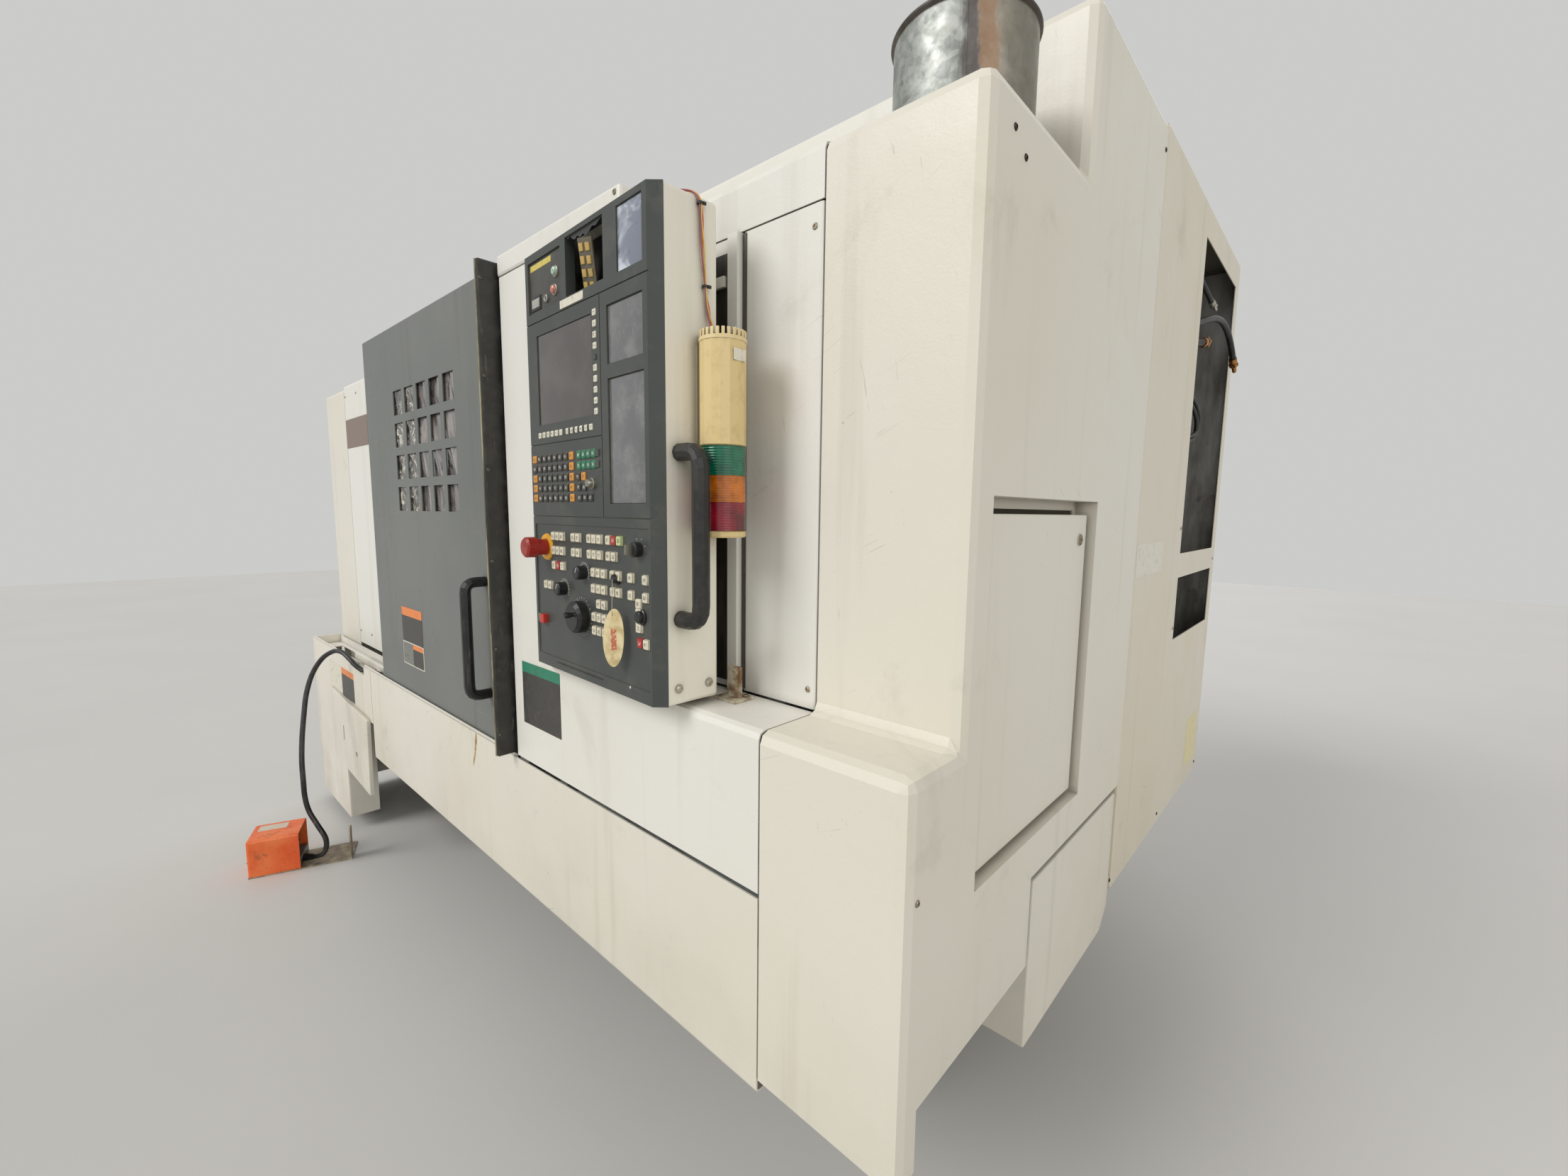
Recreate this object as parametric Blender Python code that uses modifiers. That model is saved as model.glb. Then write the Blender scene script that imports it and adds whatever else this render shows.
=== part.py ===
"""CNC turning lathe: a slant-bed machine in a sheet-metal enclosure, with a sliding door, a swivelling
operator panel, a signal tower, an exhaust duct, an electrical cabinet and a cabled foot switch.

Metres, +Z up. The origin is on the floor under the middle of the machine's box, X runs along the
spindle to the right, and Y runs from the operator's side to the back.
"""

import math

import bmesh
import bpy
from mathutils import Matrix, Vector

for leftover in list(bpy.data.objects):
    bpy.data.objects.remove(leftover, do_unlink=True)

# Overall size. The foot switch stands PEDAL_REACH in front of the lower covers.
LENGTH = 3.040
DEPTH = 1.940
HEIGHT = 2.120
PEDAL_REACH = 0.352
RIGHT = LENGTH / 2
FRONT = (PEDAL_REACH - DEPTH) / 2

# Sheet metal
SHEET = 0.003
SEAM = 0.003
FIT = 0.0003
FOLD_RADIUS = 0.012
CORNER_RADIUS = 0.018
FLANGE = 0.030
OVERRUN = 0.010

# Heights of the cover lines above the floor
APRON_BOTTOM = 0.419
LIP_HEIGHT = 0.748
PANEL_TOP = 0.742
LEDGE_HEIGHT = 1.001
REAR_RISE = 0.270
DECK_HEIGHT = HEIGHT - REAR_RISE
HEADER_DEPTH = 0.044
HEADER_BOTTOM = DECK_HEIGHT - HEADER_DEPTH
HEADSTOCK_COVER_DROP = 0.045
HEADSTOCK_COVER_HEIGHT = DECK_HEIGHT - HEADSTOCK_COVER_DROP
END_COVER_DROP = 0.057
END_COVER_HEIGHT = DECK_HEIGHT - END_COVER_DROP
FASCIA_DEPTH = 0.080
FASCIA_BOTTOM = DECK_HEIGHT - FASCIA_DEPTH
LEG_BOTTOM = 0.050

# Distances back from the front of the lower covers
LEDGE_DEPTH = 0.128
TALL_FRONT = 0.482
SIDE_DEPTH = 0.928
REAR_COVER_DEPTH = 1.600

# Distances left from the machine's right end
CORNER_WIDTH = 0.250
BAY_RIGHT = 0.420
COLUMN_RIGHT = 0.861
COLUMN_LEFT = 1.046
HEADER_RIGHT = 0.580
CABINET_WIDTH = 0.900
DOOR_RIGHT = 1.053
DOOR_LEFT = 2.066
CHAMBER_LEFT = 2.095
APRON_LEFT = 2.190
LEG_RIGHT = 2.600
STEP_LEFT = 2.746

# Spindle line and slant bed
SPINDLE_SHARE = 105 / 212
SPINDLE_HEIGHT = SPINDLE_SHARE * HEIGHT
SPINDLE_BACK = 0.530
SLANT = math.radians(45)
SPINDLE_UP_SLOPE = 0.290
SPINDLE_OFF_SLOPE = 0.270
SLOPE_LENGTH = 0.980
RAIL_HEIGHT = 0.030
RAIL_WIDTH = 0.060

COVER_WHITE = (0.75, 0.74, 0.70, 1.0)
DOOR_GREY = (0.20, 0.205, 0.195, 1.0)
TRIM_BLACK = (0.03, 0.03, 0.028, 1.0)
PANEL_CHARCOAL = (0.045, 0.05, 0.048, 1.0)
STEEL = (0.45, 0.45, 0.44, 1.0)
CASTING_GREY = (0.22, 0.24, 0.24, 1.0)
GALVANISED = (0.40, 0.41, 0.39, 1.0)
RUBBER_BLACK = (0.015, 0.015, 0.015, 1.0)
PEDAL_ORANGE = (0.80, 0.11, 0.02, 1.0)
TOWER_CREAM = (0.72, 0.60, 0.34, 1.0)
LENS_GREEN = (0.0, 0.15, 0.08, 1.0)
LENS_AMBER = (0.60, 0.17, 0.01, 1.0)
LENS_RED = (0.30, 0.01, 0.02, 1.0)
STOP_RED = (0.30, 0.03, 0.02, 1.0)
RING_YELLOW = (0.85, 0.50, 0.03, 1.0)
CLEAR_GREY = (0.35, 0.36, 0.34, 1.0)
KEY_IVORY = (0.60, 0.57, 0.47, 1.0)

PARTS = bpy.data.collections.new("cnc_turning_lathe")
CUTTERS = bpy.data.collections.new("cutters")
bpy.context.scene.collection.children.link(PARTS)
bpy.context.scene.collection.children.link(CUTTERS)
SIDE_NORMALS = {
    "right": Vector((1, 0, 0)),
    "left": Vector((-1, 0, 0)),
    "rear": Vector((0, 1, 0)),
    "front": Vector((0, -1, 0)),
    "top": Vector((0, 0, 1)),
    "bottom": Vector((0, 0, -1)),
}
ROUND_STEPS = 20


def at(from_right, from_front, height):
    """A point by its distance left of the right end, behind the front and above the floor."""
    return Vector((RIGHT - from_right, FRONT + from_front, height))


def on_slope(along, off, from_right):
    """A point by its distance up the bed's slope, off its face and left of the right end."""
    foot = slope_foot()
    back = foot[0] + along * math.cos(SLANT) - off * math.sin(SLANT)
    height = foot[1] + along * math.sin(SLANT) + off * math.cos(SLANT)
    return at(from_right, back, height)


def slope_foot():
    """Where the bed's slope starts, as distance behind the front and height."""
    back = SPINDLE_BACK - SPINDLE_UP_SLOPE * math.cos(SLANT) + SPINDLE_OFF_SLOPE * math.sin(SLANT)
    height = SPINDLE_HEIGHT - SPINDLE_UP_SLOPE * math.sin(SLANT) - SPINDLE_OFF_SLOPE * math.cos(SLANT)
    return back, height


def finish(name, colour, roughness=0.5, metallic=0.0):
    """A new material for one sub-part."""
    material = bpy.data.materials.new(name)
    material.use_nodes = True
    shader = material.node_tree.nodes["Principled BSDF"]
    shader.inputs["Base Color"].default_value = colour
    shader.inputs["Roughness"].default_value = roughness
    shader.inputs["Metallic"].default_value = metallic
    return material


def place(name, mesh, colour, roughness=0.5, metallic=0.0, parent=None):
    """An object for a finished mesh, in the lathe's collection."""
    part = bpy.data.objects.new(name, mesh)
    PARTS.objects.link(part)
    mesh.materials.append(finish(name, colour, roughness, metallic))
    part.parent = parent
    return part


def as_helper(helper):
    """Keeps a cutter or a piece to be joined out of the finished lathe."""
    for owner in list(helper.users_collection):
        owner.objects.unlink(helper)
    CUTTERS.objects.link(helper)
    helper.hide_render = True
    helper.display_type = "WIRE"
    return helper


def box_mesh(name, low, high, open_sides=()):
    """A box from its low to its high corner, without its open sides."""
    low, high = Vector(low), Vector(high)
    shape = bmesh.new()
    scale = Matrix.Diagonal((*(high - low), 1))
    bmesh.ops.create_cube(shape, size=1, matrix=Matrix.Translation((low + high) / 2) @ scale)
    shape.normal_update()
    unwanted = [
        face
        for face in shape.faces
        if any(face.normal.dot(SIDE_NORMALS[side]) > 0.5 for side in open_sides)
    ]
    bmesh.ops.delete(shape, geom=unwanted, context="FACES")
    mesh = bpy.data.meshes.new(name)
    shape.to_mesh(mesh)
    shape.free()
    return mesh


def rounded(part, radius, segments=2):
    bevel = part.modifiers.new("Folds", "BEVEL")
    bevel.width = radius
    bevel.segments = segments
    bevel.limit_method = "ANGLE"
    return part


def walled(part, wall=SHEET, offset=-1):
    """Gives an open surface its sheet thickness, inwards from its outer face."""
    solidify = part.modifiers.new("Sheet", "SOLIDIFY")
    solidify.thickness = wall
    solidify.offset = offset
    solidify.use_even_offset = True
    return part


def shell_box(name, low, high, open_sides, colour, radius=FOLD_RADIUS, wall=SHEET, parent=None):
    """A folded sheet cover: a box with open sides, rounded folds and the sheet's thickness."""
    part = place(name, box_mesh(name, low, high, open_sides), colour, parent=parent)
    return walled(rounded(part, radius), wall)


def solid_box(name, low, high, colour, radius=0, metallic=0.0, parent=None):
    part = place(name, box_mesh(name, low, high), colour, metallic=metallic, parent=parent)
    if radius:
        rounded(part, radius, 1)
    return part


def boolean(part, helper, operation, crossing=False):
    change = part.modifiers.new(helper.name, "BOOLEAN")
    change.operation = operation
    change.solver = "EXACT"
    change.use_self = crossing
    change.object = as_helper(helper)
    return part


def cut(part, helper, crossing=False):
    return boolean(part, helper, "DIFFERENCE", crossing)


def join(part, helper, crossing=False):
    return boolean(part, helper, "UNION", crossing)


def box_helper(name, low, high, parent=None):
    helper = bpy.data.objects.new(name, box_mesh(name, low, high))
    CUTTERS.objects.link(helper)
    helper.parent = parent
    return helper


def boxes_helper(name, boxes, parent=None):
    """One helper that holds a box for each pair of low and high corners."""
    shape = bmesh.new()
    for low, high in boxes:
        low, high = Vector(low), Vector(high)
        scale = Matrix.Diagonal((*(high - low), 1))
        bmesh.ops.create_cube(shape, size=1, matrix=Matrix.Translation((low + high) / 2) @ scale)
    mesh = bpy.data.meshes.new(name)
    shape.to_mesh(mesh)
    shape.free()
    helper = bpy.data.objects.new(name, mesh)
    CUTTERS.objects.link(helper)
    helper.parent = parent
    return helper


def rod_helper(name, centre, axis, radius, length, parent=None, steps=ROUND_STEPS):
    """A cylinder along a named side's direction, to cut with or to join."""
    shape = bmesh.new()
    bmesh.ops.create_cone(
        shape, cap_ends=True, segments=steps, radius1=radius, radius2=radius, depth=length
    )
    mesh = bpy.data.meshes.new(name)
    shape.to_mesh(mesh)
    shape.free()
    helper = bpy.data.objects.new(name, mesh)
    CUTTERS.objects.link(helper)
    helper.parent = parent
    helper.location = centre
    helper.rotation_euler = SIDE_NORMALS[axis].to_track_quat("Z", "Y").to_euler()
    return helper


def hood_mesh(name, outline, folded, inward):
    """A flat outline with walls folded back from some of its edges, as one open surface."""
    shape = bmesh.new()
    face = [shape.verts.new(point) for point in outline]
    shape.faces.new(face)
    back = {}
    for index in folded:
        for step in (index, (index + 1) % len(outline)):
            if step not in back:
                back[step] = shape.verts.new(Vector(outline[step]) + inward)
        after = (index + 1) % len(outline)
        shape.faces.new((face[after], face[index], back[index], back[after]))
    mesh = bpy.data.meshes.new(name)
    shape.to_mesh(mesh)
    shape.free()
    return mesh


def strip_mesh(name, path, along):
    """A path of points swept along one direction, as one open surface."""
    shape = bmesh.new()
    near = [shape.verts.new(point) for point in path]
    far = [shape.verts.new(Vector(point) + along) for point in path]
    for index in range(len(path) - 1):
        shape.faces.new((near[index], near[index + 1], far[index + 1], far[index]))
    mesh = bpy.data.meshes.new(name)
    shape.to_mesh(mesh)
    shape.free()
    return mesh


def outline_mesh(name, outline, depth):
    """A filled flat outline of the given depth, centred on its plane."""
    curve = bpy.data.curves.new(name, "CURVE")
    curve.dimensions = "2D"
    curve.fill_mode = "BOTH"
    curve.extrude = depth / 2
    spline = curve.splines.new("POLY")
    spline.points.add(len(outline) - 1)
    for point, (across, up) in zip(spline.points, outline):
        point.co = (across, up, 0, 1)
    spline.use_cyclic_u = True
    guide = bpy.data.objects.new(name + "_outline", curve)
    CUTTERS.objects.link(guide)
    bpy.context.view_layer.update()
    graph = bpy.context.evaluated_depsgraph_get()
    mesh = bpy.data.meshes.new_from_object(guide.evaluated_get(graph))
    bpy.data.objects.remove(guide)
    shape = bmesh.new()
    shape.from_mesh(mesh)
    bmesh.ops.remove_doubles(shape, verts=shape.verts, dist=FIT / 10)
    shape.to_mesh(mesh)
    shape.free()
    return mesh


def side_prism(name, outline, left, right, colour, metallic=0.0):
    """An outline of points behind the front and above the floor, extruded along the machine."""
    mesh = outline_mesh(name, outline, left - right)
    part = place(name, mesh, colour, metallic=metallic)
    part.location = at((left + right) / 2, 0, 0)
    part.rotation_euler = (math.pi / 2, 0, math.pi / 2)
    return part


def slope_outline(points):
    """Turns points along and off the slope into points behind the front and above the floor."""
    foot = slope_foot()
    return [
        (
            foot[0] + along * math.cos(SLANT) - off * math.sin(SLANT),
            foot[1] + along * math.sin(SLANT) + off * math.cos(SLANT),
        )
        for along, off in points
    ]


def turned(name, profile, centre, axis, colour, metallic=0.0, parent=None, steps=ROUND_STEPS, hollow=False):
    """A profile of radius and height, given top to bottom, turned about an axis."""
    shape = bmesh.new()
    points = [shape.verts.new((radius, 0, height)) for radius, height in profile]
    for first, second in zip(points, points[1:]):
        shape.edges.new((first, second))
    if hollow:
        shape.edges.new((points[-1], points[0]))
    mesh = bpy.data.meshes.new(name)
    shape.to_mesh(mesh)
    shape.free()
    part = place(name, mesh, colour, metallic=metallic, parent=parent)
    part.location = centre
    part.rotation_euler = SIDE_NORMALS[axis].to_track_quat("Z", "Y").to_euler()
    screw = part.modifiers.new("Turning", "SCREW")
    screw.steps = steps
    screw.render_steps = steps
    screw.use_merge_vertices = True
    screw.merge_threshold = FIT / 10
    screw.use_smooth_shade = True
    return part


def rounded_path(points, radius, steps):
    """A path through points, with each inner corner replaced by a round of the given radius."""
    points = [Vector(point) for point in points]
    path = [points[0]]
    for before, corner, after in zip(points, points[1:], points[2:]):
        start = corner + (before - corner).normalized() * radius
        end = corner + (after - corner).normalized() * radius
        for step in range(steps + 1):
            share = step / steps
            path.append(start.lerp(corner, share).lerp(corner.lerp(end, share), share))
    path.append(points[-1])
    return path


def tube(name, path, diameter, colour, parent=None, sides=2):
    """A round bar or cable along a path of points."""
    curve = bpy.data.curves.new(name, "CURVE")
    curve.dimensions = "3D"
    curve.bevel_depth = diameter / 2
    curve.bevel_resolution = sides
    curve.use_fill_caps = True
    spline = curve.splines.new("POLY")
    spline.points.add(len(path) - 1)
    for point, place_at in zip(spline.points, path):
        point.co = (*place_at, 1)
    part = bpy.data.objects.new(name, curve)
    PARTS.objects.link(part)
    curve.materials.append(finish(name, colour))
    part.parent = parent
    return part


def smooth_route(points, spacing):
    """Points read at an even spacing from a smooth curve through the route's own points."""
    points = [Vector(point) for point in points]
    ends = [points[0] * 2 - points[1], *points, points[-1] * 2 - points[-2]]
    fine = []
    for before, start, end, after in zip(ends, ends[1:], ends[2:], ends[3:]):
        pieces = max(2, round((end - start).length / spacing))
        for piece in range(pieces):
            share = piece / pieces
            fine.append(
                0.5
                * (
                    2 * start
                    + (end - before) * share
                    + (2 * before - 5 * start + 4 * end - after) * share**2
                    + (3 * start - before - 3 * end + after) * share**3
                )
            )
    return [*fine, points[-1]]


def make_right_end_cover():
    """The welded corner cover: front strip, ledge, deck, tall part and the whole right side."""
    return_width = 0.045
    front_bottom = 0.444
    side_bottom = 0.536
    flap_front = 0.411
    rear_edge = SIDE_DEPTH - SEAM / 2
    outline = [
        (0, front_bottom),
        (return_width, front_bottom),
        (return_width, side_bottom),
        (flap_front, side_bottom),
        (flap_front, FLAP_TOP + FLAP_GAP),
        (rear_edge, FLAP_TOP + FLAP_GAP),
        (rear_edge, HEIGHT),
        (TALL_FRONT, HEIGHT),
        (TALL_FRONT, DECK_HEIGHT),
        (LEDGE_DEPTH, DECK_HEIGHT),
        (LEDGE_DEPTH, LEDGE_HEIGHT),
        (0, LEDGE_HEIGHT),
    ]
    points = [at(0, back, height) for back, height in outline]
    inward = Vector((-(CORNER_WIDTH - SEAM / 2), 0, 0))
    mesh = hood_mesh("right_end_cover", points, (6, 7, 8, 9, 10, 11), inward)
    cover = walled(rounded(place("right_end_cover", mesh, COVER_WHITE), CORNER_RADIUS))
    # The service door's recess is a pan let into the side, open behind but for a stop flange.
    low, high = (SERVICE_FRONT, SERVICE_BOTTOM), (SERVICE_REAR, SERVICE_TOP)
    pan = box_helper(
        "recess_pan",
        at(RECESS_DEPTH, low[0] - SHEET, low[1] - SHEET),
        at(SHEET / 2, high[0] + SHEET, high[1] + SHEET),
    )
    join(cover, pan)
    cut(cover, box_helper("recess_mouth", at(RECESS_DEPTH - SHEET, *low), at(-OVERRUN, *high)))
    cut(
        cover,
        box_helper(
            "recess_back",
            at(RECESS_DEPTH + OVERRUN, low[0] + STOP_FLANGE, low[1] + STOP_FLANGE),
            at(RECESS_DEPTH / 2, high[0] - STOP_FLANGE, high[1] - STOP_FLANGE),
        ),
    )
    cut(
        cover,
        rod_helper(
            "duct_hole",
            at(DUCT_FROM_RIGHT, DUCT_BACK, DECK_HEIGHT),
            "top",
            DUCT_RADIUS - DUCT_WALL,
            2 * OVERRUN,
            steps=DUCT_STEPS,
        ),
    )
    return cover


# Service door in the right side
SERVICE_FRONT = 0.188
SERVICE_REAR = 0.633
SERVICE_BOTTOM = 0.777
SERVICE_TOP = 1.342
RECESS_DEPTH = 0.042
STOP_FLANGE = 0.016
SERVICE_GAP = 0.009
HAND_GAP = 0.024
SERVICE_INSET = 0.014
LOCK_RADIUS = 0.011


def make_service_door():
    """A flanged inner door, with a gap for the fingers along its top and a round lock."""
    back = RECESS_DEPTH - SHEET - FIT
    door = shell_box(
        "service_door",
        at(back, SERVICE_FRONT + SERVICE_GAP, SERVICE_BOTTOM + SERVICE_GAP),
        at(SERVICE_INSET, SERVICE_REAR - SERVICE_GAP, SERVICE_TOP - HAND_GAP),
        ("left",),
        COVER_WHITE,
        radius=SHEET,
    )
    lock_inset = 0.045
    lock = rod_helper(
        "service_lock",
        at(SERVICE_INSET, SERVICE_REAR - lock_inset, SERVICE_TOP - HAND_GAP - lock_inset),
        "right",
        LOCK_RADIUS,
        4 * SHEET / 3,
        steps=12,
    )
    return join(door, lock)


# Flap cover low in the right side
FLAP_FRONT = 0.423
FLAP_SETBACK = 0.021
FLAP_REAR = SIDE_DEPTH - FLAP_SETBACK
FLAP_BOTTOM = 0.369
FLAP_TOP = 0.687
FLAP_GAP = 0.013
FLAP_BOX_DEPTH = 0.100


def make_side_flap():
    flap = shell_box(
        "side_flap_cover",
        at(FLAP_BOX_DEPTH, FLAP_FRONT, FLAP_BOTTOM),
        at(0, FLAP_REAR, FLAP_TOP),
        ("left",),
        COVER_WHITE,
        radius=SHEET,
    )
    chamfer = 0.070
    corner = at(FLAP_BOX_DEPTH / 2, FLAP_REAR, FLAP_BOTTOM)
    clipper = box_helper(
        "flap_corner",
        Vector((-FLAP_BOX_DEPTH, -chamfer, -chamfer / 2)),
        Vector((FLAP_BOX_DEPTH, chamfer, chamfer / 2)),
    )
    clipper.location = corner
    clipper.rotation_euler = (math.radians(45), 0, 0)
    return cut(flap, clipper)


# Exhaust duct on the deck
DUCT_FROM_RIGHT = 0.134
DUCT_BACK = 0.307
DUCT_RADIUS = 0.104
DUCT_WALL = 0.002
DUCT_HEIGHT = 0.162
DUCT_TOP = DECK_HEIGHT + DUCT_HEIGHT
DUCT_FLANGE = 0.012
DUCT_RIM = 0.0045
DUCT_STEPS = 24


def make_duct():
    """A rolled-rim galvanised collar with a base flange, open right through."""
    foot = DECK_HEIGHT + FIT
    inner = DUCT_RADIUS - DUCT_WALL
    profile = [
        (inner, DUCT_TOP - DUCT_RIM / 2),
        (inner + DUCT_RIM / 2, DUCT_TOP),
        (DUCT_RADIUS + DUCT_RIM / 2, DUCT_TOP),
        (DUCT_RADIUS + DUCT_RIM, DUCT_TOP - DUCT_RIM / 2),
        (DUCT_RADIUS + DUCT_RIM, DUCT_TOP - 2 * DUCT_RIM),
        (DUCT_RADIUS, DUCT_TOP - 3 * DUCT_RIM),
        (DUCT_RADIUS, foot + DUCT_WALL),
        (DUCT_RADIUS + DUCT_FLANGE, foot + DUCT_WALL),
        (DUCT_RADIUS + DUCT_FLANGE, foot),
        (inner, foot),
    ]
    return turned(
        "exhaust_duct",
        profile,
        at(DUCT_FROM_RIGHT, DUCT_BACK, 0),
        "top",
        GALVANISED,
        metallic=0.8,
        steps=DUCT_STEPS,
        hollow=True,
    )


def add_hinge_plate(cover, name, bottom, top):
    """Welds one of the panel's hinge plates to a cover, with the hole for its pin."""
    front, back = -PIVOT_OUT - OVERRUN, LEDGE_DEPTH - FLANGE
    left, right = COLUMN_RIGHT - FIT, PIVOT_FROM_RIGHT - OVERRUN
    join(cover, box_helper(name + "_plate", at(left, front, bottom), at(right, back, top)))
    pin_at = at(PIVOT_FROM_RIGHT, -PIVOT_OUT, (bottom + top) / 2)
    radius = PIVOT_PIN_RADIUS + PIVOT_PIN_CLEARANCE
    return cut(cover, rod_helper(name + "_hole", pin_at, "top", radius, top - bottom + OVERRUN, steps=12))


def make_front_covers():
    """The L-shaped mid cover with its column and ledge, and the flat lower panel."""
    left, right = COLUMN_LEFT, CORNER_WIDTH + SEAM / 2
    bottom, top = LIP_HEIGHT + SEAM, HEADER_BOTTOM - SEAM
    outline = [
        at(left, 0, bottom),
        at(right, 0, bottom),
        at(right, 0, LEDGE_HEIGHT),
        at(COLUMN_RIGHT, 0, LEDGE_HEIGHT),
        at(COLUMN_RIGHT, 0, top),
        at(left, 0, top),
    ]
    inward = Vector((0, LEDGE_DEPTH - SEAM, 0))
    mesh = hood_mesh("front_mid_cover", outline, (2, 3, 5), inward)
    cover = walled(rounded(place("front_mid_cover", mesh, COVER_WHITE), FOLD_RADIUS))
    add_hinge_plate(cover, "lower_hinge", LEDGE_HEIGHT - SHEET / 2, LEDGE_HEIGHT + HINGE_PLATE)

    shell_box(
        "lower_front_panel",
        at(APRON_LEFT, 0, APRON_BOTTOM),
        at(right, FLANGE, PANEL_TOP),
        ("rear", "top", "left", "right"),
        COVER_WHITE,
        radius=2 * SHEET,
    )


def make_left_front_cover():
    """The cover left of the lower panel, with the leg that reaches down to the floor."""
    left, right = LENGTH, APRON_LEFT + SEAM
    hatch_top = 0.545
    outline = [
        at(left, 0, LEG_BOTTOM),
        at(LEG_RIGHT, 0, LEG_BOTTOM),
        at(LEG_RIGHT, 0, hatch_top),
        at(right, 0, hatch_top),
        at(right, 0, PANEL_TOP),
        at(left, 0, PANEL_TOP),
    ]
    inward = Vector((0, LEDGE_DEPTH - 2 * FOLD_RADIUS, 0))
    mesh = hood_mesh("left_front_cover", outline, (1, 5), inward)
    cover = walled(rounded(place("left_front_cover", mesh, COVER_WHITE), 2 * SHEET, 2))
    return cut(cover, cable_notch("cover_notch"))


def cable_notch(name):
    """The notch in the lip through which the foot switch's cable leaves, lower than the door."""
    front, back = -OVERRUN, 2 * SHEET + 2 * FIT
    return box_helper(name, at(NOTCH_LEFT, front, NOTCH_BOTTOM), at(NOTCH_RIGHT, back, LIP_HEIGHT + OVERRUN))


# Bent access plate that hangs askew on the left front cover
HATCH_LEFT = 2.735
HATCH_RIGHT = 2.225
HATCH_BOTTOM = 0.262
HATCH_TOP = 0.552
HATCH_TILT = math.radians(3.2)


def make_access_plate():
    width, height = HATCH_LEFT - HATCH_RIGHT, HATCH_TOP - HATCH_BOTTOM
    plate = shell_box(
        "left_access_plate",
        Vector((-width, -SHEET, -height)),
        Vector((0, FLANGE / 3, 0)),
        ("rear",),
        COVER_WHITE,
        radius=SHEET,
    )
    plate.location = at(HATCH_RIGHT, -FLANGE / 3 - FIT, HATCH_TOP)
    plate.rotation_euler = (0, HATCH_TILT, 0)
    slot_width, slot_height = 0.012, 0.060
    slot_share, grip_share = 0.62, 0.30
    slot = box_helper(
        "plate_slot",
        Vector((-width * slot_share - slot_width, -OVERRUN, -height / 2 - slot_height / 2)),
        Vector((-width * slot_share, OVERRUN / 2, -height / 2 + slot_height / 2)),
        plate,
    )
    cut(plate, slot)
    grip_radius = 0.011
    grip = rod_helper(
        "plate_hole",
        Vector((-width * grip_share, 0, -height * slot_share)),
        "front",
        grip_radius,
        2 * OVERRUN,
        plate,
        steps=12,
    )
    return cut(plate, grip)


# Gutter behind the lip, with the door's rail
GUTTER_FLOOR = 0.705
GUTTER_LEFT = LENGTH - FOLD_RADIUS
GUTTER_RIGHT = COLUMN_LEFT + SEAM
GUTTER_BACK = 0.106
HEADSTOCK_COVER_FRONT = 0.112
RAIL_LEFT = 2.590
RAIL_FRONT = 0.050
RAIL_THICKNESS = 0.010
DOOR_BOTTOM = 0.735


def make_gutter():
    """The trough behind the lip, which carries the door's rail and lets the swarf drain."""
    wall_line = SHEET + FIT + SHEET / 2
    path = [
        at(GUTTER_LEFT, wall_line, LIP_HEIGHT),
        at(GUTTER_LEFT, wall_line, GUTTER_FLOOR),
        at(GUTTER_LEFT, GUTTER_BACK, GUTTER_FLOOR),
        at(GUTTER_LEFT, GUTTER_BACK, DOOR_BOTTOM),
    ]
    mesh = strip_mesh("door_gutter", path, Vector((GUTTER_LEFT - GUTTER_RIGHT, 0, 0)))
    gutter = walled(place("door_gutter", mesh, COVER_WHITE), offset=0)
    pocket_left, pocket_right = 2.930, 2.600
    pocket_front, pocket_back = 0.012, 0.086
    cut(
        gutter,
        box_helper(
            "gutter_pocket",
            at(pocket_left, pocket_front, GUTTER_FLOOR - OVERRUN),
            at(pocket_right, pocket_back, GUTTER_FLOOR + OVERRUN),
        ),
    )
    cut(gutter, cable_notch("gutter_notch"))
    floor_top = GUTTER_FLOOR + SHEET / 2
    join(
        gutter,
        box_helper(
            "door_rail",
            at(RAIL_LEFT, RAIL_FRONT, GUTTER_FLOOR),
            at(GUTTER_RIGHT + SHEET, RAIL_FRONT + RAIL_THICKNESS, DOOR_BOTTOM - FIT),
        ),
    )
    radius = CABLE_DIAMETER / 2 + GLAND_WALL
    from_right, back, height = CABLE_ROUTE[0]
    gland = turned(
        "cable_gland",
        [
            (0, GLAND_LENGTH),
            (radius - GLAND_WALL / 2, GLAND_LENGTH),
            (radius, GLAND_LENGTH / 2),
            (radius, 0),
            (0, 0),
        ],
        at(from_right - FIT - GLAND_LENGTH, back, height),
        "left",
        TRIM_BLACK,
        steps=12,
    )
    return gland


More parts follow.
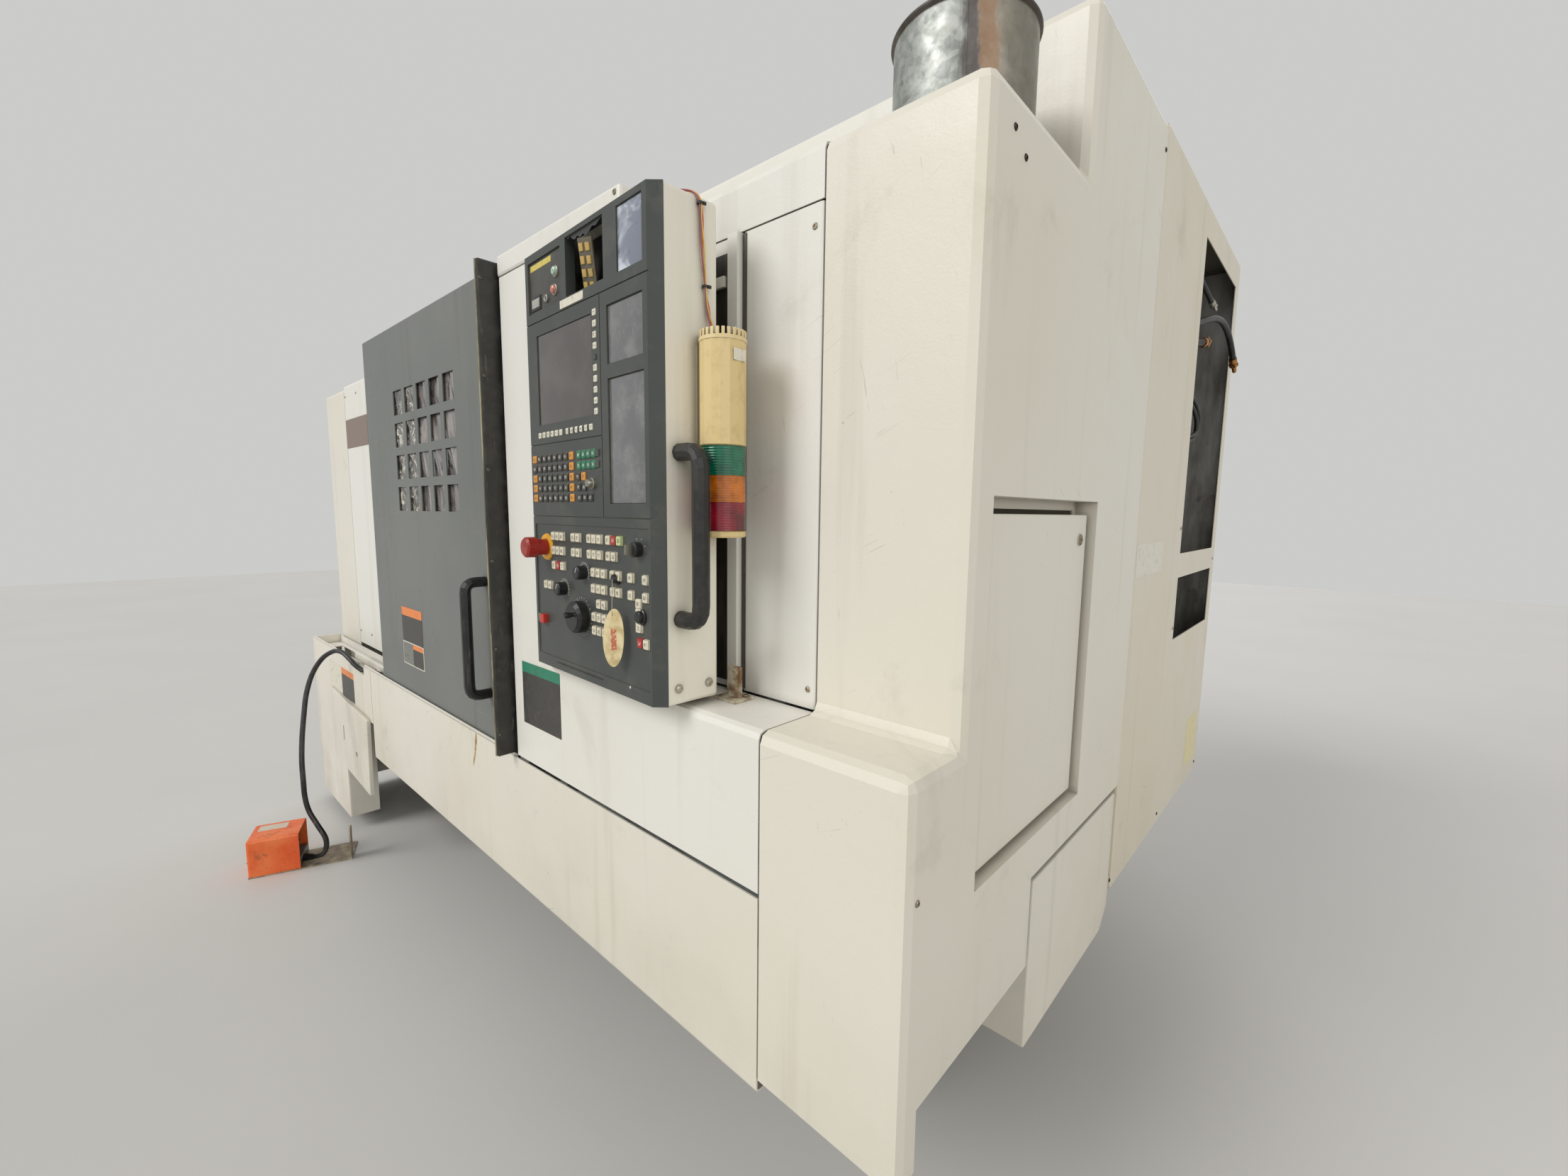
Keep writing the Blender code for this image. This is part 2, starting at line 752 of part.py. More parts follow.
def make_upper_covers():
    """The covers above the ledge: header, bay, upper front, deck, tall rear and headstock."""
    header = shell_box(
        "door_header",
        at(COLUMN_LEFT, 0, HEADER_BOTTOM),
        at(HEADER_RIGHT, LEDGE_DEPTH - SEAM, DECK_HEIGHT),
        ("rear",),
        COVER_WHITE,
        radius=2 * SHEET,
    )
    plate_bottom = PANEL_BOTTOM + PANEL_HEIGHT + SHEET
    add_hinge_plate(header, "upper_hinge", plate_bottom, plate_bottom + HINGE_PLATE)
    riser = box_helper(
        "hinge_riser",
        at(COLUMN_RIGHT - FIT, FLANGE, plate_bottom + HINGE_PLATE / 2),
        at(PIVOT_FROM_RIGHT - OVERRUN, LEDGE_DEPTH - FLANGE, HEADER_BOTTOM + SHEET / 2),
    )
    join(header, riser)
    jamb_width, jamb_proud = 0.023, 0.013
    bay_left = COLUMN_RIGHT - SEAM
    bay_bottom = LEDGE_HEIGHT + SEAM
    plane = LEDGE_DEPTH + SHEET / 2
    path = [
        at(bay_left, plane, bay_bottom),
        at(BAY_RIGHT + jamb_width, plane, bay_bottom),
        at(BAY_RIGHT + jamb_width, plane - jamb_proud, bay_bottom),
        at(BAY_RIGHT + SEAM, plane - jamb_proud, bay_bottom),
        at(BAY_RIGHT + SEAM, LEDGE_DEPTH + FLANGE, bay_bottom),
    ]
    bay_top = Vector((0, 0, FASCIA_BOTTOM - SEAM - bay_bottom))
    mesh = strip_mesh("panel_bay_cover", path, bay_top)
    walled(place("panel_bay_cover", mesh, COVER_WHITE), offset=0)

    shell_box(
        "upper_front_cover",
        at(BAY_RIGHT, LEDGE_DEPTH, LEDGE_HEIGHT + SEAM),
        at(CORNER_WIDTH + SEAM / 2, LEDGE_DEPTH + FLANGE, FASCIA_BOTTOM - SEAM),
        ("rear", "top", "bottom"),
        COVER_WHITE,
        radius=2 * SHEET,
    )
    shell_box(
        "deck_cover",
        at(CHAMBER_LEFT, LEDGE_DEPTH, FASCIA_BOTTOM),
        at(CORNER_WIDTH + SEAM / 2, TALL_FRONT - SEAM, DECK_HEIGHT),
        ("rear", "bottom", "right"),
        COVER_WHITE,
    )
    shell_box(
        "tall_rear_cover",
        at(CHAMBER_LEFT, TALL_FRONT, DECK_HEIGHT - SHEET),
        at(CORNER_WIDTH + SEAM / 2, SIDE_DEPTH - SEAM / 2, HEIGHT),
        ("bottom", "right"),
        COVER_WHITE,
    )
    shell_box(
        "headstock_cover",
        at(STEP_LEFT, HEADSTOCK_COVER_FRONT, LIP_HEIGHT),
        at(CHAMBER_LEFT + SEAM, SIDE_DEPTH - SEAM / 2, HEADSTOCK_COVER_HEIGHT),
        ("bottom", "rear", "left", "right"),
        COVER_WHITE,
    )
    shell_box(
        "left_end_cover",
        at(LENGTH, HEADSTOCK_COVER_FRONT, LEG_BOTTOM),
        at(STEP_LEFT + SEAM, REAR_COVER_DEPTH, END_COVER_HEIGHT),
        ("bottom", "right"),
        COVER_WHITE,
    )


# Electrical cabinet
WINDOW_FRONT = 1.389
WINDOW_REAR = 1.880
LOW_WINDOW_BOTTOM = 0.975
LOW_WINDOW_TOP = 1.149
TALL_WINDOW_BOTTOM = 1.216
TALL_WINDOW_DROP = 0.080
TALL_WINDOW_TOP = HEIGHT - TALL_WINDOW_DROP
CABINET_BOTTOM = 0.439


def make_rear():
    """The electrical cabinet with its two side openings, and the plain rear cover."""
    cabinet = shell_box(
        "electrical_cabinet",
        at(CABINET_WIDTH, SIDE_DEPTH + SEAM / 2, CABINET_BOTTOM),
        at(0, DEPTH, HEIGHT),
        (),
        COVER_WHITE,
        radius=2 * SHEET,
    )
    for name, low, high in (
        ("low_window", LOW_WINDOW_BOTTOM, LOW_WINDOW_TOP),
        ("tall_window", TALL_WINDOW_BOTTOM, TALL_WINDOW_TOP),
    ):
        cut(
            cabinet,
            box_helper(
                name,
                at(OVERRUN, WINDOW_FRONT, low),
                at(-OVERRUN, WINDOW_REAR, high),
            ),
        )
    cover = shell_box(
        "rear_cover",
        at(STEP_LEFT, SIDE_DEPTH + SEAM / 2, LEG_BOTTOM + CABINET_BOTTOM),
        at(CABINET_WIDTH + SEAM, REAR_COVER_DEPTH, DECK_HEIGHT),
        ("bottom", "front"),
        COVER_WHITE,
    )
    # The frame's rear rail runs through the cover's left wall.
    rail_back = REAR_COVER_DEPTH - BEHIND_SHEET - TUBE
    rail_room = box_helper(
        "rear_rail_room",
        at(STEP_LEFT + OVERRUN, rail_back - OVERRUN, LIP_HEIGHT - OVERRUN),
        at(STEP_LEFT - CORNER_RADIUS, rail_back + TUBE + FIT, LIP_HEIGHT + TUBE + OVERRUN),
    )
    cut(cover, rail_room)


# Sliding door
DOOR_FACE = 0.009
DOOR_THICKNESS = 0.055
DOOR_DROP = 0.010
DOOR_TOP = DECK_HEIGHT - DOOR_DROP
TRIM_WIDTH = 0.0127
TRIM_PROUD = 0.047
TRIM_BACK = 0.041
TRIM_BOTTOM = LIP_HEIGHT + 2 * FIT + 0.0014
WINDOW_COLUMNS = 5
WINDOW_ROWS = 4
WINDOW_WIDTH = 0.072
WINDOW_HEIGHT = 0.070
WINDOW_PITCH = (0.097, 0.0933)
WINDOW_GRID_RIGHT = 1.334
WINDOW_GRID_DROP = 0.532
WINDOW_GRID_BOTTOM = DOOR_TOP - WINDOW_GRID_DROP
PANE_MARGIN = 0.026
PANE_THICKNESS = 0.006
HANDLE_DIAMETER = 0.025
HANDLE_FROM_RIGHT = 1.194
HANDLE_BOTTOM = 0.851
HANDLE_TOP = 1.154
HANDLE_STANDOFF = 0.049


def make_door():
    """The grey door on its rail, with four rows of small windows and a black closing edge."""
    trim_left = DOOR_RIGHT + TRIM_WIDTH
    skin = shell_box(
        "door_skin",
        at(DOOR_LEFT, DOOR_FACE, DOOR_BOTTOM),
        at(trim_left + FIT, DOOR_FACE + DOOR_THICKNESS, DOOR_TOP),
        ("rear",),
        DOOR_GREY,
        radius=SHEET,
    )
    boxes = []
    for column in range(WINDOW_COLUMNS):
        right = WINDOW_GRID_RIGHT + column * WINDOW_PITCH[0]
        for row in range(WINDOW_ROWS):
            bottom = WINDOW_GRID_BOTTOM + row * WINDOW_PITCH[1]
            boxes.append(
                (
                    at(right + WINDOW_WIDTH, DOOR_FACE - OVERRUN, bottom),
                    at(right, DOOR_FACE + OVERRUN, bottom + WINDOW_HEIGHT),
                )
            )
    cut(skin, boxes_helper("door_windows", boxes))
    grid_width = (WINDOW_COLUMNS - 1) * WINDOW_PITCH[0] + WINDOW_WIDTH
    grid_height = (WINDOW_ROWS - 1) * WINDOW_PITCH[1] + WINDOW_HEIGHT
    pane_front = DOOR_FACE + SHEET + FIT
    solid_box(
        "door_window_pane",
        at(WINDOW_GRID_RIGHT + grid_width + PANE_MARGIN, pane_front, WINDOW_GRID_BOTTOM - PANE_MARGIN),
        at(
            WINDOW_GRID_RIGHT - PANE_MARGIN,
            pane_front + PANE_THICKNESS,
            WINDOW_GRID_BOTTOM + grid_height + PANE_MARGIN,
        ),
        CLEAR_GREY,
    )
    solid_box(
        "door_edge_trim",
        at(trim_left, DOOR_FACE - TRIM_PROUD, TRIM_BOTTOM),
        at(DOOR_RIGHT, DOOR_FACE + TRIM_BACK, DOOR_TOP),
        TRIM_BLACK,
        radius=SHEET,
    )
    grip_line = DOOR_FACE - HANDLE_STANDOFF
    low = HANDLE_BOTTOM + HANDLE_DIAMETER / 2
    high = HANDLE_TOP - HANDLE_DIAMETER / 2
    corners = [
        at(HANDLE_FROM_RIGHT, DOOR_FACE - FIT, low),
        at(HANDLE_FROM_RIGHT, grip_line, low),
        at(HANDLE_FROM_RIGHT, grip_line, high),
        at(HANDLE_FROM_RIGHT, DOOR_FACE - FIT, high),
    ]
    tube("door_handle", rounded_path(corners, HANDLE_DIAMETER, 4), HANDLE_DIAMETER, TRIM_BLACK, sides=3)


# Work chamber and bed
BED_LEFT = 2.725
BED_CLEARANCE = 0.020
BED_RIGHT = CABINET_WIDTH + BED_CLEARANCE
BASE_RIGHT = 0.350
BED_FRONT = 0.360
BED_BACK = 1.300
BED_BOTTOM = 0.100
RAIL_STARTS = (0.060, 0.460, 0.800)
CHAMBER_FRONT = 0.135
CHAMBER_BACK = 1.200
CHAMBER_RIGHT = 1.060
CHAMBER_BOTTOM = 0.600
CHAMBER_DROP = 0.090
CHAMBER_TOP = DECK_HEIGHT - CHAMBER_DROP
WALL_CLEARANCE = 0.008


def bed_outline(margin=0.0):
    """The bed's section, larger all round by a margin."""
    ways = []
    for start in reversed(RAIL_STARTS):
        low, high = start - margin, start + RAIL_WIDTH + margin
        off = RAIL_HEIGHT + margin
        ways += [(high, margin), (high, off), (low, off), (low, margin)]
    slope = slope_outline([(SLOPE_LENGTH, margin), *ways, (0, margin)])
    top = slope[0][1]
    return [
        (BED_FRONT - margin, BED_BOTTOM - margin),
        (BED_BACK + margin, BED_BOTTOM - margin),
        (BED_BACK + margin, top),
        *slope,
        (BED_FRONT - margin, slope[-1][1]),
    ]


def make_bed_and_chamber():
    bed = side_prism("bed_casting", bed_outline(), BED_LEFT, BED_RIGHT, CASTING_GREY)
    foot_radius, foot_inset = 0.055, 0.120
    stem_radius, pad_height = 0.018, 0.030
    base = box_helper(
        "bed_base",
        at(BED_RIGHT + OVERRUN, BED_FRONT, BED_BOTTOM),
        at(BASE_RIGHT, BED_BACK, CABINET_BOTTOM - FIT),
    )
    join(bed, base)
    columns = (BED_LEFT - foot_inset, (BED_LEFT + BASE_RIGHT) / 2, BASE_RIGHT + foot_inset)
    for number, (from_right, back) in enumerate(
        (column, row) for column in columns for row in (BED_FRONT + foot_inset, BED_BACK - foot_inset)
    ):
        top = BED_BOTTOM + OVERRUN
        stem_at = at(from_right, back, (top + pad_height / 2) / 2)
        join(bed, rod_helper(f"stem_{number}", stem_at, "top", stem_radius, top - pad_height / 2, steps=12))
        pad_at = at(from_right, back, pad_height / 2)
        join(bed, rod_helper(f"pad_{number}", pad_at, "top", foot_radius, pad_height, steps=12))

    liner = shell_box(
        "chamber_liner",
        at(CHAMBER_LEFT, CHAMBER_FRONT, CHAMBER_BOTTOM),
        at(CHAMBER_RIGHT, CHAMBER_BACK, CHAMBER_TOP),
        ("front", "bottom"),
        CASTING_GREY,
        radius=SHEET,
    )
    clearance_left, clearance_right = CHAMBER_LEFT + OVERRUN, CHAMBER_RIGHT - OVERRUN
    bed_room = side_prism(
        "bed_clearance", bed_outline(WALL_CLEARANCE), clearance_left, clearance_right, STEEL
    )
    cut(liner, bed_room)
    cut(
        liner,
        rod_helper(
            "nose_hole",
            at(CHAMBER_LEFT, SPINDLE_BACK, SPINDLE_HEIGHT),
            "right",
            NOSE_RADIUS + WALL_CLEARANCE,
            2 * OVERRUN,
        ),
    )


# Headstock, spindle and chuck
HEAD_LEFT = 2.700
HEAD_RIGHT = 2.130
HEAD_HALF_WIDTH = 0.130
HEAD_TOP_OFF = 0.420
SPINDLE_RADIUS = 0.070
SPINDLE_BORE = 0.040
BEARING_CLEARANCE = 0.0013
NOSE_RADIUS = 0.105
NOSE_LENGTH = 0.045
SPINDLE_LEFT = 2.840
PULLEY_RADIUS = 0.110
PULLEY_WIDTH = 0.080
CHUCK_RADIUS = 0.127
CHUCK_LENGTH = 0.100
JAW_WIDTH = 0.040
JAW_SLOT_DEPTH = 0.030
JAW_PROUD = 0.045
JAW_INNER = 0.045
JAW_OUTER = 0.112
JAW_COUNT = 3
FACE_STEP = 0.002


def make_headstock():
    """The headstock casting on the slope, and the hollow spindle that runs through it."""
    low, high = SPINDLE_UP_SLOPE - HEAD_HALF_WIDTH, SPINDLE_UP_SLOPE + HEAD_HALF_WIDTH
    chamfer = 0.060
    outline = slope_outline(
        [
            (low, FIT),
            (high, FIT),
            (high, HEAD_TOP_OFF - chamfer),
            (high - chamfer, HEAD_TOP_OFF),
            (low + chamfer, HEAD_TOP_OFF),
            (low, HEAD_TOP_OFF - chamfer),
        ]
    )
    casting = side_prism("headstock_casting", outline, HEAD_LEFT, HEAD_RIGHT, CASTING_GREY)
    middle = (HEAD_LEFT + HEAD_RIGHT) / 2
    cut(
        casting,
        rod_helper(
            "spindle_bore",
            at(middle, SPINDLE_BACK, SPINDLE_HEIGHT),
            "right",
            SPINDLE_RADIUS + BEARING_CLEARANCE,
            HEAD_LEFT - HEAD_RIGHT + 2 * OVERRUN,
        ),
    )
    nose_end = NOSE_FACE
    shoulder = HEAD_RIGHT - 2 * FIT
    profile = [
        (SPINDLE_BORE, RIGHT - nose_end),
        (NOSE_RADIUS, RIGHT - nose_end),
        (NOSE_RADIUS, RIGHT - nose_end - NOSE_LENGTH),
        (SPINDLE_RADIUS, RIGHT - shoulder),
        (SPINDLE_RADIUS, RIGHT - HEAD_LEFT - FACE_STEP),
        (PULLEY_RADIUS, RIGHT - HEAD_LEFT - FACE_STEP),
        (PULLEY_RADIUS, RIGHT - HEAD_LEFT - PULLEY_WIDTH),
        (SPINDLE_RADIUS, RIGHT - HEAD_LEFT - PULLEY_WIDTH),
        (SPINDLE_RADIUS, RIGHT - SPINDLE_LEFT),
        (SPINDLE_BORE, RIGHT - SPINDLE_LEFT),
    ]
    axis = Vector((0, FRONT + SPINDLE_BACK, SPINDLE_HEIGHT))
    turned("spindle", profile, axis, "right", STEEL, metallic=0.9, steps=16, hollow=True)


NOSE_FACE = 2.070


def make_chuck():
    """A three-jaw chuck on the spindle's nose, each jaw in its own slot."""
    back = NOSE_FACE - FIT
    face = back - CHUCK_LENGTH
    edge = 0.006
    profile = [
        (SPINDLE_BORE, RIGHT - face),
        (CHUCK_RADIUS - edge, RIGHT - face),
        (CHUCK_RADIUS, RIGHT - face - edge),
        (CHUCK_RADIUS, RIGHT - back + edge),
        (CHUCK_RADIUS - edge, RIGHT - back),
        (SPINDLE_BORE, RIGHT - back),
    ]
    axis = Vector((0, FRONT + SPINDLE_BACK, SPINDLE_HEIGHT))
    chuck = turned("chuck_body", profile, axis, "right", STEEL, metallic=0.9, hollow=True)
    slot_floor = RIGHT - face - JAW_SLOT_DEPTH
    step_height = JAW_PROUD / 2
    step_radius = (JAW_INNER + JAW_OUTER) / 2
    for number in range(JAW_COUNT):
        turn = Matrix.Rotation(number * math.tau / JAW_COUNT, 4, "X")
        slot = box_helper(
            f"jaw_slot_{number + 1}",
            Vector((slot_floor, -JAW_WIDTH / 2 - FIT, 0)),
            Vector((slot_floor + JAW_SLOT_DEPTH + OVERRUN, JAW_WIDTH / 2 + FIT, CHUCK_RADIUS + OVERRUN)),
        )
        slot.matrix_world = Matrix.Translation(axis) @ turn
        cut(chuck, slot)
        outline = [
            (slot_floor + FIT, JAW_INNER),
            (slot_floor + JAW_SLOT_DEPTH + JAW_PROUD, JAW_INNER),
            (slot_floor + JAW_SLOT_DEPTH + JAW_PROUD, step_radius),
            (slot_floor + JAW_SLOT_DEPTH + step_height, step_radius),
            (slot_floor + JAW_SLOT_DEPTH + step_height, JAW_OUTER),
            (slot_floor + FIT, JAW_OUTER),
        ]
        name = f"chuck_jaw_{number + 1}"
        jaw = place(name, outline_mesh(name, outline, JAW_WIDTH), STEEL, metallic=0.9)
        upright = Matrix.Rotation(math.pi / 2, 4, "X")
        jaw.matrix_world = Matrix.Translation(axis) @ turn @ upright


# Carriage, cross slide, turret and tailstock. Distances up and off the slope.
SADDLE_LEFT = 1.700
SADDLE_RIGHT = 1.400
SADDLE_REACH = (0.040, 0.920)
SADDLE_TOP = 0.090
SLIDE_REACH = (0.520, 0.900)
SLIDE_TOP = 0.130
TURRET_UP_SLOPE = 0.690
TURRET_RADIUS = 0.165
TURRET_THICKNESS = 0.090
TURRET_FACE = 1.590
TURRET_STATIONS = 12
POCKET_WIDTH = 0.026
POCKET_DEPTH = 0.034
HUB_RADIUS = 0.075
HOUSING_HALF = 0.130
TAIL_LEFT = 1.240
TAIL_RIGHT = 1.085
TAIL_REACH = (0.045, 0.535)
TAIL_HALF_WIDTH = 0.085
TAIL_BASE_TOP = 0.100
TAIL_TOP = 0.370
QUILL_RADIUS = 0.040
QUILL_CLEARANCE = 0.0006
QUILL_TIP = 1.310
CENTRE_RADIUS = 0.022
CENTRE_LENGTH = 0.045


def make_carriage():
    """The saddle on the bed's ways, the cross slide on it and the twelve-station turret."""
    rest = RAIL_HEIGHT + FIT
    low, high = SADDLE_REACH
    outline = slope_outline([(low, rest), (high, rest), (high, SADDLE_TOP), (low, SADDLE_TOP)])
    side_prism("saddle", outline, SADDLE_LEFT, SADDLE_RIGHT, CASTING_GREY)

    low, high = SLIDE_REACH
    seat = SADDLE_TOP + FIT
    housing_low, housing_high = TURRET_UP_SLOPE - HOUSING_HALF, TURRET_UP_SLOPE + HOUSING_HALF
    housing_top = SPINDLE_OFF_SLOPE + HOUSING_HALF
    chamfer = HOUSING_HALF / 3
    outline = slope_outline(
        [
            (low, seat),
            (high, seat),
            (high, SLIDE_TOP),
            (housing_high, SLIDE_TOP),
            (housing_high, housing_top - chamfer),
            (housing_high - chamfer, housing_top),
            (housing_low + chamfer, housing_top),
            (housing_low, housing_top - chamfer),
            (housing_low, SLIDE_TOP),
            (low, SLIDE_TOP),
        ]
    )
    disc_back = TURRET_FACE - TURRET_THICKNESS
    side_prism("cross_slide", outline, disc_back - FIT, SADDLE_RIGHT + SHEET, CASTING_GREY)

    profile = [
        (0, RIGHT - disc_back),
        (TURRET_RADIUS, RIGHT - disc_back),
        (TURRET_RADIUS, RIGHT - TURRET_FACE),
        (HUB_RADIUS, RIGHT - TURRET_FACE),
        (HUB_RADIUS, RIGHT - TURRET_FACE - FACE_STEP * HUB_STEPS),
        (0, RIGHT - TURRET_FACE - FACE_STEP * HUB_STEPS),
    ]
    centre = on_slope(TURRET_UP_SLOPE, SPINDLE_OFF_SLOPE, 0)
    centre.x = 0
    disc = turned(
        "turret_disc", profile, centre, "right", STEEL, metallic=0.9, steps=TURRET_STATIONS
    )
    pockets = []
    for station in range(TURRET_STATIONS):
        pockets.append(
            (
                Vector((RIGHT - TURRET_FACE - OVERRUN, -POCKET_WIDTH / 2, TURRET_RADIUS - POCKET_DEPTH)),
                Vector((RIGHT - disc_back - POCKET_DEPTH, POCKET_WIDTH / 2, TURRET_RADIUS + OVERRUN)),
            )
        )
    shape = bmesh.new()
    for station, (low_corner, high_corner) in enumerate(pockets):
        turn = Matrix.Rotation((station + 0.5) * math.tau / TURRET_STATIONS, 4, "X")
        middle = Matrix.Translation((low_corner + high_corner) / 2)
        size = Matrix.Diagonal((*(high_corner - low_corner), 1))
        bmesh.ops.create_cube(shape, size=1, matrix=turn @ middle @ size)
    mesh = bpy.data.meshes.new("turret_pockets")
    shape.to_mesh(mesh)
    shape.free()
    cutter = bpy.data.objects.new("turret_pockets", mesh)
    CUTTERS.objects.link(cutter)
    cutter.location = centre
    cut(disc, cutter)


HUB_STEPS = 6


def make_tailstock():
    """The tailstock on the two lower ways, and its quill with a plain centre."""
    rest = RAIL_HEIGHT + FIT
    low, high = TAIL_REACH
    body_low, body_high = SPINDLE_UP_SLOPE - TAIL_HALF_WIDTH, SPINDLE_UP_SLOPE + TAIL_HALF_WIDTH
    chamfer = TAIL_HALF_WIDTH / 2
    outline = slope_outline(
        [
            (low, rest),
            (high, rest),
            (high, TAIL_BASE_TOP),
            (body_high, TAIL_BASE_TOP + chamfer),
            (body_high, TAIL_TOP - chamfer),
            (body_high - chamfer, TAIL_TOP),
            (body_low + chamfer, TAIL_TOP),
            (body_low, TAIL_TOP - chamfer),
            (body_low, TAIL_BASE_TOP + chamfer),
            (low, TAIL_BASE_TOP),
        ]
    )
    tailstock = side_prism("tailstock_body", outline, TAIL_LEFT, TAIL_RIGHT, CASTING_GREY)
    middle = (TAIL_LEFT + TAIL_RIGHT) / 2
    cut(
        tailstock,
        rod_helper(
            "quill_bore",
            at(middle, SPINDLE_BACK, SPINDLE_HEIGHT),
            "right",
            QUILL_RADIUS + QUILL_CLEARANCE,
            TAIL_LEFT - TAIL_RIGHT + 2 * OVERRUN,
        ),
    )
    profile = [
        (0, RIGHT - TAIL_RIGHT),
        (QUILL_RADIUS, RIGHT - TAIL_RIGHT),
        (QUILL_RADIUS, RIGHT - QUILL_TIP + CENTRE_LENGTH),
        (CENTRE_RADIUS, RIGHT - QUILL_TIP + CENTRE_LENGTH),
        (0, RIGHT - QUILL_TIP),
    ]
    axis = Vector((0, FRONT + SPINDLE_BACK, SPINDLE_HEIGHT))
    turned("tailstock_quill", profile, axis, "right", STEEL, metallic=0.9)


# Welded tube frame that carries the covers
TUBE = 0.040
FRAME_END = 0.020
BEHIND_SHEET = SHEET + FIT
BELOW_GUTTER = GUTTER_FLOOR - SHEET / 2 - FIT - TUBE
MID_RAIL_SHARE = 0.224
MID_RAIL = PANEL_TOP + MID_RAIL_SHARE * (LEDGE_HEIGHT - PANEL_TOP)
BASE_TOP = CABINET_BOTTOM
POST_FROM_RIGHT = 0.360
BAY_POST_FROM_RIGHT = 0.800
COLUMN_POST_FROM_RIGHT = 1.030


def rail_along(left, right, back, bottom):
    """A tube along the machine."""
    return at(left, back, bottom), at(right, back + TUBE, bottom + TUBE)


def rail_across(from_right, front, back, bottom):
    """A tube from front to back; its left side is at this distance from the right end."""
    return at(from_right, front, bottom), at(from_right - TUBE, back, bottom + TUBE)


def post(from_right, back, bottom, top):
    return at(from_right, back, bottom), at(from_right - TUBE, back + TUBE, top)


def make_enclosure_frame():
    """The welded frame behind the covers. Each cover lies against one of its rails or posts."""
    left_end, right_end = LENGTH - FRAME_END, CORNER_RADIUS + FOLD_RADIUS
    upper_front = LEDGE_DEPTH + BEHIND_SHEET
    deck_front = LEDGE_DEPTH + SHEET + CORNER_RADIUS
    tall_front = TALL_FRONT + SHEET + CORNER_RADIUS
    deck_rail = DECK_HEIGHT - BEHIND_SHEET - TUBE
    tall_rail = HEIGHT - BEHIND_SHEET - TUBE
    end_front = HEADSTOCK_COVER_FRONT + BEHIND_SHEET
    rear_back = REAR_COVER_DEPTH - BEHIND_SHEET - TUBE
    cabinet_front = SIDE_DEPTH + SEAM / 2 - FIT
    chamber_right, chamber_left = CHAMBER_RIGHT - FIT, CHAMBER_LEFT + FIT + TUBE
    deck_left = CHAMBER_LEFT - FRAME_END
    side_left = LENGTH - BEHIND_SHEET
    flap_back = FLAP_BOX_DEPTH + FIT
    flap_rail = (FLAP_BOTTOM + FLAP_TOP) / 2
    support_back = (BED_FRONT + SIDE_DEPTH) / 2
    members = [
        rail_along(POST_FROM_RIGHT, right_end, BEHIND_SHEET, MID_RAIL),
        rail_along(COLUMN_POST_FROM_RIGHT, POST_FROM_RIGHT - TUBE, BEHIND_SHEET, MID_RAIL),
        post(COLUMN_POST_FROM_RIGHT, BEHIND_SHEET, BELOW_GUTTER, HEADER_BOTTOM - FIT),
        post(POST_FROM_RIGHT, upper_front, MID_RAIL, deck_rail + TUBE / 2),
        post(BAY_POST_FROM_RIGHT, upper_front, MID_RAIL, deck_rail + TUBE / 2),
        rail_across(POST_FROM_RIGHT, BEHIND_SHEET, cabinet_front, MID_RAIL),
        rail_across(BAY_POST_FROM_RIGHT, BEHIND_SHEET, cabinet_front, MID_RAIL),
        post(POST_FROM_RIGHT, support_back, BASE_TOP, MID_RAIL + TUBE),
        rail_along(POST_FROM_RIGHT, flap_back, support_back, flap_rail),
        rail_across(flap_back + TUBE, FLAP_FRONT, FLAP_REAR, flap_rail),
        rail_along(deck_left, right_end, deck_front, deck_rail),
        rail_along(deck_left, right_end, tall_front, tall_rail),
        rail_across(POST_FROM_RIGHT, deck_front, tall_front + TUBE, deck_rail),
        rail_across(deck_left, deck_front, tall_front + TUBE, deck_rail),
        post(POST_FROM_RIGHT, tall_front, deck_rail, tall_rail + TUBE),
        post(deck_left, tall_front, deck_rail, tall_rail + TUBE),
        rail_across(chamber_right, BEHIND_SHEET, deck_front + TUBE, BELOW_GUTTER),
        post(chamber_right, deck_front, BELOW_GUTTER, CHAMBER_TOP),
        rail_along(left_end, chamber_left - TUBE, end_front, LIP_HEIGHT),
        rail_across(chamber_left, BEHIND_SHEET, end_front + TUBE, BELOW_GUTTER),
        post(chamber_left, end_front, BELOW_GUTTER, HEADSTOCK_COVER_HEIGHT - CORNER_RADIUS),
        post(left_end, end_front, 0, LIP_HEIGHT + TUBE),
        rail_across(side_left, end_front + FOLD_RADIUS, rear_back + TUBE / 2, LIP_HEIGHT),
        post(left_end, rear_back, 0, LIP_HEIGHT + TUBE),
        rail_along(left_end, CABINET_WIDTH + TUBE, rear_back, LIP_HEIGHT),
        post(CABINET_WIDTH + 2 * TUBE, rear_back, 0, LIP_HEIGHT + TUBE),
    ]
    low, high = rail_along(left_end, right_end, BEHIND_SHEET, BELOW_GUTTER)
    frame = solid_box("enclosure_frame", low, high, CASTING_GREY)
    return join(frame, boxes_helper("frame_members", members), crossing=True)


MOTOR_LEFT = 2.680
MOTOR_RIGHT = 2.330
MOTOR_RADIUS = 0.120
MOTOR_HEIGHT = 0.640
MOTOR_FOOT = 0.030


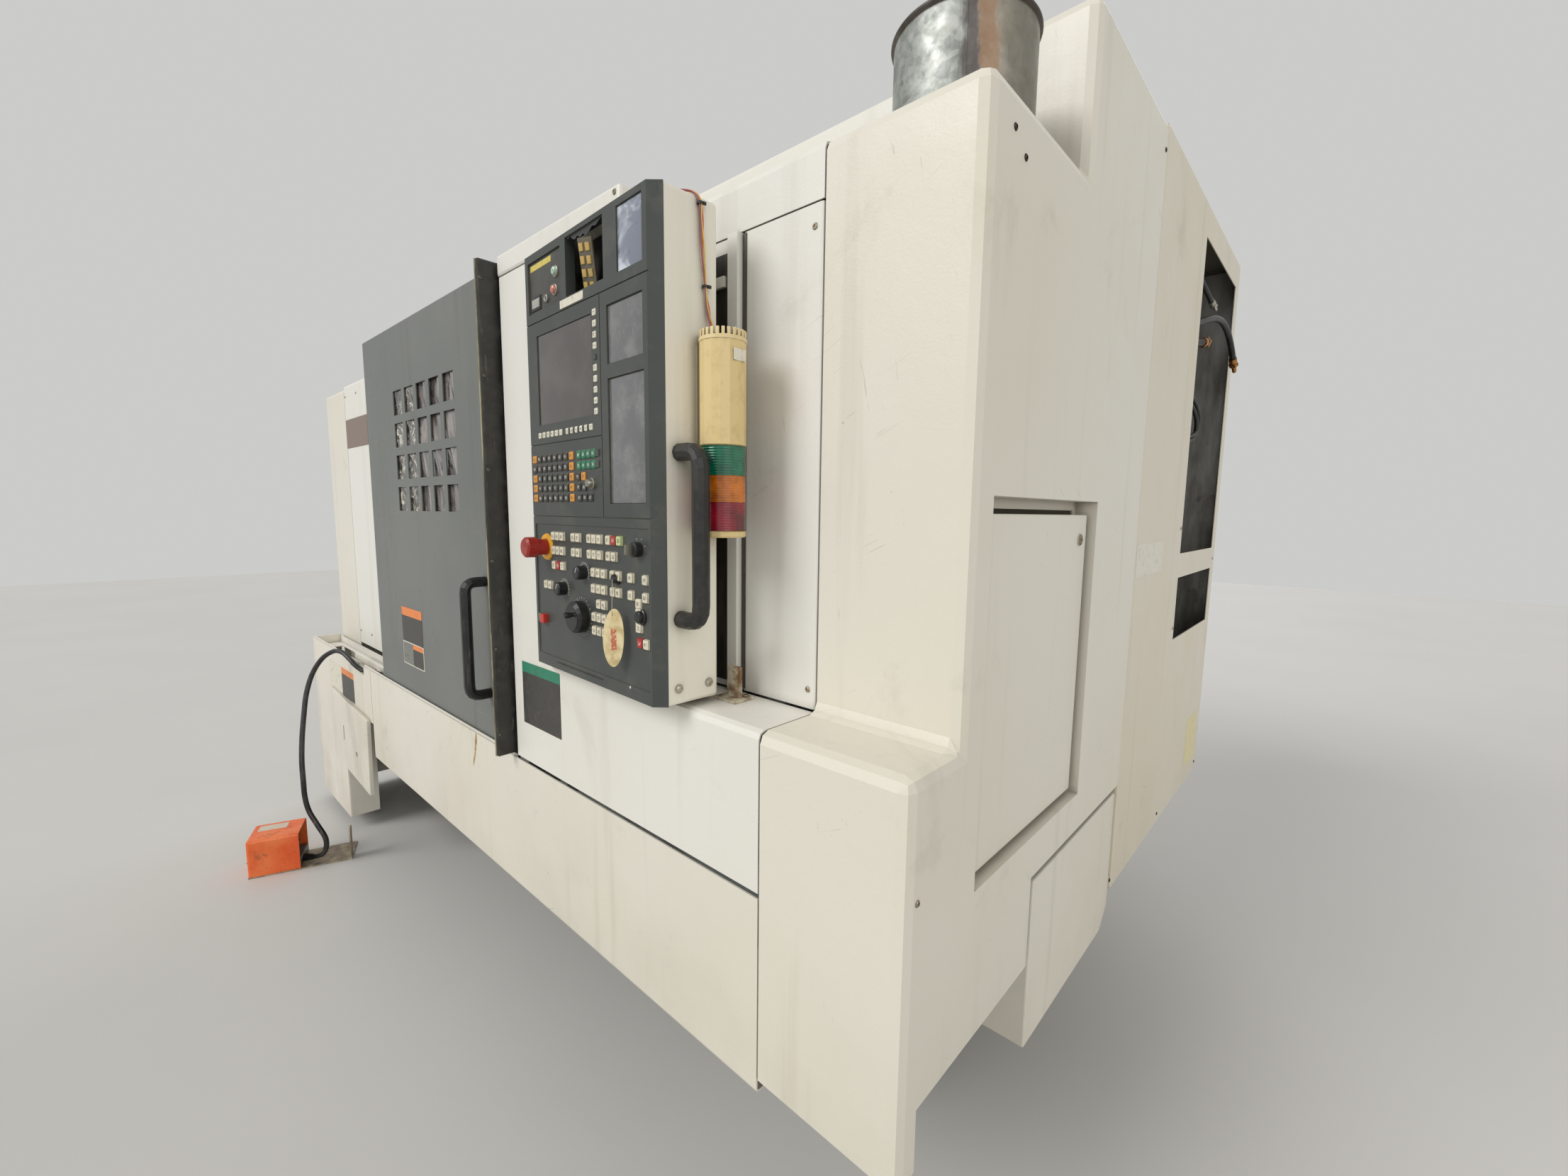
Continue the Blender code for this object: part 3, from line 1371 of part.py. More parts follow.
def make_motor():
    """The spindle motor, on a foot bolted to the back of the bed."""
    back = BED_BACK + FIT + MOTOR_FOOT + MOTOR_RADIUS
    boss = MOTOR_RADIUS / 3
    profile = [
        (0, MOTOR_LEFT - MOTOR_RIGHT),
        (MOTOR_RADIUS, MOTOR_LEFT - MOTOR_RIGHT),
        (MOTOR_RADIUS, 0),
        (boss, 0),
        (boss, -boss),
        (0, -boss),
    ]
    motor = turned("spindle_motor", profile, at(MOTOR_LEFT, back, MOTOR_HEIGHT), "right", CASTING_GREY)
    half = MOTOR_RADIUS * 0.8
    foot = box_helper(
        "motor_foot",
        at(MOTOR_LEFT - FLANGE, BED_BACK + FIT, MOTOR_HEIGHT - half),
        at(MOTOR_RIGHT + FLANGE, BED_BACK + FIT + MOTOR_FOOT + MOTOR_RADIUS / 2, MOTOR_HEIGHT + half),
    )
    return join(motor, foot)


# Operator panel. Places on it are measured across from its left edge and up from its bottom, on a
# panel PANEL_LAYOUT high, and stretch with its height.
PANEL_WIDTH = 0.439
PANEL_DEPTH = 0.117
PANEL_GAP = 0.008
PANEL_BOTTOM = LEDGE_HEIGHT + PANEL_GAP
HEADER_GAP = 0.019
PANEL_HEIGHT = HEADER_BOTTOM - HEADER_GAP - PANEL_BOTTOM
PANEL_LAYOUT = 0.778
PANEL_STRETCH = PANEL_HEIGHT / PANEL_LAYOUT
PANEL_AJAR = math.radians(2.8)
PIVOT_FROM_RIGHT = 0.850
PIVOT_OUT = 0.006
PIVOT_ACROSS = 0.004
PIVOT_IN = 0.026
PIVOT_PIN_RADIUS = 0.004
PIVOT_PIN_CLEARANCE = 0.0006
BEZEL_THICKNESS = 0.018
BEZEL_EDGE = 0.004
RECESS = 0.004
GROOVE = 0.0022
KEY_PROUD = 0.0022
MODULE_TOP_LINE = 0.653
MODULE_LOW_LINE = 0.294
COLUMN_LINE = 0.280
KEYBOARD_LINE = 0.429
HINGE_PLATE = 0.005
STOP_PLACE = (0.058, 0.236)
STOP_HOLE_RADIUS = 0.0156
STOP_HOLE_DEPTH = 0.010
SCREEN_THICKNESS = 0.0015
# Edges of the flat panes: left, bottom, right and top
SCREEN_RECESS = (0.045, 0.466, 0.253, 0.629)
PANES = (
    SCREEN_RECESS,
    (0.016, 0.672, 0.148, 0.764),
    (0.337, 0.672, 0.409, 0.768),
    (0.303, 0.540, 0.408, 0.631),
    (0.303, 0.318, 0.410, 0.518),
)
BROKEN_WINDOW = (0.168, 0.673, 0.296, 0.770)
OPERATION_CORNER = (0.012, 0.022)


def panel_point(across, depth, up):
    """A point on the panel, by its place across, behind the bezel's face and up."""
    return Vector((across - PIVOT_ACROSS, depth - PIVOT_IN, up * PANEL_STRETCH))


def panel_box(low, high):
    return panel_point(*low), panel_point(*high)


def recess_box(left, bottom, right, top, depth):
    """A pocket in the bezel's face."""
    return panel_box((left, -OVERRUN, bottom), (right, depth, top))


def key_box(across, up, width, height, depth, proud=KEY_PROUD):
    """A key whose middle is at this place, from a recess's floor to its own proud face."""
    return panel_box(
        (across - width / 2, -proud, up - height / 2), (across + width / 2, depth, up + height / 2)
    )


def keyboard_keys(floor):
    """The upper keyboard: a letter block, a side column, a menu block and the arrow keys."""
    key, pitch = (0.0115, 0.0115), (0.0215, 0.0185)
    first = (0.0225, 0.403)
    keys = []
    for row in range(5):
        for column in range(8):
            keys.append(
                key_box(first[0] + column * pitch[0], first[1] - row * pitch[1], *key, floor)
            )
    menu_first = (0.2015, 0.403)
    for row in range(2):
        for column in range(4):
            keys.append(
                key_box(menu_first[0] + column * pitch[0], menu_first[1] - row * pitch[1], *key, floor)
            )
    return keys


def operation_keys(floor):
    """The lower operation panel: rows of square keys in small groups."""
    key = (0.0145, 0.0155)
    pitch = 0.0175
    rows = (
        (0.258, ((0.092, 3), (0.172, 2), (0.231, 3), (0.296, 3))),
        (0.231, ((0.092, 3), (0.172, 2), (0.231, 3), (0.296, 2))),
        (0.203, ((0.092, 3),)),
        (0.200, ((0.243, 3), (0.308, 2), (0.364, 1), (0.407, 1))),
        (0.172, ((0.243, 3), (0.308, 2), (0.364, 1), (0.407, 1))),
        (0.146, ((0.260, 2), (0.387, 1))),
        (0.122, ((0.243, 3), (0.387, 1))),
        (0.098, ((0.243, 3), (0.390, 2))),
        (0.163, ((0.055, 2),)),
    )
    keys = []
    for up, groups in rows:
        for start, count in groups:
            for column in range(count):
                keys.append(key_box(start + column * pitch, up, *key, floor))
    return keys


def soft_keys(floor):
    """The screen's soft keys, ten down its right side and twelve along its foot."""
    key = (0.007, 0.0085)
    column_across, column_top, down = 0.2655, 0.628, 0.0175
    row_first, row_up, along = 0.049, 0.4465, 0.0172
    keys = [key_box(column_across, column_top - step * down, *key, floor) for step in range(10)]
    keys += [key_box(row_first + step * along, row_up, *key, floor) for step in range(12)]
    return keys


def make_panel():
    """The swivelling operator panel: a sheet box on two pins, closed by a moulded bezel."""
    pivot = bpy.data.objects.new("panel_pivot", None)
    PARTS.objects.link(pivot)
    pivot.location = at(PIVOT_FROM_RIGHT, -PIVOT_OUT, PANEL_BOTTOM)
    pivot.rotation_euler = (0, 0, -PANEL_AJAR)

    box = shell_box(
        "panel_box",
        panel_point(0, BEZEL_THICKNESS + FIT, 0),
        panel_point(PANEL_WIDTH, PANEL_DEPTH, PANEL_LAYOUT),
        ("front",),
        COVER_WHITE,
        radius=2 * SHEET,
        parent=pivot,
    )
    lower_pin = PANEL_BOTTOM - LEDGE_HEIGHT - SHEET
    for name, centre, length in (
        ("lower_pin", -lower_pin / 2 + SHEET / 4, lower_pin + SHEET / 2),
        ("upper_pin", PANEL_HEIGHT + lower_pin / 2 - SHEET / 4, lower_pin + SHEET / 2),
    ):
        pin = rod_helper(name, Vector((0, 0, centre)), "top", PIVOT_PIN_RADIUS, length, pivot, steps=12)
        join(box, pin)

    bevel = BEZEL_THICKNESS
    outline = [
        (0, BEZEL_EDGE),
        (BEZEL_EDGE, 0),
        (PANEL_WIDTH - bevel, 0),
        (PANEL_WIDTH, bevel),
        (0, bevel),
    ]
    mesh = outline_mesh("panel_bezel", outline, PANEL_HEIGHT)
    bezel = place("panel_bezel", mesh, PANEL_CHARCOAL, parent=pivot)
    bezel.location = panel_point(0, 0, PANEL_LAYOUT / 2)
    face = PANEL_WIDTH - bevel
    pockets = [
        *(recess_box(*edges, RECESS) for edges in PANES),
        recess_box(*OPERATION_CORNER, face - FOLD_RADIUS / 2, COLUMN_LINE, RECESS / 2),
        recess_box(-OVERRUN, MODULE_TOP_LINE, PANEL_WIDTH + OVERRUN, MODULE_TOP_LINE + GROOVE, GROOVE),
        recess_box(-OVERRUN, MODULE_LOW_LINE, PANEL_WIDTH + OVERRUN, MODULE_LOW_LINE + GROOVE, GROOVE),
        recess_box(COLUMN_LINE, MODULE_LOW_LINE, COLUMN_LINE + GROOVE, MODULE_TOP_LINE, GROOVE),
        recess_box(-OVERRUN, KEYBOARD_LINE, COLUMN_LINE, KEYBOARD_LINE + GROOVE, GROOVE),
    ]
    # The broken-out middle window of the top module goes right through.
    pockets.append(recess_box(*BROKEN_WINDOW, BEZEL_THICKNESS + OVERRUN))
    cut(bezel, boxes_helper("bezel_pockets", pockets, pivot), crossing=True)
    stop_hole = rod_helper(
        "stop_hole",
        panel_point(STOP_PLACE[0], STOP_HOLE_DEPTH / 2 - OVERRUN, STOP_PLACE[1]),
        "front",
        STOP_HOLE_RADIUS,
        STOP_HOLE_DEPTH + 2 * OVERRUN,
        pivot,
    )
    cut(bezel, stop_hole)
    join(bezel, boxes_helper("bezel_keys", [*keyboard_keys(RECESS), *soft_keys(RECESS)], pivot))
    join(bezel, boxes_helper("operation_keys", operation_keys(2 * RECESS), pivot))

    left, bottom, right, top = SCREEN_RECESS
    margin = SCREEN_THICKNESS / 3
    screen_low, screen_high = panel_box(
        (left + margin, RECESS - 2 * FIT - SCREEN_THICKNESS, bottom + margin),
        (right - margin, RECESS - FIT, top - margin),
    )
    solid_box("screen_glass", screen_low, screen_high, CLEAR_GREY, parent=pivot)
    make_panel_controls(pivot)
    make_panel_handle(pivot)
    make_signal_tower(pivot, box)


def knob_profile(radius, height, foot=FIT):
    """A knob with a rounded top, turned, from its top down to its foot."""
    edge = radius / 5
    return [(0, height), (radius - edge, height), (radius, height - edge), (radius, foot), (0, foot)]


def make_panel_controls(pivot):
    """The emergency stop, the override knobs, the pulse handwheel and the key switch."""
    seat = RECESS / 2
    ring_radius, ring_height = 0.026, 0.003
    ring = [
        (STOP_HOLE_RADIUS, ring_height),
        (ring_radius - ring_height / 2, ring_height),
        (ring_radius, 0),
        (STOP_HOLE_RADIUS, 0),
    ]
    ring_at = panel_point(STOP_PLACE[0], seat - FIT, STOP_PLACE[1])
    turned("stop_ring", ring, ring_at, "front", RING_YELLOW, parent=pivot, hollow=True)
    stem, head, length, cap = 0.0152, 0.0195, 0.046, 0.022
    stop = [
        (0, length),
        (head * 0.8, length),
        (head, length - head * 0.2),
        (head, length - cap),
        (stem, length - cap),
        (stem, FIT),
        (0, FIT),
    ]
    stop_at = panel_point(STOP_PLACE[0], seat, STOP_PLACE[1])
    turned("emergency_stop", stop, stop_at, "front", STOP_RED, parent=pivot, steps=20)
    for name, across, up, radius, height in (
        ("feed_override_knob", 0.204, 0.197, 0.0125, 0.018),
        ("spindle_override_knob", 0.126, 0.161, 0.0125, 0.018),
        ("pulse_handwheel", 0.192, 0.116, 0.0290, 0.022),
        ("key_switch", 0.386, 0.247, 0.0120, 0.014),
    ):
        place_at = panel_point(across, seat, up)
        turned(name, knob_profile(radius, height), place_at, "front", RUBBER_BLACK, parent=pivot, steps=16)


def make_panel_handle(pivot):
    diameter, standoff = 0.027, 0.053
    depth, bottom, top = 0.042, 0.125, 0.410
    side = PANEL_WIDTH + FIT
    low, high = bottom + diameter / 2, top - diameter / 2
    corners = [
        panel_point(side, depth, low),
        panel_point(side + standoff, depth, low),
        panel_point(side + standoff, depth, high),
        panel_point(side, depth, high),
    ]
    tube("panel_handle", rounded_path(corners, diameter, 4), diameter, TRIM_BLACK, pivot, sides=3)


def make_signal_tower(pivot, box):
    """The stacked signal tower, hung base up from a bracket on the panel's right side."""
    bracket_thickness = 0.0024
    bracket_half, bracket_low, bracket_high = 0.022, 0.400, 0.560
    radius, depth = 0.036, 0.096
    centre = PANEL_WIDTH + bracket_thickness + FIT + radius
    low, high = panel_box(
        (PANEL_WIDTH - SHEET / 2, depth - bracket_half, bracket_low),
        (PANEL_WIDTH + bracket_thickness, depth + bracket_half / 2, bracket_high),
    )
    join(box, box_helper("tower_bracket", low, high, pivot))
    bottom = 0.268
    stack = (
        ("tower_end_cap", 0.011, TOWER_CREAM),
        ("tower_lens_red", 0.043, LENS_RED),
        ("tower_lens_amber", 0.040, LENS_AMBER),
        ("tower_lens_green", 0.044, LENS_GREEN),
        ("tower_body", 0.160, TOWER_CREAM),
    )
    edge = 0.002
    for name, height, colour in stack:
        top = height * PANEL_STRETCH - FIT
        profile = [
            (0, top),
            (radius - edge, top),
            (radius, top - edge),
            (radius, edge),
            (radius - edge, 0),
            (0, 0),
        ]
        turned(name, profile, panel_point(centre, depth, bottom), "top", colour, parent=pivot, steps=16)
        bottom = bottom + height


# Latch bracket on the ledge
BRACKET_FROM_RIGHT = 0.398
BRACKET_BACK = 0.088


def make_ledge_bracket():
    base_half, base_thickness = (0.026, 0.022), 0.004
    upright_half, upright_height, upright_thickness = 0.014, 0.052, 0.006
    floor = LEDGE_HEIGHT + FIT
    base = solid_box(
        "ledge_bracket",
        at(BRACKET_FROM_RIGHT + base_half[0], BRACKET_BACK - base_half[1], floor),
        at(BRACKET_FROM_RIGHT - base_half[0], BRACKET_BACK + base_half[1], floor + base_thickness),
        STEEL,
        metallic=0.8,
    )
    upright = box_helper(
        "bracket_upright",
        at(BRACKET_FROM_RIGHT + upright_half, BRACKET_BACK, floor + base_thickness / 2),
        at(
            BRACKET_FROM_RIGHT - upright_half,
            BRACKET_BACK + upright_thickness,
            floor + base_thickness + upright_height,
        ),
    )
    return join(base, upright)


# Foot switch. Its own frame has its front right corner at the origin.
PEDAL_FROM_RIGHT = 2.442
PEDAL_TURN = math.radians(20.4)
GUARD_WIDTH = 0.141
GUARD_LENGTH = 0.152
GUARD_HEIGHT = 0.138
BASE_LENGTH = 0.308
BASE_THICKNESS = 0.004
GUARD_WALL = 0.004
TREADLE_ANGLE = math.radians(14)
CABLE_DIAMETER = 0.017
GLAND_LENGTH = 0.036
GLAND_WALL = 0.0027
NOTCH_LEFT = 2.326
NOTCH_RIGHT = 2.270
NOTCH_BOTTOM = 0.7100


def make_foot_switch():
    """A guarded pedal on a steel base plate with an upright carrying bracket."""
    spot = bpy.data.objects.new("foot_switch_spot", None)
    PARTS.objects.link(spot)
    spot.location = at(PEDAL_FROM_RIGHT, -PEDAL_REACH, 0)
    spot.rotation_euler = (0, 0, -PEDAL_TURN)

    base = solid_box(
        "foot_switch_base",
        Vector((-GUARD_WIDTH, 0, 0)),
        Vector((0, BASE_LENGTH, BASE_THICKNESS)),
        STEEL,
        metallic=0.8,
        parent=spot,
    )
    bracket_width, bracket_height = 0.036, 0.120
    upright = box_helper(
        "carrying_bracket",
        Vector((-bracket_width, BASE_LENGTH - BASE_THICKNESS, 0)),
        Vector((0, BASE_LENGTH, bracket_height)),
        spot,
    )
    join(base, upright)

    floor = BASE_THICKNESS + FIT
    guard = shell_box(
        "foot_switch_guard",
        Vector((-GUARD_WIDTH, 0, floor)),
        Vector((0, GUARD_LENGTH, GUARD_HEIGHT)),
        ("rear", "bottom"),
        PEDAL_ORANGE,
        radius=2 * GUARD_WALL,
        wall=GUARD_WALL,
        parent=spot,
    )
    body_height, body_front = 0.030, 0.020
    side_gap = GUARD_WALL + 4 * FIT
    body = solid_box(
        "foot_switch_body",
        Vector((-GUARD_WIDTH + side_gap, body_front, floor)),
        Vector((-side_gap, GUARD_LENGTH, floor + body_height)),
        CASTING_GREY,
        radius=GUARD_WALL / 2,
        parent=spot,
    )
    hinge_up = floor + body_height + 2 * FIT
    treadle_thickness = 0.007
    treadle = solid_box(
        "foot_treadle",
        Vector((-GUARD_WIDTH + 4 * side_gap, 0, 0)),
        Vector((-4 * side_gap, GUARD_LENGTH - 2 * body_front, treadle_thickness)),
        TRIM_BLACK,
        radius=GUARD_WALL / 4,
        parent=spot,
    )
    treadle.location = Vector((0, body_front + GUARD_WALL, hinge_up))
    treadle.rotation_euler = (TREADLE_ANGLE, 0, 0)
    return guard, body


def make_foot_cable():
    """The free cable from the gutter's gland, over the lip and down to the foot switch."""
    route = [at(from_right, back, height) for from_right, back, height in CABLE_ROUTE]
    points = smooth_route(route, 2.5 * CABLE_DIAMETER)
    tube("foot_switch_cable", points, CABLE_DIAMETER, RUBBER_BLACK, sides=2)


# The cable's route, as distances left of the right end, behind the front and above the floor.
CABLE_ROUTE = [
    (2.2300, 0.0300, 0.7180),
    (2.2520, 0.0285, 0.7180),
    (2.2760, 0.0185, 0.7195),
    (2.2980, 0.0022, 0.7238),
    (2.3220, -0.0115, 0.7390),
    (2.3530, -0.0230, 0.7620),
    (2.3960, -0.0340, 0.7800),
    (2.4420, -0.0510, 0.7790),
    (2.4820, -0.0800, 0.7490),
    (2.5080, -0.1090, 0.6900),
    (2.5000, -0.1330, 0.6200),
    (2.4720, -0.1500, 0.5500),
    (2.4400, -0.1660, 0.4750),
    (2.4120, -0.1770, 0.4000),
    (2.3980, -0.1800, 0.3250),
    (2.4050, -0.1780, 0.2600),
    (2.4000, -0.1700, 0.2050),
    (2.3740, -0.1530, 0.1550),
    (2.3570, -0.1360, 0.1070),
    (2.3610, -0.1340, 0.0680),
    (2.3790, -0.1420, 0.0370),
    (2.4090, -0.1580, 0.0212),
    (2.4340, -0.1805, 0.0190),
    (2.4378, -0.1889, 0.0190),
]

make_right_end_cover()
make_service_door()
make_side_flap()
make_duct()
make_front_covers()
make_left_front_cover()
make_access_plate()
make_gutter()
make_upper_covers()
make_rear()
make_door()
make_bed_and_chamber()
make_headstock()
make_chuck()
make_carriage()
make_tailstock()
make_motor()
make_panel()
make_ledge_bracket()
make_enclosure_frame()
make_foot_switch()
make_foot_cable()
for part in PARTS.objects:
    if part.type == "MESH":
        part.data.shade_smooth()
        part.data.set_sharp_from_angle(angle=math.radians(35))
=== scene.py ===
import math

import bmesh
import bpy
from mathutils import Matrix, Vector, noise


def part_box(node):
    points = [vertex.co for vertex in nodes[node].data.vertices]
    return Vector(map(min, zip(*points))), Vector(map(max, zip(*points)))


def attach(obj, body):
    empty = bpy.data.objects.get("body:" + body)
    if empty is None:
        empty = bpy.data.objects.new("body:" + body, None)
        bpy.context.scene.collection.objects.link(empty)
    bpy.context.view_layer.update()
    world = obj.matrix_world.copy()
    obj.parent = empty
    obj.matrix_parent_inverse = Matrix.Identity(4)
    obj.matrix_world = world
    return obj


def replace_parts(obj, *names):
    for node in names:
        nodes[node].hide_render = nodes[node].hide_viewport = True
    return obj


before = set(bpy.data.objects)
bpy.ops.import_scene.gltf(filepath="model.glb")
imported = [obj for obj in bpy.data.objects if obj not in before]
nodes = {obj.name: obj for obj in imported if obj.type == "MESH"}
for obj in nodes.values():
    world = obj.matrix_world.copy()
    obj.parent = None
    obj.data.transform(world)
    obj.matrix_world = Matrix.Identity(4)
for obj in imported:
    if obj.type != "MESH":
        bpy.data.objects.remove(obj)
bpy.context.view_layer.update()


def in_scene(name, data):
    """An object with this data, linked to the scene."""
    made = bpy.data.objects.new(name, data)
    bpy.context.scene.collection.objects.link(made)
    return made
# ---------------------------------------------------------------------------------------------
# Camera. It stands off the machine's right front corner at eye height and looks along the
# operator's side, with a short lens, as a dealer's snapshot does.
SENSOR_WIDTH, PHOTO_WIDTH, FOCAL_PIXELS = 36, 2212, 890.4576852
yaw, pitch, roll = math.radians(42.38577552), math.radians(-6.86147704), math.radians(0.6628256)
forward = Vector((-math.sin(yaw) * math.cos(pitch), math.cos(yaw) * math.cos(pitch), math.sin(pitch)))
level = Vector((math.cos(yaw), math.sin(yaw), 0))
upright = level.cross(forward)
across = level * math.cos(roll) + upright * math.sin(roll)
upward = upright * math.cos(roll) - level * math.sin(roll)
lens = bpy.data.cameras.new("snapshot_camera")
lens.sensor_width = SENSOR_WIDTH
lens.lens = SENSOR_WIDTH * FOCAL_PIXELS / PHOTO_WIDTH
lens.clip_start, lens.clip_end = 0.05, 60
camera = in_scene("snapshot_camera", lens)
camera.matrix_world = (
    Matrix.Translation((1.887, -1.421, 1.317))
    @ Matrix((across, upward, -forward)).transposed().to_4x4()
)
bpy.context.scene.camera = camera


# ---------------------------------------------------------------------------------------------
# Foot switch cable. A 17 mm black rubber-sheathed control cable. It leaves a tapered gland in the
# door's gutter, passes under the door through a notch in the lip, and hangs down to the pedal.
RIGHT_END, FRONT_FACE = 1.520, -0.794


def machine_point(from_right, back, height):
    """A place by its distance left of the right end, behind the front covers and above the floor."""
    return Vector((RIGHT_END - from_right, back + FRONT_FACE, height))


def smooth_line(points, spacing):
    """Points at an even spacing on a smooth curve through the given ones."""
    points = [Vector(point) for point in points]
    ends = [points[0] * 2 - points[1], *points, points[-1] * 2 - points[-2]]
    line = []
    for before, start, end, after in zip(ends, ends[1:], ends[2:], ends[3:]):
        steps = max(2, round((end - start).length / spacing))
        for step in range(steps):
            t = step / steps
            bend = (2 * before - 5 * start + 4 * end - after) * t**2
            twist = (3 * start - before - 3 * end + after) * t**3
            line.append((2 * start + (end - before) * t + bend + twist) / 2)
    return [*line, points[-1]]


def length_of(line):
    return sum((b - a).length for a, b in zip(line, line[1:]))


def srgb(red, green, blue):
    """A colour as a paint chart gives it, 0 to 255, in the shader's linear values."""
    return tuple(
        c / 12.92 if c <= 0.04045 else ((c + 0.055) / 1.055) ** 2.4
        for c in (red / 255, green / 255, blue / 255)
    ) + (1.0,)


class Finish:
    """A surface finish, made one shading step at a time. `place` is the point on the piece."""

    def __init__(self, name, roughness=0.5, **shader_values):
        self.material = bpy.data.materials.new(name)
        self.material.use_nodes = True
        self.tree = self.material.node_tree
        self.shader = self.tree.nodes["Principled BSDF"]
        self.place = self.tree.nodes.new("ShaderNodeTexCoord").outputs["Object"]
        self.bumped = None
        self.set("Roughness", roughness)
        for socket, value in shader_values.items():
            self.set(socket.replace("_", " "), value)

    def node(self, kind, inputs, out=0, **settings):
        made = self.tree.nodes.new("ShaderNode" + kind)
        for key, value in settings.items():
            setattr(made, key, value)
        for socket, value in inputs.items():
            self.join(made.inputs[socket], value)
        return made.outputs[out]

    def join(self, socket, value):
        if isinstance(value, bpy.types.NodeSocket):
            self.tree.links.new(value, socket)
        else:
            socket.default_value = value

    def set(self, socket, value):
        self.join(self.shader.inputs[socket], value)

    def stretch(self, x, y, z, turn=(0, 0, 0)):
        """The place with its axes turned, then scaled."""
        turned = self.place
        if any(turn):
            turned = self.node("Mapping", {"Vector": turned, "Rotation": turn})
        return self.node("Mapping", {"Vector": turned, "Scale": (x, y, z)})

    def cloud(self, scale, detail=3.0, grain=0.55, warp=0.0, turn=(0, 0, 0)):
        """Noise of this scale; three scales draw it out along the axes, which may be turned."""
        at = self.place
        if isinstance(scale, tuple):
            at, scale = self.stretch(*scale, turn), 1
        inputs = {"Vector": at, "Scale": scale, "Detail": detail, "Roughness": grain, "Distortion": warp}
        return self.node("TexNoise", inputs)

    def cells(self, scale, out="Distance"):
        return self.node("TexVoronoi", {"Vector": self.place, "Scale": scale}, out)

    def band(self, value, low, high, start=0.0, end=1.0):
        """Rises smoothly from start to end as the value goes from low to high."""
        inputs = {"Value": value, 1: low, 2: high, 3: start, 4: end}
        return self.node("MapRange", inputs, interpolation_type="SMOOTHSTEP")

    def spots(self, low, high, *scale_and_grain, **more):
        """Patches of noise with soft edges: 0 below low and 1 above high."""
        return self.band(self.cloud(*scale_and_grain, **more), low, high)

    def maths(self, operation, one, two=0.5):
        return self.node("Math", {0: one, 1: two}, operation=operation, use_clamp=True)

    def times(self, *values):
        product = values[0]
        for value in values[1:]:
            product = self.maths("MULTIPLY", product, value)
        return product

    def along(self, axis, at=None):
        return self.node("SeparateXYZ", {0: at or self.place}, axis)

    def blend(self, share, one, two):
        """Mixes two colours, each an earlier mix or a paint chart's red, green and blue."""
        one, two = (srgb(*colour) if isinstance(colour, tuple) else colour for colour in (one, two))
        return self.node("Mix", {0: share, 6: one, 7: two}, 2, data_type="RGBA")

    def rough(self, share, start, end):
        self.set("Roughness", self.band(share, 0, 1, start, end))

    def relief(self, height, depth, strength=1.0):
        """Adds bumps of this depth in metres to the surface, over those it has."""
        inputs = {"Height": height, "Distance": depth, "Strength": strength}
        if self.bumped is not None:
            inputs["Normal"] = self.bumped
        self.bumped = self.node("Bump", inputs)
        self.set("Normal", self.bumped)

    def crevice(self, reach):
        """1 in tight corners and seams, 0 on open faces; read from ambient occlusion, so it marks where shade falls."""
        open_share = self.node("AmbientOcclusion", {"Distance": reach}, "AO", samples=4)
        return self.band(open_share, 0.45, 0.9, 1.0, 0.0)


def rubber(name, black, dust):
    """Black rubber or PVC with a grey bloom of dust and fine scuffs."""
    made = Finish(name, roughness=0.5)
    bloom = made.spots(0.42, 0.72, 26, 5, 0.6)
    scuff = made.spots(0.60, 0.72, (60, 60, 14), 4, 0.6)
    tone = made.blend(made.times(bloom, dust), black, (88, 84, 76))
    made.set("Base Color", made.blend(made.times(scuff, dust), tone, (120, 116, 106)))
    made.rough(bloom, 0.38, 0.62)
    made.relief(made.cloud(420, 2), 0.0002)
    return made


cable_route = [
    machine_point(*spot)
    for spot in (
        (2.2300, 0.0300, 0.7180), (2.2520, 0.0285, 0.7180), (2.2760, 0.0185, 0.7195),
        (2.2980, 0.0022, 0.7238), (2.3220, -0.0115, 0.7390), (2.3530, -0.0230, 0.7620),
        (2.3960, -0.0340, 0.7800), (2.4420, -0.0510, 0.7790), (2.4820, -0.0800, 0.7490),
        (2.5080, -0.1090, 0.6900), (2.5000, -0.1330, 0.6200), (2.4720, -0.1500, 0.5500),
        (2.4400, -0.1660, 0.4750), (2.4120, -0.1770, 0.4000), (2.3980, -0.1800, 0.3250),
        (2.4050, -0.1780, 0.2600), (2.4000, -0.1700, 0.2050), (2.3740, -0.1530, 0.1550),
        (2.3570, -0.1360, 0.1070), (2.3610, -0.1340, 0.0680), (2.3790, -0.1420, 0.0370),
        (2.4090, -0.1580, 0.0212), (2.4340, -0.1805, 0.0190), (2.4378, -0.1889, 0.0190),
    )
]
cable_line = smooth_line(cable_route, 0.010)
cable_curve = bpy.data.curves.new("pedal_cable", "CURVE")
cable_curve.dimensions = "3D"
cable_curve.bevel_depth = 0.0085
cable_curve.bevel_resolution = 5
cable_curve.use_fill_caps = True
cable_spline = cable_curve.splines.new("POLY")
cable_spline.points.add(len(cable_line) - 1)
for point, spot in zip(cable_spline.points, cable_line):
    point.co = (*spot, 1)
cable_curve.materials.append(rubber("cable_sheath", (26, 26, 28), 0.4).material)
cable = in_scene("pedal_cable", cable_curve)
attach(cable, "machine")
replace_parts(cable, "foot_switch_cable")


def skin(name, shape, finish, body, sharp=35):
    """Turns built faces into a piece at the origin that rides on a body."""
    mesh = bpy.data.meshes.new(name)
    bmesh.ops.recalc_face_normals(shape, faces=shape.faces)
    shape.to_mesh(mesh)
    shape.free()
    mesh.shade_smooth()
    mesh.set_sharp_from_angle(angle=math.radians(sharp))
    mesh.materials.append(finish.material)
    piece = in_scene(name, mesh)
    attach(piece, body)
    return piece


def around(count):
    """Points at an even spacing on a circle of radius 1."""
    return [(math.cos(math.tau * k / count), math.sin(math.tau * k / count)) for k in range(count)]


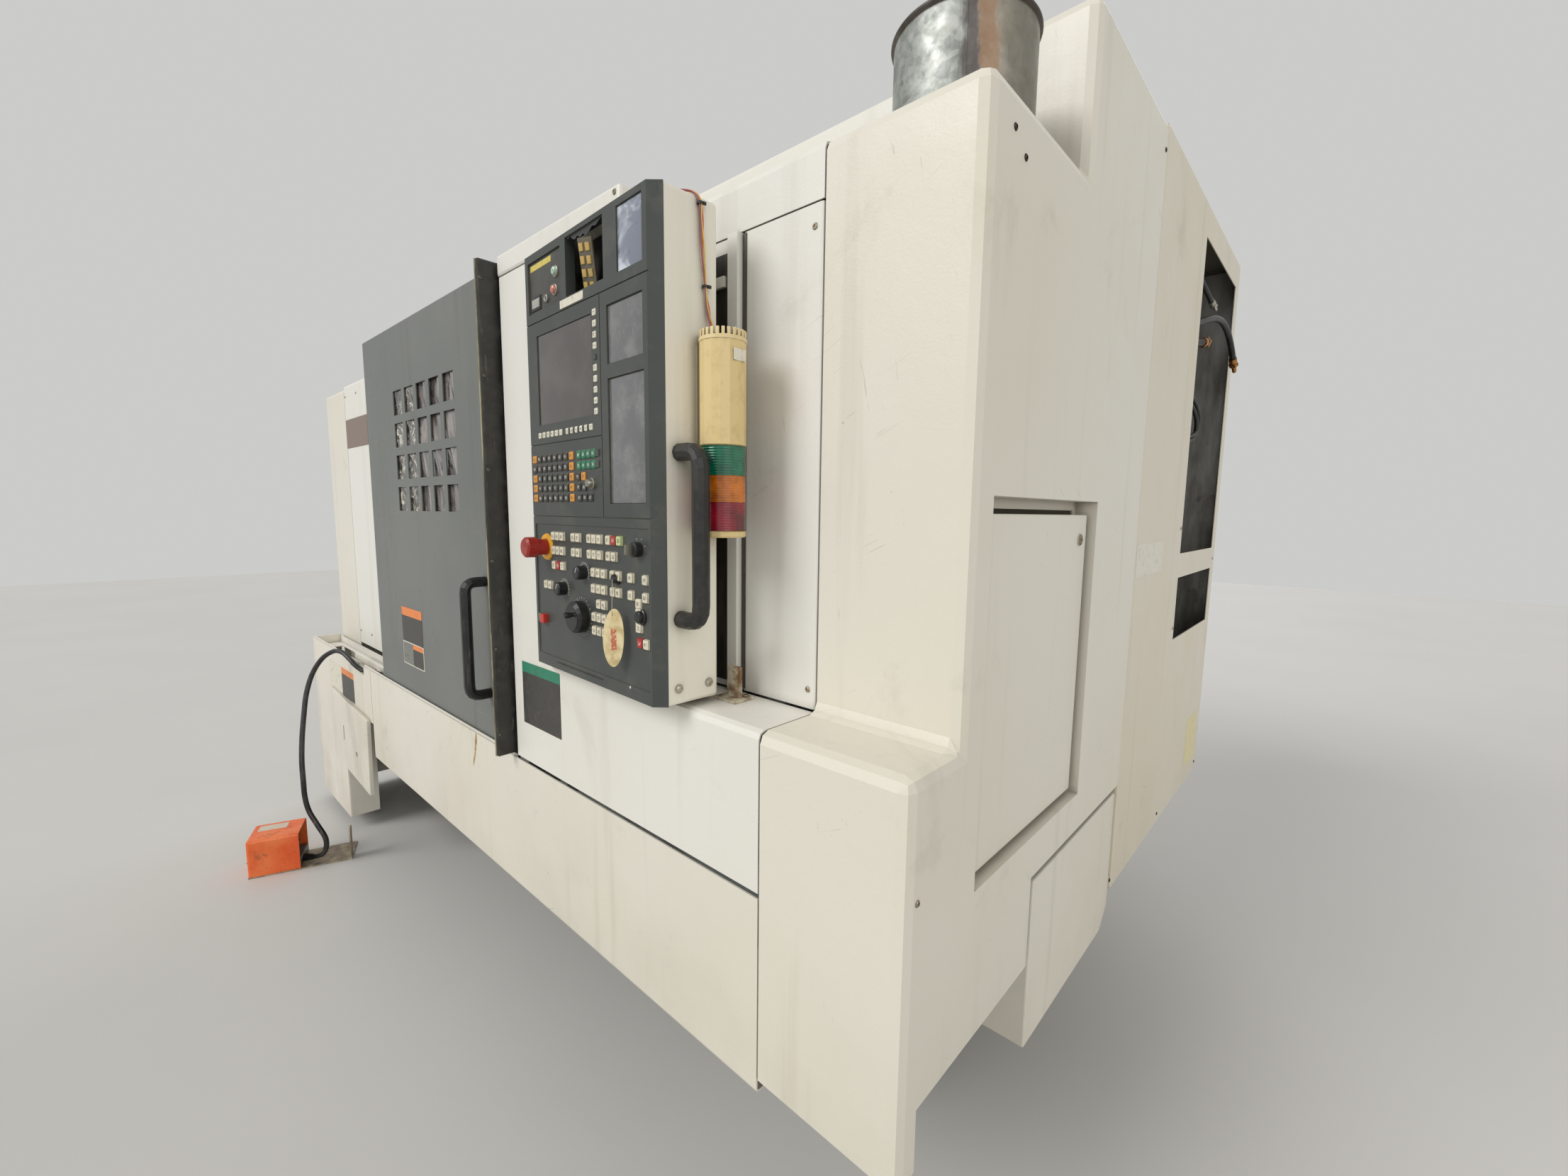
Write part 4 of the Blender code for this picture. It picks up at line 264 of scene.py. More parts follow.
def bridge(shape, loops, start=True, end=True):
    """Joins closed loops of points with faces, one to the next, and closes the ends."""
    for low, high in zip(loops, loops[1:]):
        for k in range(len(low)):
            after = (k + 1) % len(low)
            shape.faces.new((low[k], low[after], high[after], high[k]))
    if end:
        shape.faces.new(loops[-1])
    if start:
        shape.faces.new(list(reversed(loops[0])))


def add_turned(shape, profile, frame_at, steps=32):
    """Adds a profile of (radius, height) turned about the frame's Z axis, closed at radius 0."""
    rings = [
        [
            shape.verts.new(frame_at @ Vector((radius * x, radius * y, height)))
            for x, y in (around(steps) if radius else [(0, 0)])
        ]
        for radius, height in profile
    ]
    for low, high in zip(rings, rings[1:]):
        for step in range(steps):
            after = (step + 1) % steps
            corners = dict.fromkeys(
                (low[step % len(low)], low[after % len(low)], high[after % len(high)], high[step % len(high)])
            )
            if len(corners) > 2:
                shape.faces.new(list(corners))
    return shape


def aimed(spot, direction):
    """A frame at a place whose Z axis points in the direction."""
    return Matrix.Translation(spot) @ Vector(direction).to_track_quat("Z", "Y").to_matrix().to_4x4()


# The moulded boot where the cable enters the pedal: ribbed, and 34 mm long.
RIB_PITCH, RIB_DEPTH = 0.0052, 0.0016
boot_profile = [(0.0086, 0.0)]
for rib in range(6):
    reach, foot = 0.0138 - rib * 0.0006, rib * RIB_PITCH
    boot_profile += [(reach, foot + 0.0004), (reach, foot + 0.0030)]
    boot_profile += [(reach - RIB_DEPTH, foot + 0.0036), (reach - RIB_DEPTH, foot + 0.0050)]
boot_profile += [(0.0092, 0.0340), (0.0086, 0.0340), (0.0086, 0.0)]
boot_way = (cable_line[-6] - cable_line[-1]).normalized()
boot = add_turned(bmesh.new(), boot_profile, aimed(cable_line[-1] + boot_way * 0.0006, boot_way))
bmesh.ops.remove_doubles(boot, verts=boot.verts, dist=1e-6)
cable_boot = skin("cable_boot", boot, rubber("boot_rubber", (18, 18, 19), 0.5), "machine")


# ---------------------------------------------------------------------------------------------
# Floor, sky and lamps. A plain pale floor under soft studio light that is a little stronger from
# the operator's side, so that the front reads brighter than the right side.
floor = bmesh.new()
for corner in ((-14, -14), (14, -14), (14, 14), (-14, 14)):
    floor.verts.new((*corner, -0.0005))
floor.faces.new(floor.verts)
floor_mesh = bpy.data.meshes.new("floor")
floor.to_mesh(floor_mesh)
floor.free()
floor_plane = in_scene("floor", floor_mesh)
floor_finish = Finish("pale_floor", roughness=0.6)
floor_finish.set(
    "Base Color", floor_finish.blend(floor_finish.cloud(0.7, 4), (198, 197, 193), (210, 208, 204))
)
floor_mesh.materials.append(floor_finish.material)

sky = bpy.data.worlds.new("studio")
sky.use_nodes = True
bpy.context.scene.world = sky
bpy.context.scene.view_settings.view_transform = "Standard"
sky_tree = sky.node_tree
sky_light = sky_tree.nodes["Background"]
sky_light.inputs["Color"].default_value = (1.0, 0.995, 0.985, 1)
sky_light.inputs["Strength"].default_value = 0.46
sky_seen = sky_tree.nodes.new("ShaderNodeBackground")
sky_seen.inputs["Color"].default_value = (0.60, 0.60, 0.59, 1)
rays = sky_tree.nodes.new("ShaderNodeLightPath")
seen = sky_tree.nodes.new("ShaderNodeMath")
seen.operation = "MAXIMUM"
glossed = sky_tree.nodes.new("ShaderNodeMath")
glossed.operation = "MAXIMUM"
choice = sky_tree.nodes.new("ShaderNodeMixShader")
for start, end in (
    (rays.outputs["Is Camera Ray"], seen.inputs[0]),
    (rays.outputs["Is Glossy Ray"], glossed.inputs[0]),
    (rays.outputs["Is Transmission Ray"], glossed.inputs[1]),
    (glossed.outputs[0], seen.inputs[1]),
    (seen.outputs[0], choice.inputs[0]),
    (sky_light.outputs[0], choice.inputs[1]),
    (sky_seen.outputs[0], choice.inputs[2]),
    (choice.outputs[0], sky_tree.nodes["World Output"].inputs[0]),
):
    sky_tree.links.new(start, end)
for name, strength, spread, toward, tint in (
    ("front_lamp", 1.60, 28, (0.35, 1.0, -0.75), (1.0, 0.995, 0.985)),
    ("side_lamp", 0.75, 40, (-1.0, 0.35, -0.45), (1.0, 0.99, 0.97)),
    ("back_lamp", 0.50, 50, (0.4, -1.0, -0.6), (0.97, 0.98, 1.0)),
):
    lamp = bpy.data.lights.new(name, "SUN")
    lamp.energy = strength
    lamp.angle = math.radians(spread)
    lamp.color = tint
    in_scene(name, lamp).rotation_euler = Vector(toward).to_track_quat("-Z", "Y").to_euler()


# ---------------------------------------------------------------------------------------------
# Sheet-metal covers. Folded 3 mm steel in a warm white textured paint that has yellowed, with
# grime-brown painted shade in the seams, runs below the joints, rust freckles, scratches, and
# patches that darken towards the floor.
def cover_paint(name, white, grime, scuffs, low_darkening, rust):
    made = Finish(name, roughness=0.45)
    yellowed = made.spots(0.35, 0.70, 1.1, 4)
    base = made.blend(made.times(yellowed, 0.45), white, (white[0] - 7, white[1] - 10, white[2] - 20))
    runs = made.spots(0.56, 0.74, (17, 17, 0.8), 4, 0.6)
    base = made.blend(made.times(runs, 0.20 * grime), base, (140, 124, 96))
    smears = made.spots(0.58, 0.74, 4.5, 6, 0.66, warp=0.6)
    base = made.blend(made.times(smears, 0.26 * grime), base, (128, 118, 98))
    # Darker, browner patches towards the bottom of each cover.
    height = made.along(2)
    low = made.times(made.band(height, 0.80, 0.06), made.spots(0.22, 0.78, 2.6, 4, 0.6))
    base = made.blend(made.times(low, 0.42 * low_darkening), base, (112, 101, 80))
    scratch = made.maths(
        "MAXIMUM",
        made.spots(0.70, 0.735, (7, 7, 210), 2, turn=(0.5, 0.4, 0)),
        made.spots(0.71, 0.745, (160, 160, 5), 2, turn=(0.1, 0.2, 0)),
    )
    scratched = made.times(scratch, made.spots(0.5, 0.62, 2.7, 3))
    base = made.blend(made.times(scratched, 0.5 * scuffs), base, (118, 112, 100))
    freckle = made.times(
        made.band(made.cells(62), 0.16, 0.07), made.spots(0.60, 0.68, 5.2, 4, 0.7)
    )
    base = made.blend(made.times(freckle, 0.85 * rust), base, (112, 66, 34))
    # Seams and corners: a grime-brown darkening by ambient occlusion, which is painted shade.
    seam_shade = made.crevice(0.018)
    made.set("Base Color", made.blend(made.times(seam_shade, 0.50), base, (104, 90, 66)))
    sheen = made.maths("ADD", made.band(made.cloud(8, 4), 0.3, 0.7, 0.36, 0.47), made.times(low, 0.2))
    made.set("Roughness", made.maths("ADD", sheen, made.times(seam_shade, 0.2)))
    made.relief(made.cloud(2.4, 2), 0.004, 0.35)
    made.relief(made.cloud(240, 2), 0.00035, 0.55)
    made.relief(made.spots(0.3, 0.7, 34, 4), 0.0004, 0.3)
    return made


def dress(finish, *names):
    """Gives CAD nodes a finish."""
    for name in names:
        nodes[name].material_slots[0].material = finish.material


dress(
    cover_paint("front_cover_paint", (231, 229, 222), 0.45, 0.35, 0.5, 0.25),
    "front_mid_cover", "door_header", "deck_cover", "upper_front_cover", "panel_bay_cover",
    "headstock_cover", "door_gutter", "tall_rear_cover",
)
# The lower and side covers take a slightly warmer, darker white than the front's: partly yellowed paint, partly painted
# shade of the lower and right-hand faces.
dress(
    cover_paint("lower_cover_paint", (226, 222, 210), 0.65, 0.6, 1.0, 0.5),
    "lower_front_panel", "left_front_cover", "left_access_plate", "left_end_cover",
)
dress(
    cover_paint("side_cover_paint", (227, 223, 211), 0.6, 0.45, 0.9, 0.4),
    "right_end_cover", "service_door", "side_flap_cover",
)
dress(cover_paint("rear_cover_paint", (222, 215, 198), 0.7, 0.6, 0.6, 0.4), "rear_cover")
cabinet_paint = cover_paint("cabinet_paint", (222, 215, 198), 0.7, 0.6, 0.6, 0.4)
# Every face more than 2 mm inside the cabinet's outline is darkened to a brown grey: painted shade of the cabinet's
# interior.
cabinet_low, cabinet_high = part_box("electrical_cabinet")
cabinet_inside_shade = cabinet_paint.times(
    *(
        cabinet_paint.band(cabinet_paint.along(axis), edge - side * 0.0018, edge - side * 0.0022)
        for axis in range(3)
        for edge, side in ((cabinet_low[axis], -1), (cabinet_high[axis], 1))
    )
)
cabinet_tone = cabinet_paint.shader.inputs["Base Color"].links[0].from_socket
cabinet_paint.set("Base Color", cabinet_paint.blend(cabinet_inside_shade, cabinet_tone, (104, 98, 82)))
dress(cabinet_paint, "electrical_cabinet")
dress(cover_paint("panel_box_paint", (232, 228, 214), 0.6, 0.6, 0.0, 0.2), "panel_box")


# ---------------------------------------------------------------------------------------------
# Sliding door. Grey semi-gloss enamel over folded sheet, dulled by hands round the handle; a black
# rubber-faced closing edge; twenty small windows with crumpled film stuck behind the pane.
door_enamel = Finish("door_enamel", roughness=0.4, Specular_IOR_Level=0.3)
door_tone = door_enamel.blend(
    door_enamel.spots(0.3, 0.7, 1.7, 4), (106, 109, 106), (117, 119, 115)
)
door_runs = door_enamel.spots(0.55, 0.75, (16, 16, 0.9), 5, 0.6)
door_tone = door_enamel.blend(door_enamel.times(door_runs, 0.30), door_tone, (82, 82, 75))
door_hands = door_enamel.spots(0.52, 0.70, 9, 6, 0.7)
door_tone = door_enamel.blend(door_enamel.times(door_hands, 0.14), door_tone, (150, 148, 138))
door_lines = door_enamel.times(
    door_enamel.spots(0.69, 0.73, (5, 5, 260), 2),
    door_enamel.spots(0.5, 0.6, 3.1, 3),
)
door_tone = door_enamel.blend(door_enamel.times(door_lines, 0.4), door_tone, (176, 174, 164))
# Seams and corners are darkened by ambient occlusion: painted shade.
door_seam_shade = door_enamel.crevice(0.016)
door_enamel.set("Base Color", door_enamel.blend(door_enamel.times(door_seam_shade, 0.5), door_tone, (58, 56, 48)))
door_enamel.rough(door_hands, 0.36, 0.5)
door_enamel.relief(door_enamel.cloud(2.0, 2), 0.004, 0.3)
door_enamel.relief(door_enamel.cloud(260, 2), 0.0003, 0.4)
dress(door_enamel, "door_skin")
dress(rubber("closing_edge_rubber", (36, 36, 32), 0.30), "door_edge_trim")
dress(rubber("handle_rubber", (24, 24, 23), 0.25), "door_handle", "panel_handle")


def add_box(shape, low, high, frame_at=None, round_by=0.0):
    """Adds a box between two corners, its edges rounded by a small radius."""
    made = bmesh.ops.create_cube(shape, size=1)["verts"]
    low, high = Vector(low), Vector(high)
    for vertex in made:
        vertex.co = Vector(
            (low[axis] + (vertex.co[axis] + 0.5) * (high[axis] - low[axis]) for axis in range(3))
        )
    edges = {edge for vertex in made for edge in vertex.link_edges}
    if round_by:
        cut = bmesh.ops.bevel(
            shape, geom=list(edges), offset=round_by, segments=2, profile=0.7, affect="EDGES"
        )
        made = {vertex for face in cut["faces"] for vertex in face.verts} | {v for v in made if v.is_valid}
    if frame_at is not None:
        for vertex in made:
            vertex.co = frame_at @ vertex.co
    return shape


def block(name, low, high, finish, body="machine", frame_at=None, round_by=0.0006):
    """A piece that is one rounded box."""
    return skin(name, add_box(bmesh.new(), low, high, frame_at, round_by), finish, body)


def rounded(half_width, half_height, corner, steps):
    """The outline of a rectangle with rounded corners, as points."""
    outline = []
    for turn, (x, y) in enumerate(((1, 1), (-1, 1), (-1, -1), (1, -1))):
        for step in range(steps + 1):
            angle = math.pi / 2 * (turn + step / steps)
            outline.append(
                (
                    x * (half_width - corner) + corner * math.cos(angle),
                    y * (half_height - corner) + corner * math.sin(angle),
                )
            )
    return outline


def bare_plate(name, body, finish, frame_at, width, height, thick, corner):
    """A blank plate or sticker with nothing printed on it. The frame's Z axis points out of it."""
    shape = bmesh.new()
    outline = rounded(width / 2, height / 2, corner, 4)
    bridge(shape, [[shape.verts.new(frame_at @ Vector((x, y, z))) for x, y in outline] for z in (0, thick)])
    return skin(name, shape, finish, body)


def facing_front(from_right, back, height):
    """A frame on a front face, its Z axis pointing at the operator and X to the right."""
    turned = Matrix(((1, 0, 0), (0, 0, -1), (0, 1, 0))).to_4x4()
    return Matrix.Translation(machine_point(from_right, back, height)) @ turned


def facing_right(back, height):
    """A frame on the right end, its Z axis pointing to the right and X to the rear."""
    turned = Matrix(((0, 0, 1), (1, 0, 0), (0, 1, 0))).to_4x4()
    return Matrix.Translation(machine_point(0, back, height)) @ turned


# The film behind the windows: a 0.2 mm clear sheet that has crumpled at the left and hangs in
# slack folds at the right. It is rebuilt as one creased slab inside the pane's own space.
film_low, film_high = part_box("door_window_pane")
film_columns, film_rows = 150, 118


def film_fold(x, z):
    """How far the film bulges towards the operator, 0 to 1."""
    crumpled = 1 - min(1, max(0, (x - film_low.x - 0.17) / 0.06))
    sharp = noise.turbulence(Vector((x * 24, 0.3, z * 18)), 4, True, noise_basis="PERLIN_ORIGINAL")
    slack = math.sin((x * 62 + z * 21) + 2.2 * noise.noise(Vector((x * 6, 5.1, z * 4)))) * 0.5 + 0.5
    soft = 0.25 * noise.noise(Vector((x * 20, 1.7, z * 9)))
    return min(1, max(0, crumpled * (1.15 - sharp * 1.2) + (1 - crumpled) * (slack**2 * 0.8 + soft)))


film = bmesh.new()
film_front, film_back = [], []
for row in range(film_rows + 1):
    z = film_low.z + (film_high.z - film_low.z) * row / film_rows
    front, behind = [], []
    for column in range(film_columns + 1):
        x = film_low.x + (film_high.x - film_low.x) * column / film_columns
        bulge = 0.0004 + 0.0050 * film_fold(x, z)
        front.append(film.verts.new((x, film_high.y - 0.0003 - bulge, z)))
        if row in (0, film_rows) or column in (0, film_columns):
            behind.append(film.verts.new((x, film_high.y, z)))
        else:
            behind.append(None)
    film_front.append(front)
    film_back.append(behind)
for low_row, high_row in zip(film_front, film_front[1:]):
    for a, b, c, d in zip(low_row, low_row[1:], high_row[1:], high_row):
        film.faces.new((a, b, c, d))
def rim(rows):
    """The points round the edge of a grid, in order."""
    return rows[0] + [row[-1] for row in rows[1:]] + rows[-1][-2::-1] + [row[0] for row in rows[-2:0:-1]]


film_rims = [rim(film_front), rim(film_back)]
bridge(film, film_rims, start=False, end=False)
film.faces.new(list(reversed(film_rims[1])))
# The film's colours are painted light: bright glints on the crinkles at the left, and mauve-grey bands that lighten and
# darken with the folds at the right, as painted fold shading; dark patches lie over both.
pane = Finish("crumpled_film", roughness=0.16)
pane_x = pane.along(0)
pane_crumpled = pane.band(pane_x, film_low.x + 0.17, film_low.x + 0.24, 1.0, 0.0)
pane_glint_spots = pane.spots(0.50, 0.62, 34, 5, 0.7, warp=1.2)
pane_fold = pane.cloud((26, 26, 9), 4, 0.6, turn=(0, 0.4, 0), warp=1.0)
pane_mauve_fold_shading = pane.blend(pane.band(pane_fold, 0.36, 0.64), (92, 86, 84), (146, 138, 134))
pane_painted_highlights = pane.blend(pane_glint_spots, (84, 80, 74), (226, 220, 202))
pane_tone = pane.blend(pane_crumpled, pane_mauve_fold_shading, pane_painted_highlights)
pane_dark = pane.spots(0.55, 0.64, 13, 4, 0.6, warp=0.8)
pane.set("Base Color", pane.blend(pane.times(pane_dark, 0.8), pane_tone, (38, 36, 38)))
pane.set("Coat Weight", 0.7)
pane.set("Coat Roughness", 0.06)
pane.relief(pane_fold, 0.003, 0.6)
film_sheet = skin("crumpled_film", film, pane, "door", sharp=60)
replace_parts(film_sheet, "door_window_pane")

# The closing edge: a worn steel strip shows along its front, bright enough to paint the highlight
# that runs down this edge, and button-head screws hold it.
strip_steel = Finish("worn_strip_steel", roughness=0.4, Metallic=0.4)
strip_worn_and_highlight = strip_steel.spots(0.40, 0.66, (40, 40, 9), 5, 0.65)
strip_steel.set("Base Color", strip_steel.blend(strip_worn_and_highlight, (96, 90, 66), (176, 168, 132)))
strip_steel.relief(strip_steel.cloud(180), 0.0003, 0.5)
edge_low, edge_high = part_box("door_edge_trim")
block(
    "edge_strip",
    (edge_low.x + 0.0004, edge_low.y - 0.0010, edge_low.z + 0.001),
    (edge_low.x + 0.0058, edge_low.y + 0.0016, edge_high.z - 0.001),
    strip_steel, "door",
)


fastener_tree = bpy.data.node_groups.new("fastener_heads", "GeometryNodeTree")
for label, kind in (
    ("Geometry", "NodeSocketGeometry"), ("Head", "NodeSocketObject"), ("Size", "NodeSocketFloat"),
    ("Finish", "NodeSocketMaterial"),
):
    fastener_tree.interface.new_socket(label, in_out="INPUT", socket_type=kind)
fastener_tree.interface.new_socket("Geometry", in_out="OUTPUT", socket_type="NodeSocketGeometry")


def tree_node(tree, kind, inputs=(), **settings):
    """Adds one geometry node; an input is a value, or the output that feeds it."""
    made = tree.nodes.new(kind)
    for key, value in settings.items():
        setattr(made, key, value)
    for socket, value in dict(inputs).items():
        if isinstance(value, bpy.types.NodeSocket):
            tree.links.new(value, made.inputs[socket])
        else:
            made.inputs[socket].default_value = value
    return made


heads_in = tree_node(fastener_tree, "NodeGroupInput").outputs
heads_facing = tree_node(
    fastener_tree, "GeometryNodeInputNamedAttribute", {0: "facing"}, data_type="FLOAT_VECTOR"
).outputs[0]
heads_turn = tree_node(
    fastener_tree, "FunctionNodeAlignRotationToVector", {"Vector": heads_facing}, axis="Z"
).outputs[0]
heads_spin = tree_node(
    fastener_tree, "FunctionNodeRandomValue", {2: 0.0, 3: math.tau, "Seed": 7}, data_type="FLOAT"
).outputs[1]
heads_axis = tree_node(
    fastener_tree, "FunctionNodeAxisAngleToRotation", {"Axis": (0, 0, 1), "Angle": heads_spin}
).outputs[0]
heads_place = tree_node(
    fastener_tree, "FunctionNodeRotateRotation", {0: heads_turn, 1: heads_axis}, rotation_space="LOCAL"
).outputs[0]
head_shape = tree_node(fastener_tree, "GeometryNodeObjectInfo", {"Object": heads_in["Head"]}).outputs["Geometry"]
heads = tree_node(
    fastener_tree,
    "GeometryNodeInstanceOnPoints",
    {"Points": heads_in["Geometry"], "Instance": head_shape, "Rotation": heads_place, "Scale": heads_in["Size"]},
).outputs[0]
heads_real = tree_node(fastener_tree, "GeometryNodeRealizeInstances", {0: heads}).outputs[0]
heads_done = tree_node(
    fastener_tree, "GeometryNodeSetMaterial", {0: heads_real, "Material": heads_in["Finish"]}
).outputs[0]
tree_node(fastener_tree, "NodeGroupOutput", {0: heads_done})


def grown(name, tree, body, sharp=40, start=None, frame_at=None, **inputs):
    """Runs a geometry tree, keeps its result as a plain mesh in place, and lets it ride."""
    maker = in_scene(name + "_maker", start or bpy.data.meshes.new(name))
    growth = maker.modifiers.new(name, "NODES")
    growth.node_group = tree
    for item in tree.interface.items_tree:
        if item.item_type == "SOCKET" and item.in_out == "INPUT" and item.name.replace(" ", "_") in inputs:
            growth[item.identifier] = inputs[item.name.replace(" ", "_")]
    bpy.context.view_layer.update()
    mesh = bpy.data.meshes.new_from_object(maker.evaluated_get(bpy.context.evaluated_depsgraph_get()))
    maker.modifiers.remove(growth)
    bpy.data.objects.remove(maker)
    mesh.name = name
    if frame_at is not None:
        mesh.transform(frame_at)
    mesh.shade_smooth()
    mesh.set_sharp_from_angle(angle=math.radians(sharp))
    piece = in_scene(name, mesh)
    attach(piece, body)
    return piece


def pattern(name, shape):
    """A shape kept out of the scene, for a tree to repeat."""
    mesh = bpy.data.meshes.new(name)
    bmesh.ops.recalc_face_normals(shape, faces=shape.faces)
    shape.to_mesh(mesh)
    shape.free()
    return bpy.data.objects.new(name, mesh)


# A button head of radius 1 with a hexagon socket, standing on Z 0.
HEAD_SIDES, HEAD_RISE, SOCKET_REACH, SOCKET_DEPTH = 24, 0.42, 0.5, 0.24
head = bmesh.new()
head_loops = [
    [head.verts.new((radius * x, radius * y, z)) for x, y in around(HEAD_SIDES)]
    for radius, z in ((1.0, 0.0), (1.0, 0.08), (0.88, 0.28), (0.66, HEAD_RISE), (SOCKET_REACH, HEAD_RISE))
]
for z in (HEAD_RISE, HEAD_RISE - SOCKET_DEPTH):
    hexagon = []
    for k, (x, y) in enumerate(around(HEAD_SIDES)):
        reach = SOCKET_REACH * 0.86 / math.cos((math.tau * k / HEAD_SIDES) % (math.pi / 3) - math.pi / 6)
        hexagon.append(head.verts.new((reach * x, reach * y, z - 0.001)))
    head_loops.append(hexagon)
bridge(head, head_loops)
button_head = pattern("button_head", head)


def fasteners(name, body, finish, size, spots):
    """Fastener heads at places, each with the direction it faces."""
    points = bpy.data.meshes.new(name + "_points")
    points.from_pydata([tuple(spot) for spot, _ in spots], [], [])
    facing = points.attributes.new("facing", "FLOAT_VECTOR", "POINT")
    for item, (_, direction) in zip(facing.data, spots):
        item.vector = direction
    return grown(
        name, fastener_tree, body, 30, start=points,
        Head=button_head, Size=size, Finish=finish.material,
    )


def bright_steel(name, tone, rust):
    made = Finish(name, roughness=0.36, Metallic=0.8)
    spots = made.spots(0.50, 0.64, 160, 4, 0.7)
    made.set("Base Color", made.blend(made.times(spots, rust), tone, (98, 62, 36)))
    made.rough(spots, 0.32, 0.6)
    made.relief(made.cloud(400, 3), 0.0002, 0.5)
    return made


fasteners(
    "edge_screws", "door", bright_steel("edge_screw_steel", (96, 93, 84), 0.3), 0.0046,
    [((edge_high.x, -0.825, z), (1, 0, 0)) for z in (1.800, 1.600, 1.401, 1.201, 1.001, 0.801)],
)


def sticker(name, colour, dirt=(90, 80, 62), gloss=0.4):
    """A printed vinyl or enamelled plate in one plain colour, rubbed and dusty."""
    made = Finish(name, roughness=gloss)
    rubbed = made.spots(0.50, 0.70, 60, 5, 0.68)
    made.set("Base Color", made.blend(made.times(rubbed, 0.35), colour, dirt))
    made.rough(rubbed, gloss, gloss + 0.2)
    made.relief(made.cloud(90, 3), 0.0002, 0.4)
    return made


orange_vinyl = sticker("orange_vinyl", (236, 134, 62))
dark_vinyl = sticker("dark_vinyl", (58, 56, 52), (104, 98, 86))
pale_vinyl = sticker("pale_vinyl", (222, 216, 200))
for name, from_right, height, width, tall, vinyl, thick in (
    ("door_plate_upper", 1.745, 0.953, 0.176, 0.096, dark_vinyl, 0.0006),
    ("door_plate_upper_band", 1.745, 0.999, 0.176, 0.026, orange_vinyl, 0.0009),
    ("door_plate_lower", 1.745, 0.868, 0.180, 0.072, pale_vinyl, 0.0005),
    ("door_plate_lower_left", 1.789, 0.868, 0.086, 0.066, sticker("grey_vinyl", (120, 120, 116)), 0.0008),
    ("door_plate_lower_right", 1.702, 0.861, 0.086, 0.052, dark_vinyl, 0.0008),
    ("door_plate_lower_band", 1.702, 0.8945, 0.086, 0.014, orange_vinyl, 0.0008),
):
    bare_plate(name, "door", vinyl, facing_front(from_right, 0.009, height), width, tall, thick, 0.0025)


# ---------------------------------------------------------------------------------------------
# Operator panel. A charcoal moulded bezel with sunken panes, ivory and dark keys, rotary switches
# and a pulse wheel, on a cream sheet box that swings on two pins.
panel_frame = (
    Matrix.Translation((0.670, -0.800, 1.009))
    @ Matrix.Rotation(-math.radians(2.8), 4, "Z")
    @ Matrix.Translation((-0.004, -0.026, 0))
)


def on_panel(across_it, depth, up):
    """A place on the panel: across from its left edge, behind the bezel's face, and up."""
    return panel_frame @ Vector((across_it, depth, up))


bezel = Finish("bezel_plastic", roughness=0.5)
bezel_wear = bezel.spots(0.50, 0.72, 11, 5, 0.65)
bezel_tone = bezel.blend(bezel.spots(0.3, 0.7, 2.2, 3), (58, 62, 60), (70, 73, 70))
bezel_tone = bezel.blend(bezel.times(bezel_wear, 0.28), bezel_tone, (112, 110, 100))
bezel_dust = bezel.crevice(0.006)
bezel.set("Base Color", bezel.blend(bezel.times(bezel_dust, 0.35), bezel_tone, (122, 116, 98)))
bezel.rough(bezel_wear, 0.44, 0.6)
bezel.relief(bezel.cloud(520, 2), 0.00025, 0.5)
dress(bezel, "panel_bezel")

screen = Finish("screen_glass", roughness=0.16)
screen_haze = screen.spots(0.4, 0.75, 14, 5, 0.6)
screen.set("Base Color", screen.blend(screen.times(screen_haze, 0.4), (62, 56, 52), (104, 98, 90)))
screen.rough(screen_haze, 0.12, 0.32)
screen.set("Coat Weight", 0.6)
screen.set("Coat Roughness", 0.05)
screen.relief(screen.cloud(3), 0.0006, 0.3)
dress(screen, "screen_glass")


def moulded(name, colour, roughness=0.35, grime=0.3):
    """Hard moulded plastic or enamel in one colour, with dull patches and, from ambient occlusion, a grime-brown tint
    in its corners: painted shade on light colours, dust on dark ones.
    """
    made = Finish(name, roughness=roughness)
    patch = made.spots(0.48, 0.72, 38, 5, 0.65)
    darker = tuple(max(0, channel - 26) for channel in colour)
    tone = made.blend(made.times(patch, 0.6), colour, darker)
    # Corners take a grime-brown tint by ambient occlusion: painted shade on the light colours, dust on the black ones.
    made.set("Base Color", made.blend(made.times(made.crevice(0.006), grime), tone, (70, 62, 48)))
    made.rough(patch, roughness, roughness + 0.16)
    made.relief(made.cloud(300, 3), 0.0002, 0.5)
    return made


dress(moulded("stop_mushroom_red", (156, 40, 30), 0.32), "emergency_stop")
dress(moulded("stop_ring_yellow", (240, 176, 36), 0.4, 0.5), "stop_ring")
dress(
    moulded("knob_black", (30, 31, 31), 0.35, 0.5),
    "feed_override_knob", "spindle_override_knob", "pulse_handwheel", "key_switch",
)


# Key caps: two-shot mouldings 3 mm tall with dished tops, each with a rubbed mark in the middle.
cap = bmesh.new()
bridge(
    cap,
    [
        [cap.verts.new((x, y, rise)) for x, y in rounded(half, half, 0.08, 2)]
        for half, rise in ((0.5, 0.0), (0.5, 0.55), (0.42, 0.95), (0.36, 1.0), (0.18, 0.93))
    ],
)
key_cap = pattern("key_cap", cap)
cap_spot = key_cap.data.attributes.new("cap_spot", "FLOAT_VECTOR", "POINT")
for vertex, item in zip(key_cap.data.vertices, cap_spot.data):
    item.vector = vertex.co

